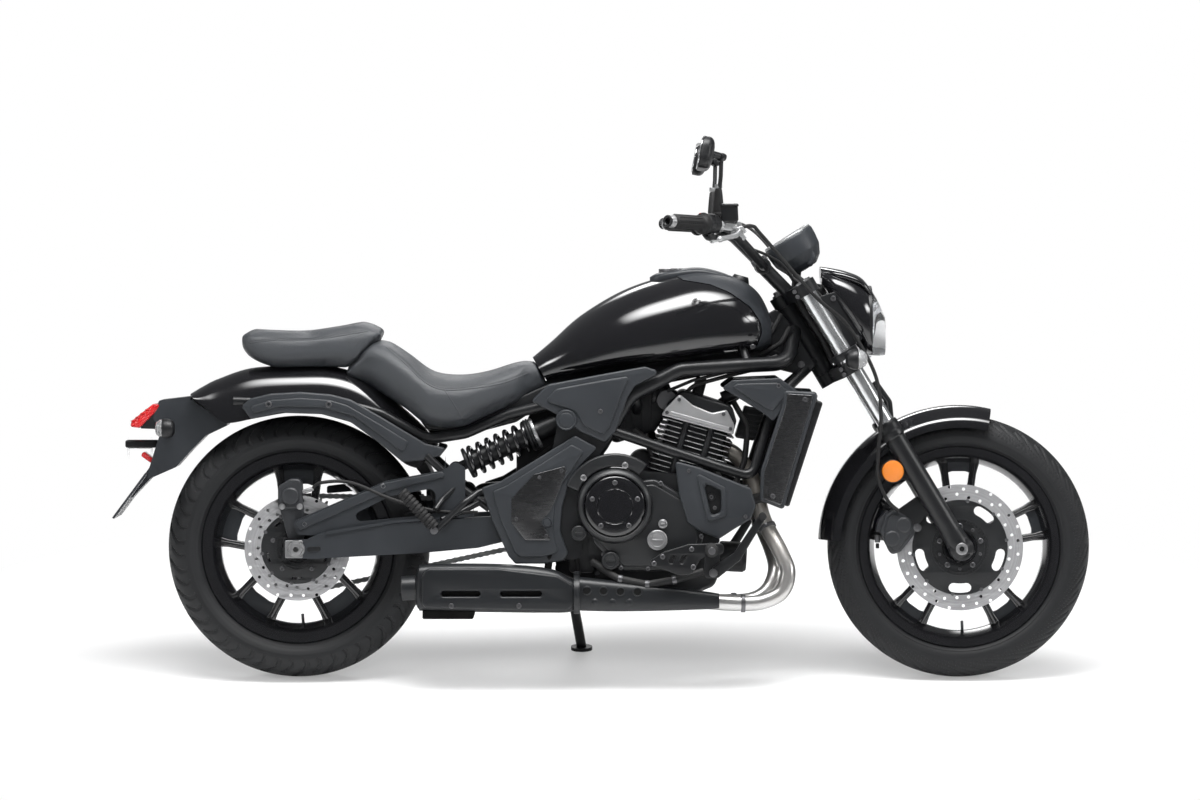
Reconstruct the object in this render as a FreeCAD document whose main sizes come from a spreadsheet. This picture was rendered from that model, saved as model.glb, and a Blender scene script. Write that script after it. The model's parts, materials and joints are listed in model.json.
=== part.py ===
import FreeCAD, Part
import math
import os
import Sketcher
from FreeCAD import Placement, Rotation, Vector

# Cruiser motorcycle with a twin cylinder engine, parked on its side stand.
# Every piece is drawn upright in the machine's own frame, in millimetres:
# X forward from the rear axle, Y to the left, Z up from the ground.
# The finished pieces are then all leaned over together onto the side stand.

doc = FreeCAD.newDocument("cruiser_motorcycle")
sheet = doc.addObject("Spreadsheet::Sheet", "Sizes")

SIZES = {
    # Stance and steering geometry
    "lean_angle": 10,
    "wheelbase": 1575,
    "rake_angle": 31,
    "fork_offset": 59,
    "origin_forward": 724,
    "origin_left": 186,
    "fit_clearance": 0.3,
    "moving_clearance": 5,
    # Front wheel
    "front_tyre_radius": 312.6,
    "front_tyre_width": 120,
    "front_crown_radius": 62,
    "front_rim_seat": 228,
    "front_rim_edge": 241,
    "front_rim_inside": 203,
    "front_rim_width": 92,
    "front_hub_radius": 38,
    "front_hub_width": 116,
    "front_spoke_width": 13,
    "front_axle_dia": 20,
    "front_axle_bore": 12,
    "front_disc_dia": 300,
    # Rear wheel
    "rear_tyre_radius": 311.9,
    "rear_tyre_width": 160,
    "rear_crown_radius": 88,
    "rear_rim_seat": 216,
    "rear_rim_edge": 230,
    "rear_rim_inside": 186,
    "rear_rim_width": 116,
    "rear_hub_radius": 46,
    "rear_hub_width": 164,
    "rear_spoke_width": 15,
    "rear_axle_dia": 22,
    "rear_axle_bore": 14,
    "rear_disc_dia": 250,
    # What both wheels share
    "spoke_pairs": 5,
    "rim_flange": 6,
    "disc_thickness": 5,
    # Final drive
    "chain_pitch": 15.875,
    "rear_teeth": 46,
    "front_teeth": 15,
    "chain_line": 98,
    "chain_plate_height": 15,
    "chain_plate_thickness": 2,
    "chain_inside_width": 12,
    "sprocket_thickness": 7,
    "front_sprocket_forward": 672,
    "front_sprocket_height": 378,
    # Fork and steering
    "fork_spread": 105,
    "stanchion_dia": 41,
    "slider_dia": 50,
    "slider_length": 340,
    "stanchion_length": 735,
    "stem_dia": 30,
    "head_tube_dia": 52,
    "lower_clamp_height": 469,
    "upper_clamp_height": 683,
    "clamp_thickness": 30,
    "bar_dia": 22.2,
    "bar_half_width": 430,
    "bar_end_height": 1086,
    # Frame
    "upper_tube_dia": 35,
    "cross_tube_dia": 24,
    "down_tube_dia": 24,
    "frame_half_width": 132,
    "pivot_plate_line": 146,
    "head_frame_half_width": 62,
    "pivot_forward": 594,
    "pivot_height": 378,
    "pivot_plate_thickness": 14,
    "passenger_peg_line": 176,
    "seat_rail_line": 93,
    "seat_rail_dia": 26,
    # Engine
    "engine_width": 260,
    "cylinder_tilt": 16,
    "cylinder_width": 248,
    "air_box_width": 128,
    "fin_thickness": 3,
    "fin_pitch": 11,
    "clutch_forward": 754,
    "clutch_height": 417,
    "clutch_dia": 178,
    "clutch_face": 190,
    # Radiator
    "radiator_width": 300,
    "radiator_thickness": 34,
    # Exhaust
    "header_dia": 38,
    "header_spread": 62,
    "muffler_line": 150,
    # Tank and seats
    "tank_half_width": 160,
    "seat_half_width": 160,
    "passenger_half_width": 100,
    "filler_dia": 74,
    # Mudguards
    "front_guard_radius": 337,
    "front_guard_width": 152,
    "rear_guard_radius": 440,
    "rear_guard_width": 220,
    "guard_thickness": 3.5,
    "plate_bolt_spread": 178,
    "plate_hole_dia": 6.5,
    "plate_thickness": 5,
    # Swingarm and shock
    "arm_line": 122,
    "arm_width": 26,
    "shock_line": 88,
    "spring_dia": 60,
    "spring_wire": 9,
    # Side stand
    "stand_pivot_forward": 640,
    "stand_pivot_height": 262,
    "stand_foot_line": 262,
    "stand_foot_ahead": 34,
    "stand_tube_dia": 24,
    "stand_foot_dia": 52,
}
for row, (alias, number) in enumerate(SIZES.items(), start=1):
    sheet.set(f"A{row}", alias)
    sheet.set(f"B{row}", str(number))
    sheet.setAlias(f"B{row}", alias)
doc.recompute()


class Size:
    """Values of the sheet, read by name."""

    def __getattr__(self, alias):
        return float(getattr(sheet, alias))


size = Size()
ORIGIN = Placement()
ALONG_X = Vector(1, 0, 0)
ALONG_Y = Vector(0, 1, 0)
ALONG_Z = Vector(0, 0, 1)

nodes = []


def node(name, made, at=ORIGIN):
    """Name a finished piece; at is its place in the upright machine."""
    made.Label = name
    nodes.append((made, at))
    return made


# Shapes that the sub-parts share

def origin_plane(body, role):
    return next(item for item in body.Origin.OriginFeatures if item.Role == role)


def rounded_outline(corners):
    """Closed outline of runs and tangent arcs through (x, y, corner radius) corners."""
    count = len(corners)
    stops = []
    for index, corner in enumerate(corners):
        here = Vector(corner[0], corner[1], 0)
        radius = corner[2] if len(corner) > 2 else 0
        if not radius:
            stops.append((here, None, here))
            continue
        before = Vector(corners[index - 1][0], corners[index - 1][1], 0)
        after = Vector(corners[(index + 1) % count][0], corners[(index + 1) % count][1], 0)
        stops.append(corner_arc(before, here, after, radius))
    return joined_edges(stops, True)


def corner_arc(before, here, after, radius):
    """Start, middle and end of the arc that rounds one corner."""
    into = (here - before).normalize()
    out = (after - here).normalize()
    turn = into.getAngle(out)
    if turn < 1e-4:
        return here, None, here
    reach = radius * math.tan(turn / 2)
    inward = (out - into).normalize()
    depth = radius / math.cos(turn / 2) - radius
    return here - into * reach, here + inward * depth, here + out * reach


def joined_edges(stops, closed):
    edges = []
    last = len(stops) if closed else len(stops) - 1
    for index, (start, middle, end) in enumerate(stops):
        if middle:
            edges.append(Part.Arc(start, middle, end))
        if index < last:
            following = stops[(index + 1) % len(stops)][0]
            if end.distanceToPoint(following) > 1e-4:
                edges.append(Part.LineSegment(end, following))
    return edges


def sketch(body, name, plane, edges, offset=0.0):
    """Sketch on an origin plane, offset along the machine's axis that the plane faces."""
    drawn = body.newObject("Sketcher::SketchObject", name)
    drawn.AttachmentSupport = [(origin_plane(body, plane), "")]
    drawn.MapMode = "FlatFace"
    outward = -offset if plane == "XZ_Plane" else offset
    drawn.AttachmentOffset = Placement(Vector(0, 0, outward), Rotation())
    drawn.addGeometry(edges, False)
    return drawn


def slab(name, corners, width, middle=0.0, plane="XZ_Plane"):
    """Outline padded to both sides of a middle plane; width is an expression."""
    body = doc.addObject("PartDesign::Body", name)
    profile = sketch(body, name + "_outline", plane, rounded_outline(corners), middle)
    pad = body.newObject("PartDesign::Pad", name + "_pad")
    pad.Profile = profile
    pad.SideType = "Symmetric"
    pad.setExpression("Length", str(width))
    return body


def turned(name, corners, angle=360.0):
    """Profile of (radius, y) corners turned about the Y axis."""
    body = doc.addObject("PartDesign::Body", name)
    profile = sketch(body, name + "_profile", "XY_Plane", rounded_outline(corners))
    ring = body.newObject("PartDesign::Revolution", name + "_turned")
    ring.Profile = profile
    ring.ReferenceAxis = (profile, ["V_Axis"])
    ring.Angle = angle
    return body


def rod(name, start, end, diameter):
    """Round bar between two points; diameter is an expression."""
    bar = doc.addObject("Part::Cylinder", name)
    bar.setExpression("Radius", f"({diameter}) / 2")
    bar.Height = (end - start).Length
    bar.Placement = Placement(start, Rotation(ALONG_Z, end - start))
    return bar


def tube(name, points, diameter, bend):
    """Round tube along straight runs that tangent arcs join; diameter is an expression."""
    stops = [(points[0], None, points[0])]
    for before, here, after in zip(points, points[1:], points[2:]):
        stops.append(corner_arc(before, here, after, bend))
    stops.append((points[-1], None, points[-1]))
    path = doc.addObject("Part::Feature", name + "_path")
    path.Shape = Part.Wire([edge.toShape() for edge in joined_edges(stops, False)])
    section = doc.addObject("Part::Circle", name + "_section")
    section.setExpression("Radius", f"({diameter}) / 2")
    section.Placement = Placement(points[0], Rotation(ALONG_Z, points[1] - points[0]))
    swept = doc.addObject("Part::Sweep", name)
    swept.Sections = [section]
    swept.Spine = (path, [f"Edge{number + 1}" for number in range(len(path.Shape.Edges))])
    swept.Solid = True
    return swept


def box(name, low, high):
    made = doc.addObject("Part::Box", name)
    made.Length = high[0] - low[0]
    made.Width = high[1] - low[1]
    made.Height = high[2] - low[2]
    made.Placement = Placement(Vector(*low), Rotation())
    return made


def moved(made, placement):
    made.Placement = placement.multiply(made.Placement)
    return made


def mirrored(made):
    """The same piece on the other side of the machine."""
    other = doc.addObject("Part::Mirroring", made.Name + "_other_side")
    other.Source = made
    other.Normal = ALONG_Y
    other.Base = Vector(0, 0, 0)
    return other


def both_sides(pieces):
    return [side for piece in pieces for side in (piece, mirrored(piece))]


def fused(name, pieces):
    made = doc.addObject("Part::MultiFuse", name)
    made.Shapes = pieces
    return made


def cut(name, base, tool):
    made = doc.addObject("Part::Cut", name)
    made.Base = base
    made.Tool = tool
    return made


def frozen(name, made):
    """A still copy of a piece as it stands upright, to cut its neighbours with."""
    doc.recompute()
    copy = doc.addObject("Part::Feature", name)
    copy.Shape = made.Shape.copy()
    return copy


def fitted(name, base, neighbours):
    """A piece cut away where its neighbours are, so that it seats on their faces."""
    for index, neighbour in enumerate(neighbours):
        copy = frozen(f"{name}_seat_{index}", neighbour)
        base = cut(f"{name}_fitted_{index}", base, copy)
    return base


def section_wire(station, low, top, half_width, waist, upper_power, lower_power):
    """Closed smooth section across the machine, widest at the waist's share of its height."""
    middle = low + (top - low) * waist
    points = []
    steps = 20
    for step in range(steps):
        angle = 2 * math.pi * (step + 0.5) / steps
        rise = math.sin(angle)
        power = upper_power if rise > 0 else lower_power
        height = (top - middle) if rise > 0 else (middle - low)
        across = math.copysign(abs(math.cos(angle)) ** (2 / power), math.cos(angle))
        up = math.copysign(abs(rise) ** (2 / power), rise)
        points.append(Vector(station, half_width * across, middle + height * up))
    curve = Part.BSplineCurve()
    curve.interpolate(points, True)
    return Part.Wire([curve.toShape()])


def lofted(name, stations, upper_power, lower_power):
    """Skin over sections given as (x, low, top, half width, waist share)."""
    sections = []
    for index, (station, low, top, half_width, waist) in enumerate(stations):
        section = doc.addObject("Part::Feature", f"{name}_section_{index}")
        section.Shape = section_wire(
            station, low, top, half_width, waist, upper_power, lower_power)
        sections.append(section)
    skin = doc.addObject("Part::Loft", name)
    skin.Sections = sections
    skin.Solid = True
    return skin


# Places that follow from the driving sizes

LEAN = math.radians(size.lean_angle)
RAKE = math.radians(size.rake_angle)


def axle_height(radius, crown):
    """Height of an axle at which the leaning tyre just meets the ground."""
    return radius - crown + crown / math.cos(LEAN)


FRONT_AXLE = Vector(size.wheelbase, 0, axle_height(size.front_tyre_radius, size.front_crown_radius))
REAR_AXLE = Vector(0, 0, axle_height(size.rear_tyre_radius, size.rear_crown_radius))
STEERING_AXIS = Vector(-math.sin(RAKE), 0, math.cos(RAKE))
STEERING_AHEAD = Vector(math.cos(RAKE), 0, math.sin(RAKE))
STEERING_FOOT = Vector(size.wheelbase - size.fork_offset / math.cos(RAKE), 0, FRONT_AXLE.z)
AXLE_DROP = -size.fork_offset * math.tan(RAKE)


def steered(ahead, left, up):
    """Point in the fork's own frame: ahead of, left of and up along the steering axis."""
    return STEERING_FOOT + STEERING_AHEAD * ahead + ALONG_Y * left + STEERING_AXIS * up


AT_STEERING = Placement(STEERING_FOOT, Rotation(ALONG_Y, -size.rake_angle))
AT_FRONT_WHEEL = Placement(FRONT_AXLE, Rotation())
AT_REAR_WHEEL = Placement(REAR_AXLE, Rotation())


# Wheels

def tyre(end):
    """Solid tyre that seats on the rim's barrel and between its flanges."""
    seat = getattr(size, f"{end}_rim_seat")
    edge = getattr(size, f"{end}_rim_edge")
    bead = getattr(size, f"{end}_rim_width") / 2
    radius = getattr(size, f"{end}_tyre_radius")
    crown = getattr(size, f"{end}_crown_radius")
    half = getattr(size, f"{end}_tyre_width") / 2
    shoulder_turn = math.asin(0.97 * half / crown)
    shoulder = radius - crown + crown * math.cos(shoulder_turn)
    shoulder_y = crown * math.sin(shoulder_turn)
    foot = bead + size.rim_flange / 2
    side = (edge + shoulder) / 2

    def place(across, along):
        return Vector(across, along, 0)

    edges = [
        Part.LineSegment(place(seat, -bead), place(seat, bead)),
        Part.LineSegment(place(seat, bead), place(edge, bead)),
        Part.LineSegment(place(edge, bead), place(edge, foot)),
        Part.Arc(place(edge, foot), place(side, half), place(shoulder, shoulder_y)),
        Part.Arc(place(shoulder, shoulder_y), place(radius, 0), place(shoulder, -shoulder_y)),
        Part.Arc(place(shoulder, -shoulder_y), place(side, -half), place(edge, -foot)),
        Part.LineSegment(place(edge, -foot), place(edge, -bead)),
        Part.LineSegment(place(edge, -bead), place(seat, -bead)),
    ]
    body = doc.addObject("PartDesign::Body", f"{end}_tyre")
    profile = sketch(body, f"{end}_tyre_section", "XY_Plane", edges)
    ring = body.newObject("PartDesign::Revolution", f"{end}_tyre_ring")
    ring.Profile = profile
    ring.ReferenceAxis = (profile, ["V_Axis"])
    ring.Angle = 360
    return body


def rim(end, hub_corners):
    """Cast wheel: turned hub, pairs of spokes with a web between them, turned barrel."""
    seat = getattr(size, f"{end}_rim_seat")
    edge = getattr(size, f"{end}_rim_edge")
    inside = getattr(size, f"{end}_rim_inside")
    bead = getattr(size, f"{end}_rim_width") / 2
    hub_radius = getattr(size, f"{end}_hub_radius")
    spoke = getattr(size, f"{end}_spoke_width")
    body = doc.addObject("PartDesign::Body", f"{end}_rim")
    hub = sketch(body, f"{end}_hub_profile", "XY_Plane", rounded_outline(hub_corners))
    hub_ring = body.newObject("PartDesign::Revolution", f"{end}_hub")
    hub_ring.Profile = hub
    hub_ring.ReferenceAxis = (hub, ["V_Axis"])
    hub_ring.Angle = 360
    root = hub_radius * 0.85
    tip = inside + 3
    web = inside - 24
    near = spoke * 0.55
    far = spoke * 1.5
    pair = [
        (near, root), (near + spoke, root), (far + spoke, tip), (-far - spoke, tip),
        (-near - spoke, root), (-near, root), (-far + 1, web, 4), (far - 1, web, 4),
    ]
    spokes = sketch(body, f"{end}_spoke_pair", "XZ_Plane", rounded_outline(pair))
    pad = body.newObject("PartDesign::Pad", f"{end}_spokes")
    pad.Profile = spokes
    pad.SideType = "Symmetric"
    pad.Length = 30
    around = body.newObject("PartDesign::PolarPattern", f"{end}_spokes_around")
    around.Originals = [pad]
    around.Axis = (origin_plane(body, "Y_Axis"), [""])
    around.Angle = 360
    around.setExpression("Occurrences", "Sizes.spoke_pairs")
    body.Tip = around
    flange = bead + size.rim_flange
    lip = inside + 14
    barrel = [
        (inside, -20, 10), (inside, 20, 10), (lip, flange), (edge, flange), (edge, bead),
        (seat, bead), (seat, -bead), (edge, -bead), (edge, -flange), (lip, -flange),
    ]
    profile = sketch(body, f"{end}_barrel_profile", "XY_Plane", rounded_outline(barrel))
    ring = body.newObject("PartDesign::Revolution", f"{end}_barrel")
    ring.Profile = profile
    ring.ReferenceAxis = (profile, ["V_Axis"])
    ring.Angle = 360
    return body


def brake_disc(end, middle, inner):
    """Flat disc with five oblong windows between its hub ring and its friction band."""
    outer = getattr(size, f"{end}_disc_dia") / 2
    half = size.disc_thickness / 2
    body = turned(f"{end}_disc", [
        (inner, middle - half), (outer, middle - half), (outer, middle + half),
        (inner, middle + half)])
    centre = (inner + outer) / 2 - outer * 0.07
    window = body.newObject("Sketcher::SketchObject", f"{end}_disc_window")
    window.AttachmentSupport = [(origin_plane(body, "XZ_Plane"), "")]
    window.MapMode = "FlatFace"
    reach = 24
    spread = 9
    window.addGeometry(rounded_outline([
        (-reach, centre - spread, spread * 0.98), (reach, centre - spread, spread * 0.98),
        (reach, centre + spread, spread * 0.98), (-reach, centre + spread, spread * 0.98)]), False)
    opening = body.newObject("PartDesign::Pocket", f"{end}_disc_windows")
    opening.Profile = window
    opening.Type = "ThroughAll"
    opening.SideType = "Symmetric"
    around = body.newObject("PartDesign::PolarPattern", f"{end}_disc_windows_around")
    around.Originals = [opening]
    around.Axis = (origin_plane(body, "Y_Axis"), [""])
    around.Angle = 360
    around.Occurrences = 5
    body.Tip = around
    return body


FRONT_FLANGE = size.front_hub_width / 2 + 4
REAR_FLANGE = size.rear_hub_width / 2 + 3
SPROCKET_FACE = size.chain_line - size.sprocket_thickness / 2


def front_wheel():
    bore = size.front_axle_dia / 2 + size.fit_clearance
    end = size.front_hub_width / 2
    node("front_tyre", tyre("front"), AT_FRONT_WHEEL)
    node("front_rim", rim("front", [
        (bore, -end), (bore, end), (size.front_hub_radius, end), (size.front_hub_radius, -38),
        (78, -44), (78, -FRONT_FLANGE), (bore + 16, -FRONT_FLANGE), (bore + 16, -end),
    ]), AT_FRONT_WHEEL)
    middle = -FRONT_FLANGE - size.disc_thickness / 2
    node("front_disc", brake_disc("front", middle, 66), AT_FRONT_WHEEL)


def rear_wheel():
    bore = size.rear_axle_dia / 2 + size.fit_clearance
    end = size.rear_hub_width / 2
    node("rear_tyre", tyre("rear"), AT_REAR_WHEEL)
    node("rear_rim", rim("rear", [
        (bore, -end), (bore, SPROCKET_FACE - 4), (62, SPROCKET_FACE - 4), (62, SPROCKET_FACE - 34),
        (size.rear_hub_radius, 40), (size.rear_hub_radius, -44), (64, -50),
        (64, -REAR_FLANGE), (bore + 18, -REAR_FLANGE), (bore + 18, -end),
    ]), AT_REAR_WHEEL)
    middle = -REAR_FLANGE - size.disc_thickness / 2
    node("rear_disc", brake_disc("rear", middle, 52), AT_REAR_WHEEL)
    node("rear_sprocket", sprocket(), AT_REAR_WHEEL)


# Final drive

REAR_PITCH_RADIUS = size.chain_pitch / (2 * math.sin(math.pi / size.rear_teeth))
FRONT_PITCH_RADIUS = size.chain_pitch / (2 * math.sin(math.pi / size.front_teeth))
ROLLER_BAND = 3


def sprocket():
    """Toothed plate bolted on the hub's left face."""
    teeth = int(size.rear_teeth)
    tip = REAR_PITCH_RADIUS + size.chain_plate_height / 2 - ROLLER_BAND - 0.5
    root = REAR_PITCH_RADIUS - 5
    corners = []
    for tooth in range(teeth):
        for share, radius in ((-0.32, root), (-0.12, tip), (0.12, tip), (0.32, root)):
            angle = 2 * math.pi * (tooth + share) / teeth
            corners.append((radius * math.sin(angle), radius * math.cos(angle)))
    plate = slab("sprocket_plate", corners, "Sizes.sprocket_thickness", size.chain_line)
    carrier = doc.addObject("Part::Cylinder", "sprocket_carrier")
    carrier.Radius = 70
    carrier.Height = 4
    carrier.Placement = Placement(Vector(0, SPROCKET_FACE, 0), Rotation(ALONG_X, 90))
    bore = doc.addObject("Part::Cylinder", "sprocket_bore")
    bore.Radius = 40
    bore.Height = 60
    bore.Placement = Placement(Vector(0, SPROCKET_FACE + 40, 0), Rotation(ALONG_X, 90))
    return cut("rear_sprocket", fused("sprocket_blank", [plate, carrier]), bore)


def loop_edges(front_radius, rear_radius):
    """Closed belt outline round both sprocket centres, in the XZ plane."""
    rear = Vector(REAR_AXLE.x, REAR_AXLE.z, 0)
    front = Vector(size.front_sprocket_forward, size.front_sprocket_height, 0)
    along = front - rear
    distance = along.Length
    heading = math.atan2(along.y, along.x)
    lift = math.asin((rear_radius - front_radius) / distance)

    def on(centre, radius, angle):
        return centre + Vector(math.cos(angle), math.sin(angle), 0) * radius

    top = heading + math.pi / 2 - lift
    bottom = heading - math.pi / 2 + lift
    rear_top = on(rear, rear_radius, top)
    rear_low = on(rear, rear_radius, bottom)
    front_top = on(front, front_radius, top)
    front_low = on(front, front_radius, bottom)
    return [
        Part.LineSegment(rear_top, front_top),
        Part.Arc(front_top, on(front, front_radius, heading), front_low),
        Part.LineSegment(front_low, rear_low),
        Part.Arc(rear_low, on(rear, rear_radius, heading + math.pi), rear_top),
    ]


def loop_band(name, inner, outer, width, middle):
    """Belt of one thickness between two offsets of the chain's pitch line."""
    body = doc.addObject("PartDesign::Body", name)
    edges = loop_edges(FRONT_PITCH_RADIUS + outer, REAR_PITCH_RADIUS + outer)
    edges += loop_edges(FRONT_PITCH_RADIUS + inner, REAR_PITCH_RADIUS + inner)
    profile = sketch(body, name + "_outline", "XZ_Plane", edges, middle)
    pad = body.newObject("PartDesign::Pad", name + "_pad")
    pad.Profile = profile
    pad.SideType = "Symmetric"
    pad.setExpression("Length", str(width))
    return body


def chain():
    """Closed chain: two rows of side plates joined above the sprockets' teeth."""
    half = size.chain_plate_height / 2
    plate = (size.chain_inside_width + size.chain_plate_thickness) / 2
    rows = [
        loop_band(f"chain_row_{index}", -half, half, "Sizes.chain_plate_thickness",
                  size.chain_line + side * plate)
        for index, side in enumerate((-1, 1))]
    rollers = loop_band("chain_rollers", half - ROLLER_BAND, half, "Sizes.chain_inside_width + 0.4",
                        size.chain_line)
    node("chain", fused("chain_loop", rows + [rollers]))


# Frame

HEAD_LOW = size.lower_clamp_height + size.clamp_thickness / 2 + size.fit_clearance
HEAD_TOP = size.upper_clamp_height - size.clamp_thickness / 2 - size.fit_clearance


PASSENGER_PEG = Vector(334, size.passenger_peg_line, 362)


def frame():
    """Head tube, perimeter side tubes, lower tubes, down tubes and pivot plates."""
    wide = size.frame_half_width
    narrow = size.head_frame_half_width
    head_mid = steered(0, 0, (HEAD_LOW + HEAD_TOP) / 2 + 30)
    head_low = steered(0, 0, HEAD_LOW + 34)
    upper = tube("upper_side_tube", [
        Vector(head_mid.x - 10, 12, head_mid.z - 2), Vector(1165, narrow + 30, 752),
        Vector(1048, wide - 8, 747), Vector(907, wide, 738), Vector(789, wide, 676),
        Vector(722, wide, 560), Vector(676, wide, 500)], "Sizes.upper_tube_dia", 60)
    low_line = wide + 12
    lower = tube("lower_side_tube", [
        Vector(head_low.x - 6, 12, head_low.z), Vector(1160, narrow + 20, 690),
        Vector(1118, low_line - 34, 610), Vector(1078, low_line - 6, 484),
        Vector(1000, low_line, 508), Vector(860, low_line, 555), Vector(740, low_line, 596)],
        "Sizes.down_tube_dia", 26)
    plate = slab("pivot_plate", [
        (625, 640, 20), (700, 640, 20), (756, 600, 18), (720, 540, 30), (690, 470, 40),
        (676, 380, 30), (676, 290, 18), (548, 290, 18), (536, 340, 24), (556, 430, 30),
        (600, 520, 30)], "Sizes.pivot_plate_thickness", size.pivot_plate_line)
    cross = [
        rod(f"cross_{index}", Vector(x, -size.pivot_plate_line, z),
            Vector(x, size.pivot_plate_line, z), "Sizes.cross_tube_dia")
        for index, (x, z) in enumerate(((662, 610), (590, 298)))]
    head = rod("head_tube", steered(0, 0, HEAD_LOW), steered(0, 0, HEAD_TOP), "Sizes.head_tube_dia")
    front_stay = rod("tank_front_stay", Vector(1070, 118, 748), Vector(1050, 86, 802), "22")
    rear_stay = rod("tank_rear_stay", Vector(662, 0, 610), Vector(662, 0, 745), "30")
    hanger = tube("passenger_hanger", [
        Vector(600, size.pivot_plate_line - 4, 466), Vector(434, size.pivot_plate_line - 4, 450),
        Vector(400, size.passenger_peg_line - 8, 426), PASSENGER_PEG], "16", 24)
    pieces = both_sides([upper, lower, plate, front_stay, hanger]) + cross + [
        head, rear_stay, stand_bracket()]
    blank = fused("main_frame_blank", pieces)
    bore = rod("head_bore", steered(0, 0, HEAD_LOW - 20), steered(0, 0, HEAD_TOP + 20),
               "Sizes.stem_dia + 2 * Sizes.fit_clearance")
    pivot = Vector(size.pivot_forward, 0, size.pivot_height)
    pivot_bore = rod("pivot_bore", pivot - ALONG_Y * 200, pivot + ALONG_Y * 200, "30")
    return node("main_frame", cut("main_frame", cut("frame_bored", blank, bore), pivot_bore))


def subframe(main_frame):
    """Two rails that carry the seats, the rear mudguard and the tail."""
    line = size.seat_rail_line
    rail = tube("seat_rail", [
        Vector(700, size.frame_half_width, 640), Vector(620, line + 16, 660),
        Vector(500, line, 630), Vector(400, line, 586), Vector(310, line, 572),
        Vector(200, line, 632), Vector(120, line, 655), Vector(-150, line, 662)],
        "Sizes.seat_rail_dia", 70)
    cross = [
        rod(f"seat_cross_{index}", Vector(x, -line, z), Vector(x, line, z), "20")
        for index, (x, z) in enumerate(((560, 645), (350, 578)))]
    bosses = [
        rod(f"strut_boss_{index}", Vector(x, line - 4, z), Vector(x, size.rear_guard_width / 2 + 4, z), "20")
        for index, (x, z) in enumerate(((-80, 660), (110, 655), (300, 560)))]
    rails = fused("seat_subframe_blank", both_sides([rail] + bosses) + cross)
    return node("seat_subframe", fitted("seat_subframe", rails, [main_frame]))


# Engine

def engine_case(main_frame):
    """Crankcase block with its sump, between the frame's pivot plates."""
    case = slab("crankcase", [
        (690, 300, 20), (745, 215, 24), (930, 200, 30), (985, 240, 30), (1000, 330, 40),
        (985, 420, 50), (900, 492, 12), (790, 500, 12), (700, 470, 30)], "Sizes.engine_width")
    gearbox = slab("gearbox", [
        (636, 338, 20), (740, 320, 20), (740, 446, 10), (636, 424, 20)], "158")
    mount = slab("rear_engine_mount", [
        (643, 540, 10), (720, 440, 10), (760, 470, 10), (680, 628, 10), (643, 628, 10)], "112")
    recess = box("sprocket_recess", (600, SPROCKET_FACE - 10, 320), (736, 200, 440))
    hub = Vector(size.front_sprocket_forward, 0, size.front_sprocket_height)
    shaft = rod("drive_shaft", hub + ALONG_Y * (SPROCKET_FACE - 60), hub + ALONG_Y * size.chain_line, "30")
    wheel = rod("drive_sprocket", hub + ALONG_Y * SPROCKET_FACE,
                hub + ALONG_Y * (SPROCKET_FACE + size.sprocket_thickness), "80")
    block = cut("engine_recessed", fused("engine_block", [case, gearbox, mount]), recess)
    made = fused("engine_with_drive", [block, shaft, wheel])
    return node("engine_case", fitted("engine_case", made, [main_frame]))


CRANK = Vector(880, 0, 360)
AT_CYLINDERS = Placement(CRANK, Rotation(ALONG_Y, size.cylinder_tilt))


def cylinders(engine, main_frame):
    """Finned barrels, head and head cover, tilted forward, with the air box behind them."""
    wide = size.cylinder_width
    pieces = [box("barrel_block", (-72, -wide / 2 + 14, 96), (76, wide / 2 - 14, 236))]
    rise = 118
    while rise < 216:
        pieces.append(box(f"barrel_fin_{int(rise)}", (-86, -wide / 2, rise),
                          (90, wide / 2, rise + size.fin_thickness)))
        rise += size.fin_pitch
    pieces.append(box("cylinder_head", (-84, -wide / 2 + 4, 228), (86, wide / 2 - 4, 288)))
    pieces.append(box("head_cover", (-62, -wide / 2 + 12, 286), (66, wide / 2 - 12, 326)))
    for piece in pieces:
        moved(piece, AT_CYLINDERS)
    pieces.append(slab("air_box", [
        (708, 612, 16), (752, 560, 20), (850, 590, 8), (884, 640, 8), (868, 706, 12), (826, 716, 14),
        (760, 708, 14), (708, 686, 20)], "Sizes.air_box_width"))
    return node("cylinders", fitted(
        "cylinders", fused("cylinder_block", pieces), [engine, main_frame]))


def engine_covers(engine, main_frame):
    """Round clutch cover on the right, generator and sprocket covers on the left."""
    side = size.engine_width / 2
    face = size.clutch_face
    centre = Vector(size.clutch_forward, 0, size.clutch_height)
    radius = size.clutch_dia / 2
    clutch = turned("clutch_cover", [
        (0, -face), (radius - 36, -face), (radius - 32, -face + 3), (radius - 18, -face + 5),
        (radius - 14, -face + 14), (radius, -face + 16), (radius, -side + 10), (0, -side + 10)])
    clutch.Placement = Placement(centre, Rotation())
    right = slab("right_case_cover", [
        (700, 330, 24), (770, 262, 24), (900, 262, 30), (965, 330, 40), (950, 420, 40),
        (850, 480, 30), (720, 470, 30)], "34", -side - 17)
    generator = turned("generator_cover", [
        (0, side), (86, side), (86, side + 26), (70, side + 40), (30, side + 46), (0, side + 46)])
    generator.Placement = Placement(Vector(878, 0, 352), Rotation())
    left_cover = slab("sprocket_cover", [
        (652, 330, 16), (700, 304, 20), (780, 304, 20), (780, 440, 20), (700, 446, 24),
        (652, 420, 16)], "10", side + 5)
    covers = fused("engine_cover_set", [clutch, right, generator, left_cover])
    return node("engine_covers", fitted("engine_covers", covers, [engine, main_frame]))


# Radiator

RADIATOR_FOOT = Vector(1130, 0, 424)
RADIATOR_TILT = 18
AT_RADIATOR = Placement(RADIATOR_FOOT, Rotation(ALONG_Y, RADIATOR_TILT))


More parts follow.
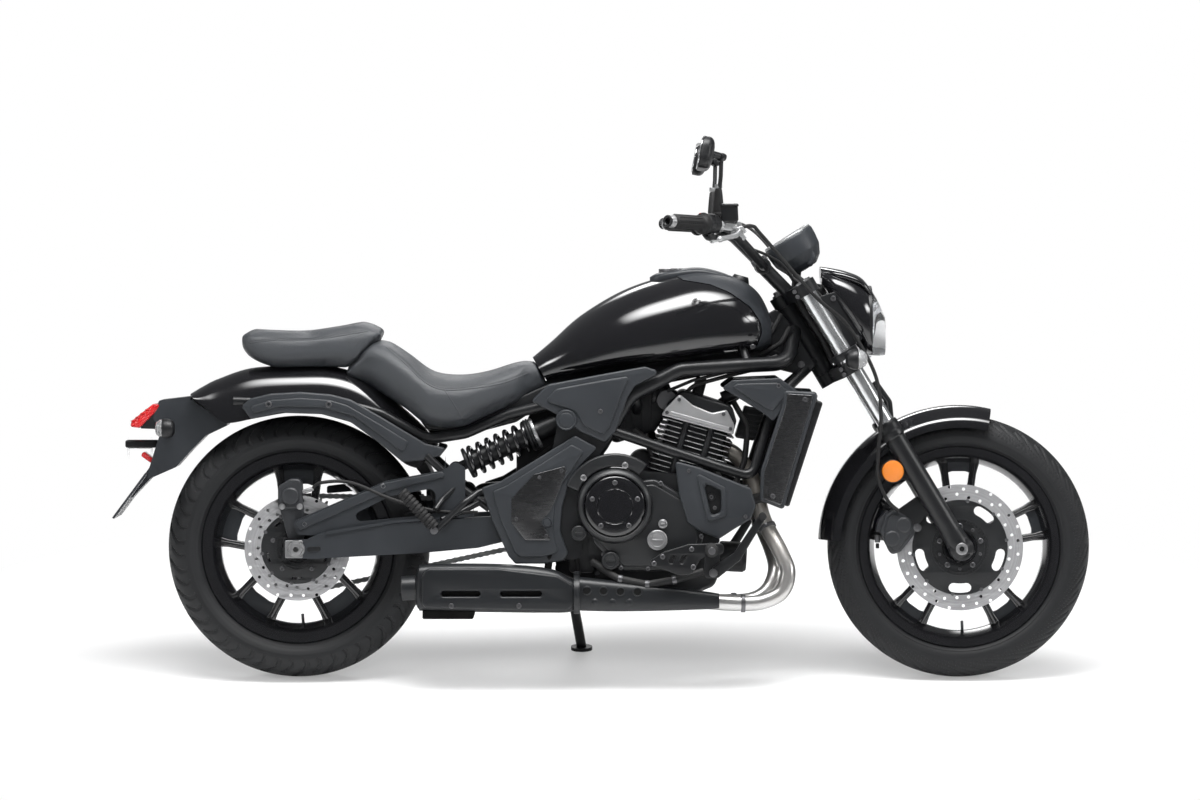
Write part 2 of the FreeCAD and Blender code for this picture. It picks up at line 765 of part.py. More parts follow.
def radiator(main_frame):
    half = size.radiator_width / 2
    depth = size.radiator_thickness
    core = box("radiator_core", (0, -half + 30, 6), (depth, half - 30, 256))
    tanks = [box("radiator_tank", (-6, half - 30, 0), (depth + 4, half, 262))]
    pieces = [core] + tanks
    for piece in pieces:
        moved(piece, AT_RADIATOR)
    pieces.append(mirrored(tanks[0]))
    bracket = slab("radiator_bracket", [
        (1100, 540, 8), (1190, 540, 8), (1190, 575, 8), (1100, 575, 8)], "8", 112)
    pieces += both_sides([bracket])
    return node("radiator", fitted("radiator", fused("radiator_set", pieces), [main_frame]))


def radiator_covers(radiator_set, main_frame):
    """Upright side covers of the radiator with the shrouds above them."""
    front = slab("radiator_cover", [
        (1152, 690, 8), (1228, 686, 8), (1232, 676, 4), (1152, 408, 8), (1096, 430, 6),
        (1098, 500, 20), (1150, 660, 20)], "24", 160)
    shroud = slab("radiator_shroud", [
        (1004, 694, 6), (1031, 714, 6), (1142, 719, 8), (1186, 688, 6), (1128, 616, 6),
        (1106, 634, 6), (1022, 686, 6)], "10", 158)
    lug = slab("shroud_lug", [
        (1040, 690, 4), (1120, 690, 4), (1120, 712, 4), (1040, 712, 4)], "34", 140)
    covers = fused("radiator_cover_set", both_sides([front, shroud, lug]))
    return node("radiator_covers", fitted("radiator_covers", covers, [radiator_set, main_frame]))


# Exhaust

def exhaust(engine, cylinder_set):
    spread = size.header_spread
    pipes = [
        tube(f"header_pipe_{index}", [
            Vector(960, side * spread, 548), Vector(1066, side * spread, 500),
            Vector(1104, side * spread, 400), Vector(1076, side * spread, 236),
            Vector(1000, side * spread * 0.8 - 12, 176), Vector(860, side * spread * 0.4 - 30, 160)],
            "Sizes.header_dia", 60)
        for index, side in enumerate((-1, 1))]
    collector = slab("exhaust_collector", [
        (640, 120, 16), (880, 138, 16), (880, 182, 16), (640, 182, 16)], "150", -20)
    link = tube("muffler_link", [
        Vector(740, -30, 150), Vector(700, -110, 160), Vector(640, -size.muffler_line, 200)], "50", 30)
    headers = fused("header_set", pipes + [collector, link])
    collected = node("exhaust_headers", fitted("exhaust_headers", headers, [engine, cylinder_set]))
    line = -size.muffler_line
    can = doc.addObject("PartDesign::Body", "muffler_can")
    outline = [
        (282, 186, 24), (300, 168, 16), (640, 164, 20), (668, 184, 14), (668, 232, 14),
        (620, 262, 30), (480, 280, 60), (312, 280, 24), (282, 250, 24)]
    profile = sketch(can, "muffler_outline", "XZ_Plane", rounded_outline(outline), line)
    pad = can.newObject("PartDesign::Pad", "muffler_pad")
    pad.Profile = profile
    pad.SideType = "Symmetric"
    pad.Length = 96
    pipe = rod("muffler_outlet", Vector(250, line, 222), Vector(300, line, 226), "58")
    shield = slab("muffler_shield", [
        (664, 174, 12), (994, 176, 8), (994, 208, 8), (664, 244, 20)], "8", line - 42)
    muffler_set = fused("muffler_set", [can, pipe, shield])
    return collected, node("muffler", fitted("muffler", muffler_set, [collected]))


# Tank, seats and covers

def seam_block(name, spot, slope, ahead):
    """Block that ends at a seam across the machine; slope is the seam's lean from upright."""
    reach = 300
    block = box(name, (0 if ahead else -reach, -reach, -reach), (reach if ahead else 0, reach, reach))
    return moved(block, Placement(Vector(spot[0], 0, spot[1]), Rotation(ALONG_Y, slope)))


TANK_SEAM = (580, 730)
TANK_SEAM_SLOPE = -32
PASSENGER_SEAM = (158, 779)
PASSENGER_SEAM_SLOPE = 47.5


def fuel_tank(main_frame, cap_set):
    wide = size.tank_half_width
    skin = lofted("tank_skin", [
        (540, 690, 750, wide * 0.3, 0.4), (600, 709, 800, wide * 0.56, 0.4),
        (671, 718, 863, wide * 0.76, 0.36), (767, 737, 921, wide * 0.94, 0.34),
        (862, 748, 955, wide, 0.34), (955, 762, 972, wide * 0.98, 0.34),
        (1040, 772, 954, wide * 0.86, 0.36), (1094, 780, 918, wide * 0.66, 0.4),
        (1124, 792, 862, wide * 0.42, 0.45)], 2.1, 3.2)
    seamed = cut("tank_seamed", skin, seam_block("behind_tank", TANK_SEAM, TANK_SEAM_SLOPE, False))
    return node("fuel_tank", fitted("fuel_tank", seamed, [main_frame] + cap_set))


FILLER = Vector(905, 0, 962)


def filler_neck():
    """Bore in the tank under the lid."""
    return rod("filler_bore", FILLER - ALONG_Z * 60, FILLER + ALONG_Z * 60,
               "Sizes.filler_dia + 2 * Sizes.fit_clearance")


def fuel_cap():
    radius = size.filler_dia / 2
    lid = turned("fuel_cap", [
        (0, 0), (radius, 0), (radius, 14), (radius - 6, 19, 3), (0, 21)])
    at = Placement(FILLER - ALONG_Z * 6, Rotation(ALONG_X, 90))
    return node("fuel_cap", lid, at)


def rider_seat(rails, guard_form):
    wide = size.seat_half_width
    skin = lofted("rider_seat_skin", [
        (112, 720, 780, wide * 0.5, 0.5), (160, 706, 806, wide * 0.62, 0.5),
        (205, 680, 808, wide * 0.76, 0.45), (260, 645, 772, wide * 0.9, 0.5),
        (318, 602, 730, wide, 0.55), (384, 600, 720, wide, 0.6),
        (450, 628, 729, wide * 0.92, 0.6), (516, 652, 751, wide * 0.72, 0.6),
        (556, 674, 762, wide * 0.54, 0.6), (610, 704, 764, wide * 0.4, 0.5)], 3.0, 3.4)
    front = seam_block("ahead_of_seat", TANK_SEAM, TANK_SEAM_SLOPE, True)
    back = seam_block("behind_seat", PASSENGER_SEAM, PASSENGER_SEAM_SLOPE, False)
    seamed = cut("seat_seamed", cut("seat_front_seamed", skin, front), back)
    return node("rider_seat", fitted("rider_seat", seamed, [rails, guard_form]))


def passenger_seat(guard_form):
    wide = size.passenger_half_width
    skin = lofted("passenger_seat_skin", [
        (-135, 790, 822, wide * 0.6, 0.5), (-116, 764, 830, wide * 0.82, 0.5),
        (-60, 744, 827, wide * 0.98, 0.5), (20, 744, 826, wide, 0.5),
        (100, 744, 837, wide * 0.98, 0.5), (160, 740, 847, wide * 0.92, 0.5),
        (206, 740, 838, wide * 0.84, 0.5)], 3.4, 3.6)
    front = seam_block("ahead_of_pillion", PASSENGER_SEAM, PASSENGER_SEAM_SLOPE, True)
    seamed = cut("pillion_seamed", skin, front)
    return node("passenger_seat", fitted("passenger_seat", seamed, [guard_form]))


def guard_outside(radius, width, skirt):
    """Outer side of a mudguard's section, from one skirt over the crown to the other."""
    half = width / 2
    return [
        (radius - skirt, half), (radius - 34, half, 26), (radius, half * 0.45, 60),
        (radius, -half * 0.45, 60), (radius - 34, -half, 26), (radius - skirt, -half)]


def guard_shell(name, radius, width, thickness, skirt, start, sweep):
    """Channel section turned round the wheel, from an angle behind the top."""
    half = width / 2
    outside = guard_outside(radius, width, skirt)
    inside = [
        (radius - skirt, -half + thickness), (radius - 34 - thickness / 2, -half + thickness, 22),
        (radius - thickness, -half * 0.45 + 1, 56), (radius - thickness, half * 0.45 - 1, 56),
        (radius - 34 - thickness / 2, half - thickness, 22), (radius - skirt, half - thickness)]
    body = doc.addObject("PartDesign::Body", name)
    profile = sketch(body, name + "_section", "XY_Plane", rounded_outline(outside + inside))
    shell = body.newObject("PartDesign::Revolution", name + "_turned")
    shell.Profile = profile
    shell.ReferenceAxis = (profile, ["V_Axis"])
    shell.Angle = sweep
    body.Placement = Placement(Vector(0, 0, 0), Rotation(ALONG_Y, -start))
    return body


def rear_mudguard():
    """The rear mudguard, its form without the hollow for the seats, and its room for the tail."""
    shell = guard_shell("rear_guard", size.rear_guard_radius, size.rear_guard_width,
                        size.guard_thickness, 66, 126, 79)
    moved(shell, AT_REAR_WHEEL)
    gap = size.fit_clearance
    room = guard_shell("rear_guard_room", size.rear_guard_radius + gap, size.rear_guard_width + 2 * gap,
                       size.guard_thickness + 2 * gap, 66, 126, 79)
    moved(room, AT_REAR_WHEEL)
    filled = turned("rear_guard_filled", guard_outside(
        size.rear_guard_radius + gap, size.rear_guard_width + 2 * gap, size.rear_guard_radius - 200))
    moved(filled, AT_REAR_WHEEL)
    return node("rear_mudguard", shell), filled, room


def side_covers(main_frame, engine, tank, seat, rails, shock_set):
    """Upper side covers, pivot covers and the lower front covers."""
    outside = size.pivot_plate_line + size.pivot_plate_thickness / 2
    upper = slab("upper_side_cover", [
        (556, 664, 6), (597, 704, 12), (719, 727, 12), (825, 746, 8), (866, 733, 8),
        (801, 700, 20), (785, 674, 20), (756, 594, 10), (731, 566, 8), (672, 592, 10),
        (640, 620, 20)], "14", outside + 7)
    pivot = slab("pivot_cover", [
        (439, 460, 6), (484, 475, 10), (660, 583, 8), (714, 554, 8), (672, 510, 20),
        (648, 475, 30), (630, 416, 40), (625, 357, 30), (644, 305, 14), (632, 287, 8),
        (590, 280, 10), (519, 280, 8), (503, 298, 12), (465, 381, 30), (449, 428, 20)],
        "12", outside + 6)
    lower = slab("lower_front_cover", [
        (895, 524, 8), (953, 508, 10), (1075, 459, 8), (1087, 416, 12), (1075, 386, 12),
        (1035, 362, 14), (1000, 339, 12), (953, 358, 10), (925, 377, 12), (906, 440, 20)],
        "10", 165)
    window = slab("lower_cover_window", [
        (963, 473, 5), (1005, 452, 5), (1005, 400, 5), (981, 395, 5)], "40", 165)
    lugs = slab("lower_cover_lug", [
        (1040, 440, 4), (1070, 440, 4), (1070, 466, 4), (1040, 466, 4)], "52", 138)
    rear_lug = slab("lower_cover_rear_lug", [
        (905, 395, 4), (935, 395, 4), (935, 415, 4), (905, 415, 4)], "36", 144)
    lower_set = [cut("lower_cover_open", lower, window), lugs, rear_lug]
    covers = fused("side_cover_set", both_sides([upper, pivot] + lower_set))
    return node("side_covers", fitted(
        "side_covers", covers, [main_frame, engine, tank, seat, rails] + shock_set))


def fender_struts(guard, rails, seats):
    strut = slab("fender_strut", [
        (-131, 651, 8), (-107, 670, 10), (-60, 681, 20), (11, 685, 20), (82, 679, 20),
        (129, 667, 20), (211, 620, 30), (306, 563, 10), (356, 552, 6), (341, 533, 8),
        (294, 521, 14), (252, 518, 10), (200, 561, 20), (129, 613, 30), (60, 632, 30),
        (-36, 635, 20), (-107, 620, 8)], "12", size.rear_guard_width / 2 + 6)
    struts = fused("fender_strut_set", both_sides([strut]))
    return node("fender_struts", fitted("fender_struts", struts, [guard, rails] + seats))


PLATE_MIDDLE = Vector(-396.5, 0, 437.75)
PLATE_FACING = Vector(-108, 0, 80).normalize()


def tail_cover(guard, struts):
    """Tail under the rear mudguard, down to the plate bracket."""
    hood = slab("tail_hood", [
        (-330, 663, 6), (-254, 672, 6), (-240, 655, 6), (-207, 634, 10), (-162, 606, 6),
        (-219, 579, 14), (-254, 544, 14), (-290, 504, 10), (-356, 475, 6), (-366, 480, 4),
        (-354, 501, 10), (-337, 556, 20), (-325, 591, 20), (-345, 620, 10)], "110")
    plate = box("plate_bracket", (-66, -104, -size.plate_thickness / 2),
                (66, 104, size.plate_thickness / 2))
    moved(plate, Placement(PLATE_MIDDLE, Rotation(ALONG_Z, PLATE_FACING)))
    neck = slab("plate_neck", [
        (-402, 434, 4), (-396, 430, 4), (-330, 500, 4), (-330, 530, 8), (-352, 506, 4)], "90")
    holes = [
        rod(f"plate_hole_{index}", PLATE_MIDDLE - PLATE_FACING * 20 + ALONG_Y * side * size.plate_bolt_spread / 2,
            PLATE_MIDDLE + PLATE_FACING * 20 + ALONG_Y * side * size.plate_bolt_spread / 2,
            "Sizes.plate_hole_dia")
        for index, side in enumerate((-1, 1))]
    stalks = rod("signal_stalk", Vector(-299, -90, 600), Vector(-299, 90, 600), "14")
    tail = cut("tail_drilled", fused("tail_set", [hood, plate, neck, stalks]),
               fused("plate_hole_pair", holes))
    return node("tail_cover", fitted("tail_cover", tail, [guard, struts]))


def rear_lamps(tail):
    lamp = slab("tail_lamp", [
        (-344, 655, 8), (-330, 655, 4), (-318, 592, 4), (-385, 591, 6), (-399, 608, 6)], "120")
    signals = []
    for side in (-1, 1):
        bulb = doc.addObject("Part::Sphere", f"rear_signal_{'right' if side < 0 else 'left'}")
        bulb.Radius = 24
        bulb.Placement = Placement(Vector(-310, side * 108, 598), Rotation())
        signals.append(bulb)
    plate_lamp = slab("plate_lamp", [
        (-415, 568, 5), (-415, 548, 5), (-336, 548, 4), (-336, 568, 4)], "40")
    lamps = fused("rear_lamp_set", [lamp, plate_lamp] + signals)
    return node("rear_lamps", fitted("rear_lamps", lamps, [tail]))


# Rear suspension

def shock(main_frame):
    line = -size.shock_line
    top = Vector(639, line, 620)
    foot = Vector(377, line, 502)
    along = (top - foot).normalize()
    length = (top - foot).Length
    collar = foot + along * (length - 88)
    seat = foot + along * 36
    eyes = [rod(f"shock_eye_{index}", spot - ALONG_Y * 16, spot + ALONG_Y * 16, "34")
            for index, spot in enumerate((top, foot))]
    upper_eye_arm = rod("shock_upper_pin", top, top + ALONG_Y * 30, "14")
    damper = rod("shock_damper", foot + along * 8, collar, "30")
    reservoir = rod("shock_head", collar, top - along * 10, "46")
    ring = rod("shock_collar", collar - along * 10, collar, "Sizes.spring_dia + 8")
    lower_seat = rod("shock_seat", seat - along * 8, seat, "Sizes.spring_dia + 4")
    made = fused("shock_set", eyes + [damper, reservoir, ring, lower_seat, upper_eye_arm])
    body = node("shock", fitted("shock", made, [main_frame]))
    outer = rod("spring_outer", seat, collar - along * 10, "Sizes.spring_dia")
    inner = rod("spring_inner", seat - along, collar, "Sizes.spring_dia - 2 * Sizes.spring_wire")
    spring = node("shock_spring", cut("shock_spring", outer, inner))
    return body, spring


def swingarm(shock_set):
    """Two arms with adjuster ends, a pivot tube, a bridge and the shock's bridge."""
    line = size.arm_line
    wide = size.arm_width
    arm = slab("swing_arm", [
        (-28, 292, 6), (-28, 334, 6), (24, 336, 10), (60, 352, 20), (236, 373, 30),
        (430, 389, 20), (612, 396, 16), (612, 360, 16), (430, 316, 20), (295, 304, 20),
        (40, 290, 10)], "Sizes.arm_width", line)
    tower = slab("shock_tower", [
        (60, 346, 10), (240, 366, 10), (400, 384, 10), (400, 506, 14), (376, 520, 14), (350, 500, 14),
        (212, 474, 14), (-8, 378, 10), (4, 346, 8)], "14", -line + 2)
    window = slab("tower_window", [
        (90, 372, 12), (232, 386, 12), (330, 396, 12), (330, 458, 16), (222, 438, 20)], "60", -line)
    pivot = Vector(size.pivot_forward, 0, size.pivot_height)
    inside = size.pivot_plate_line - size.pivot_plate_thickness / 2
    outside = size.pivot_plate_line + size.pivot_plate_thickness / 2
    barrel = rod("pivot_tube", pivot - ALONG_Y * (inside - 0.5), pivot + ALONG_Y * (inside - 0.5), "52")
    shaft = rod("pivot_shaft", pivot - ALONG_Y * outside, pivot + ALONG_Y * outside, "29.6")
    bridge = rod("arm_bridge", Vector(470, -line, 366), Vector(470, line, 366), "44")
    hook = rod("shock_mount", Vector(377, -line, 502), Vector(377, -size.shock_line + 26, 502), "16")
    guard = slab("chain_guard", [
        (60, 452, 6), (200, 470, 20), (420, 462, 20), (420, 440, 4), (200, 446, 20), (60, 434, 4)],
        "3", line - 4)
    guard_leg = slab("chain_guard_leg", [
        (300, 370, 4), (330, 374, 4), (330, 452, 4), (300, 452, 4)], "3", line - 4)
    bore = rod("axle_bore", REAR_AXLE - ALONG_Y * 200, REAR_AXLE + ALONG_Y * 200,
               "Sizes.rear_axle_dia")
    arms = fused("swingarm_set", both_sides([arm]) + [
        cut("shock_tower_open", tower, window), barrel, shaft, bridge, hook, guard, guard_leg])
    return node("swingarm", fitted("swingarm", cut("swingarm_bored", arms, bore), shock_set))


def rear_axle():
    """Axle with its nuts and the spacers that hold the wheel between the arms."""
    outer = size.arm_line + size.arm_width / 2
    inner = size.arm_line - size.arm_width / 2
    gap = size.fit_clearance
    end = outer + 14
    spindle = rod("rear_spindle", -ALONG_Y * end, ALONG_Y * end, "Sizes.rear_axle_dia")
    hollow = rod("rear_axle_bore", -ALONG_Y * (end + 5), ALONG_Y * (end + 5), "Sizes.rear_axle_bore")
    right = rod("right_spacer", -ALONG_Y * inner, -ALONG_Y * (size.rear_hub_width / 2 + gap), "34")
    left_spacer = rod("left_spacer", ALONG_Y * (SPROCKET_FACE - 4 + gap), ALONG_Y * inner, "34")
    nuts = [rod(f"rear_nut_{index}", ALONG_Y * side * outer, ALONG_Y * side * (outer + 12), "38")
            for index, side in enumerate((-1, 1))]
    solid = fused("rear_axle_set", [spindle, right, left_spacer] + nuts)
    return node("rear_axle", cut("rear_axle", solid, hollow), AT_REAR_WHEEL)


def rear_caliper(arms):
    """Single piston caliper on a bracket of the right arm, straddling the disc."""
    middle = -REAR_FLANGE - size.disc_thickness / 2
    body = slab("rear_caliper_body", [
        (-44, 92, 10), (-44, 150, 12), (-14, 166, 12), (14, 166, 12), (16, 92, 10)], "56", middle)
    bracket = slab("rear_caliper_bracket", [
        (-20, 20, 8), (20, 20, 8), (16, 110, 8), (-44, 110, 8)], "10", -size.arm_line + 18)
    slot = rod("rear_disc_slot", ALONG_Y * (middle - size.disc_thickness / 2 - size.moving_clearance),
               ALONG_Y * (middle + size.disc_thickness / 2 + size.moving_clearance),
               "Sizes.rear_disc_dia + 2 * Sizes.moving_clearance")
    caliper = moved(cut("rear_caliper_open", fused("rear_caliper_set", [body, bracket]), slot),
                    AT_REAR_WHEEL)
    return node("rear_caliper", fitted("rear_caliper", caliper, [arms]))


# Rider's feet

def footrests(main_frame, neighbours):
    """Footpegs with their hangers, folded passenger pegs, brake pedal and gear lever."""
    hanger = slab("footrest_hanger", [
        (824, 284, 10), (870, 312, 20), (928, 330, 10), (1010, 332, 10), (1010, 312, 10),
        (955, 300, 20), (930, 262, 20), (905, 262, 20), (860, 276, 20)], "8", 214)
    arm = rod("footrest_arm", Vector(900, size.engine_width / 2, 300), Vector(900, 214, 300), "24")
    peg = rod("footpeg", Vector(980, 214, 318), Vector(980, 306, 318), "30")
    pedal = tube("foot_lever", [
        Vector(985, 222, 262), Vector(1040, 222, 300), Vector(1100, 222, 396)], "12", 40)
    pedal_pivot = rod("lever_pivot", Vector(985, 206, 262), Vector(985, 226, 262), "20")
    pedal_link = slab("lever_lug", [
        (964, 252, 6), (999, 252, 6), (999, 322, 4), (964, 322, 4)], "6", 214)
    tip = rod("lever_tip", Vector(1100, 210, 396), Vector(1100, 262, 396), "18")
    passenger_peg = rod("passenger_peg", PASSENGER_PEG + Vector(-4, 2, 4),
                        PASSENGER_PEG + Vector(-84, 6, 90), "30")
    rests = both_sides([hanger, arm, peg, pedal, pedal_pivot, pedal_link, tip, passenger_peg])
    return node("footrests", fitted(
        "footrests", fused("footrest_set", rests), [main_frame] + neighbours))


# Fork, bars and headlamp

def fork():
    spread = size.fork_spread
    ahead = size.fork_offset
    top = AXLE_DROP + size.stanchion_length
    seam = AXLE_DROP + size.slider_length
    tubes = [rod(f"stanchion_{index}", steered(ahead, side * spread, seam),
                 steered(ahead, side * spread, top), "Sizes.stanchion_dia")
             for index, side in enumerate((-1, 1))]
    stanchions = node("fork_tubes", fused("fork_tubes", tubes))
    sliders = [rod(f"slider_{index}", steered(ahead, side * spread, AXLE_DROP - 24),
                   steered(ahead, side * spread, seam), "Sizes.slider_dia")
               for index, side in enumerate((-1, 1))]
    axle_bore = rod("front_axle_bore", FRONT_AXLE - ALONG_Y * 200, FRONT_AXLE + ALONG_Y * 200,
                    "Sizes.front_axle_dia")
    legs = node("fork_legs", cut("fork_legs", fused("slider_pair", sliders), axle_bore))
    clamp_parts = []
    for name, height in (("lower", size.lower_clamp_height), ("upper", size.upper_clamp_height)):
        plate = slab(f"{name}_clamp", [
            (-26, -27, 26), (4, -27, 10), (ahead - 26, -spread - 33, 30), (ahead + 32, -spread - 33, 30),
            (ahead + 20, 0, 60), (ahead + 32, spread + 33, 30), (ahead - 26, spread + 33, 30),
            (4, 27, 10), (-26, 27, 26)], "Sizes.clamp_thickness", height, "XY_Plane")
        plate.Placement = AT_STEERING
        clamp_parts.append(plate)
    stem = rod("steering_stem", steered(0, 0, size.lower_clamp_height),
               steered(0, 0, size.upper_clamp_height), "Sizes.stem_dia")
    risers = [rod(f"bar_riser_{index}", steered(24, side * 45, size.upper_clamp_height),
                  steered(2, side * 45, size.upper_clamp_height + 92), "32")
              for index, side in enumerate((-1, 1))]
    clamps = fused("clamp_set", clamp_parts + [stem] + risers)
    holes = fused("clamp_holes", [
        rod(f"clamp_hole_{index}", steered(ahead, side * spread, 300),
            steered(ahead, side * spread, top + 40), "Sizes.stanchion_dia")
        for index, side in enumerate((-1, 1))])
    bar_set = handlebar()
    made = cut("clamps_bored", clamps, holes)
    clamps = node("triple_clamps", fitted("triple_clamps", made, [bar_set]))
    return [stanchions, legs], bar_set, clamps


BAR_LIFT = 96


def bar_points():
    """Middle of the handlebar, its bends and its right end, then the left end."""
    centre = steered(2, 0, size.upper_clamp_height + BAR_LIFT)
    half = size.bar_half_width
    right = [
        centre - ALONG_Y * 110, Vector(centre.x - 52, -200, centre.z + 54),
        Vector(centre.x - 118, -300, centre.z + 56), Vector(888, -half, size.bar_end_height)]
    left_side = [Vector(point.x, -point.y, point.z) for point in right]
    return list(reversed(right)) + left_side


def handlebar():
    return node("handlebar", tube("handlebar", bar_points(), "Sizes.bar_dia", 60))


def grip_span(near, far):
    """Two points along the right grip, measured back from the bar's end."""
    points = bar_points()
    along = (points[1] - points[0]).normalize()
    return points[0] + along * near, points[0] + along * far


def grips(bar_set):
    start, end = grip_span(0, 116)
    knob, knob_end = grip_span(-14, 0)
    grip = fused("grip", [rod("grip_rubber", start, end, "32"), rod("bar_weight", knob, knob_end, "30")])
    return node("grips", fitted("grips", fused("grip_pair", both_sides([grip])), [bar_set]))


def bar_controls(bar_set, grip_set):
    """Switch boxes, lever perches with their levers, and the brake fluid cup."""
    start, end = grip_span(116, 158)
    switch = rod("switch_box", start, end, "44")
    perch_start, perch_end = grip_span(160, 196)
    perch = rod("lever_perch", perch_start, perch_end, "34")
    ahead = Vector(34, 0, -8)
    pivot = perch_start + ahead
    lever = tube("hand_lever", [
        perch_start + Vector(6, 0, -2), pivot + Vector(8, 0, -2),
        grip_span(110, 0)[0] + Vector(60, 0, -18), grip_span(20, 0)[0] + Vector(52, 0, -14)],
        "12", 12)
    cup = rod("fluid_cup", perch_start + Vector(30, 12, 4), perch_start + Vector(32, 12, 46), "40")
    pieces = both_sides([switch, perch, lever]) + [cup]
    return node("bar_controls", fitted("bar_controls", fused("control_set", pieces), [bar_set, grip_set]))


def mirrors(neighbours):
    """Round-cornered mirror heads on upright stems with rubber boots."""
    base = grip_span(160, 168)[1]
    knuckle = base + Vector(6, -26, 204)
    middle = knuckle + Vector(-40, -22, 8)
    stem = tube("mirror_stem", [
        base + ALONG_Z * 6, base + ALONG_Z * 70, base + Vector(5, -14, 150), knuckle], "10", 20)
    boot = rod("mirror_boot", base + ALONG_Z * 20, base + Vector(0, -4, 82), "24")
    joint = rod("mirror_joint", knuckle + Vector(9, 4, -2), middle, "17")
    head = doc.addObject("Part::Ellipsoid", "mirror_head")
    head.Radius1 = 51
    head.Radius2 = 19
    head.Radius3 = 76
    head.Placement = Placement(middle + Vector(4, 0, 0), Rotation(ALONG_Y, 11))
    return node("mirrors", fitted("mirrors", fused("mirror_set", both_sides([
        fused("mirror", [stem, boot, joint, head])])), neighbours))


def headlamp(clamps):
    """Tall pointed headlamp shell ahead of the fork, with a lens in its face."""
    shell = lofted("headlamp_shell", [
        (1246, 930, 978, 62, 0.5), (1275, 880, 974, 92, 0.5), (1310, 826, 966, 104, 0.5),
        (1345, 776, 950, 104, 0.5), (1375, 766, 912, 86, 0.5), (1398, 768, 862, 60, 0.5)], 2.4, 2.6)
    front = box("lens_zone", (1352, -200, 700), (1460, 200, 1000))
    lens = doc.addObject("Part::Common", "headlamp_lens")
    lens.Base = shell
    lens.Tool = front
    bracket = rod("headlamp_bracket", steered(60, 0, 683), steered(128, 0, 616), "40")
    body = fused("headlamp_set", [cut("headlamp_body", shell, front), bracket])
    made = node("headlamp", fitted("headlamp", body, [clamps]))
    node("headlamp_lens", lens)
    return made


def instrument(bar_set, clamps):
    """Round instrument on a bracket above the upper clamp."""
    case = slab("instrument_case", [
        (1149, 1073, 8), (1189, 1064, 10), (1225, 1033, 12), (1238, 1002, 8), (1228, 972, 8),
        (1197, 985, 10), (1137, 1007, 10), (1122, 1021, 8)], "128")
    bracket = rod("instrument_bracket", steered(40, 0, 690), Vector(1195, 0, 1000), "22")
    made = fused("instrument_set", [case, bracket])
    return node("instrument", fitted("instrument", made, [bar_set, clamps]))


def front_signals(legs):
    """Turn signals on stalks from the fork, and the round side reflectors."""
    stalk_foot = steered(size.fork_offset, -size.fork_spread - 18, 500)
    stalk = rod("front_signal_stalk", stalk_foot, Vector(1319, -210, 765), "14")
    lamp = doc.addObject("Part::Ellipsoid", "front_signal_lamp")
    lamp.Radius1 = 24
    lamp.Radius2 = 26
    lamp.Radius3 = 34
    lamp.Placement = Placement(Vector(1320, -216, 764), Rotation(ALONG_X, 90))
    stay = slab("reflector_stay", [
        (1400, 486, 4), (1470, 470, 4), (1474, 498, 4), (1412, 512, 4)], "4", -size.fork_spread - 4)
    reflector = rod("side_reflector", Vector(1412, -size.fork_spread - 5, 497),
                    Vector(1412, -size.fork_spread - 20, 497), "52")
    made = fused("front_signal_set", both_sides([stalk, lamp, stay, reflector]))
    return node("front_signals", fitted("front_signals", made, legs))


def front_mudguard(legs):
    shell = guard_shell("front_guard", size.front_guard_radius, size.front_guard_width,
                        size.guard_thickness, 52, 177, 100)
    moved(shell, AT_FRONT_WHEEL)
    boss = rod("guard_boss", steered(size.fork_offset - 4, -size.fork_spread, 232),
               steered(size.fork_offset - 4, -size.front_guard_width / 2 + 2, 232), "36")
    made = fused("front_guard_set", [shell] + both_sides([boss]))
    return node("front_mudguard", fitted("front_mudguard", made, [legs]))


def front_caliper(legs):
    middle = -FRONT_FLANGE - size.disc_thickness / 2
    body = slab("front_caliper_body", [
        (1385, 355, 8), (1404, 398, 12), (1428, 405, 12), (1462, 372, 10), (1464, 350, 10),
        (1430, 306, 10), (1414, 298, 8)], "58", middle)
    lug = slab("front_caliper_lug", [
        (1440, 330, 6), (1480, 380, 6), (1530, 440, 8), (1500, 460, 8), (1420, 400, 6)], "12",
        middle - 22)
    slot = rod("front_disc_slot",
               FRONT_AXLE + ALONG_Y * (middle - size.disc_thickness / 2 - size.moving_clearance),
               FRONT_AXLE + ALONG_Y * (middle + size.disc_thickness / 2 + size.moving_clearance),
               "Sizes.front_disc_dia + 2 * Sizes.moving_clearance")
    caliper = cut("front_caliper_open", fused("front_caliper_set", [body, lug]), slot)
    return node("front_caliper", fitted("front_caliper", caliper, [legs]))


def front_axle():
    inner = size.fork_spread - size.slider_dia / 2
    outer = size.fork_spread + size.slider_dia / 2
    gap = size.fit_clearance
    end = outer + 4
    spindle = rod("front_spindle", -ALONG_Y * end, ALONG_Y * end, "Sizes.front_axle_dia")
    hollow = rod("front_axle_hollow", -ALONG_Y * (end + 5), ALONG_Y * (end + 5),
                 "Sizes.front_axle_bore")
    right = rod("front_right_spacer", -ALONG_Y * inner, -ALONG_Y * (size.front_hub_width / 2 + gap), "32")
    left_spacer = rod("front_left_spacer", ALONG_Y * (size.front_hub_width / 2 + gap),
                      ALONG_Y * inner, "32")
    solid = fused("front_axle_set", [spindle, right, left_spacer])
    return node("front_axle", cut("front_axle", solid, hollow), AT_FRONT_WHEEL)


def cables(neighbours):
    """Brake hose and clutch cable, held at the bars and at the fork."""
    hose = tube("brake_hose", [
        Vector(1018, -292, 1052), Vector(1080, -236, 1052), steered(66, -196, 660),
        steered(98, -146, 560), steered(99, -136, 420), steered(72, -142, 300),
        steered(12, -140, 200), steered(-26, -88, 100)], "8", 60)
    clutch = tube("clutch_cable", [
        Vector(996, 304, 1044), Vector(1080, 240, 1056), Vector(1150, 180, 1000),
        Vector(1196, 130, 930)], "7", 60)
    made = fused("cable_set", [hose, clutch])
    return node("cables", fitted("cables", made, neighbours))


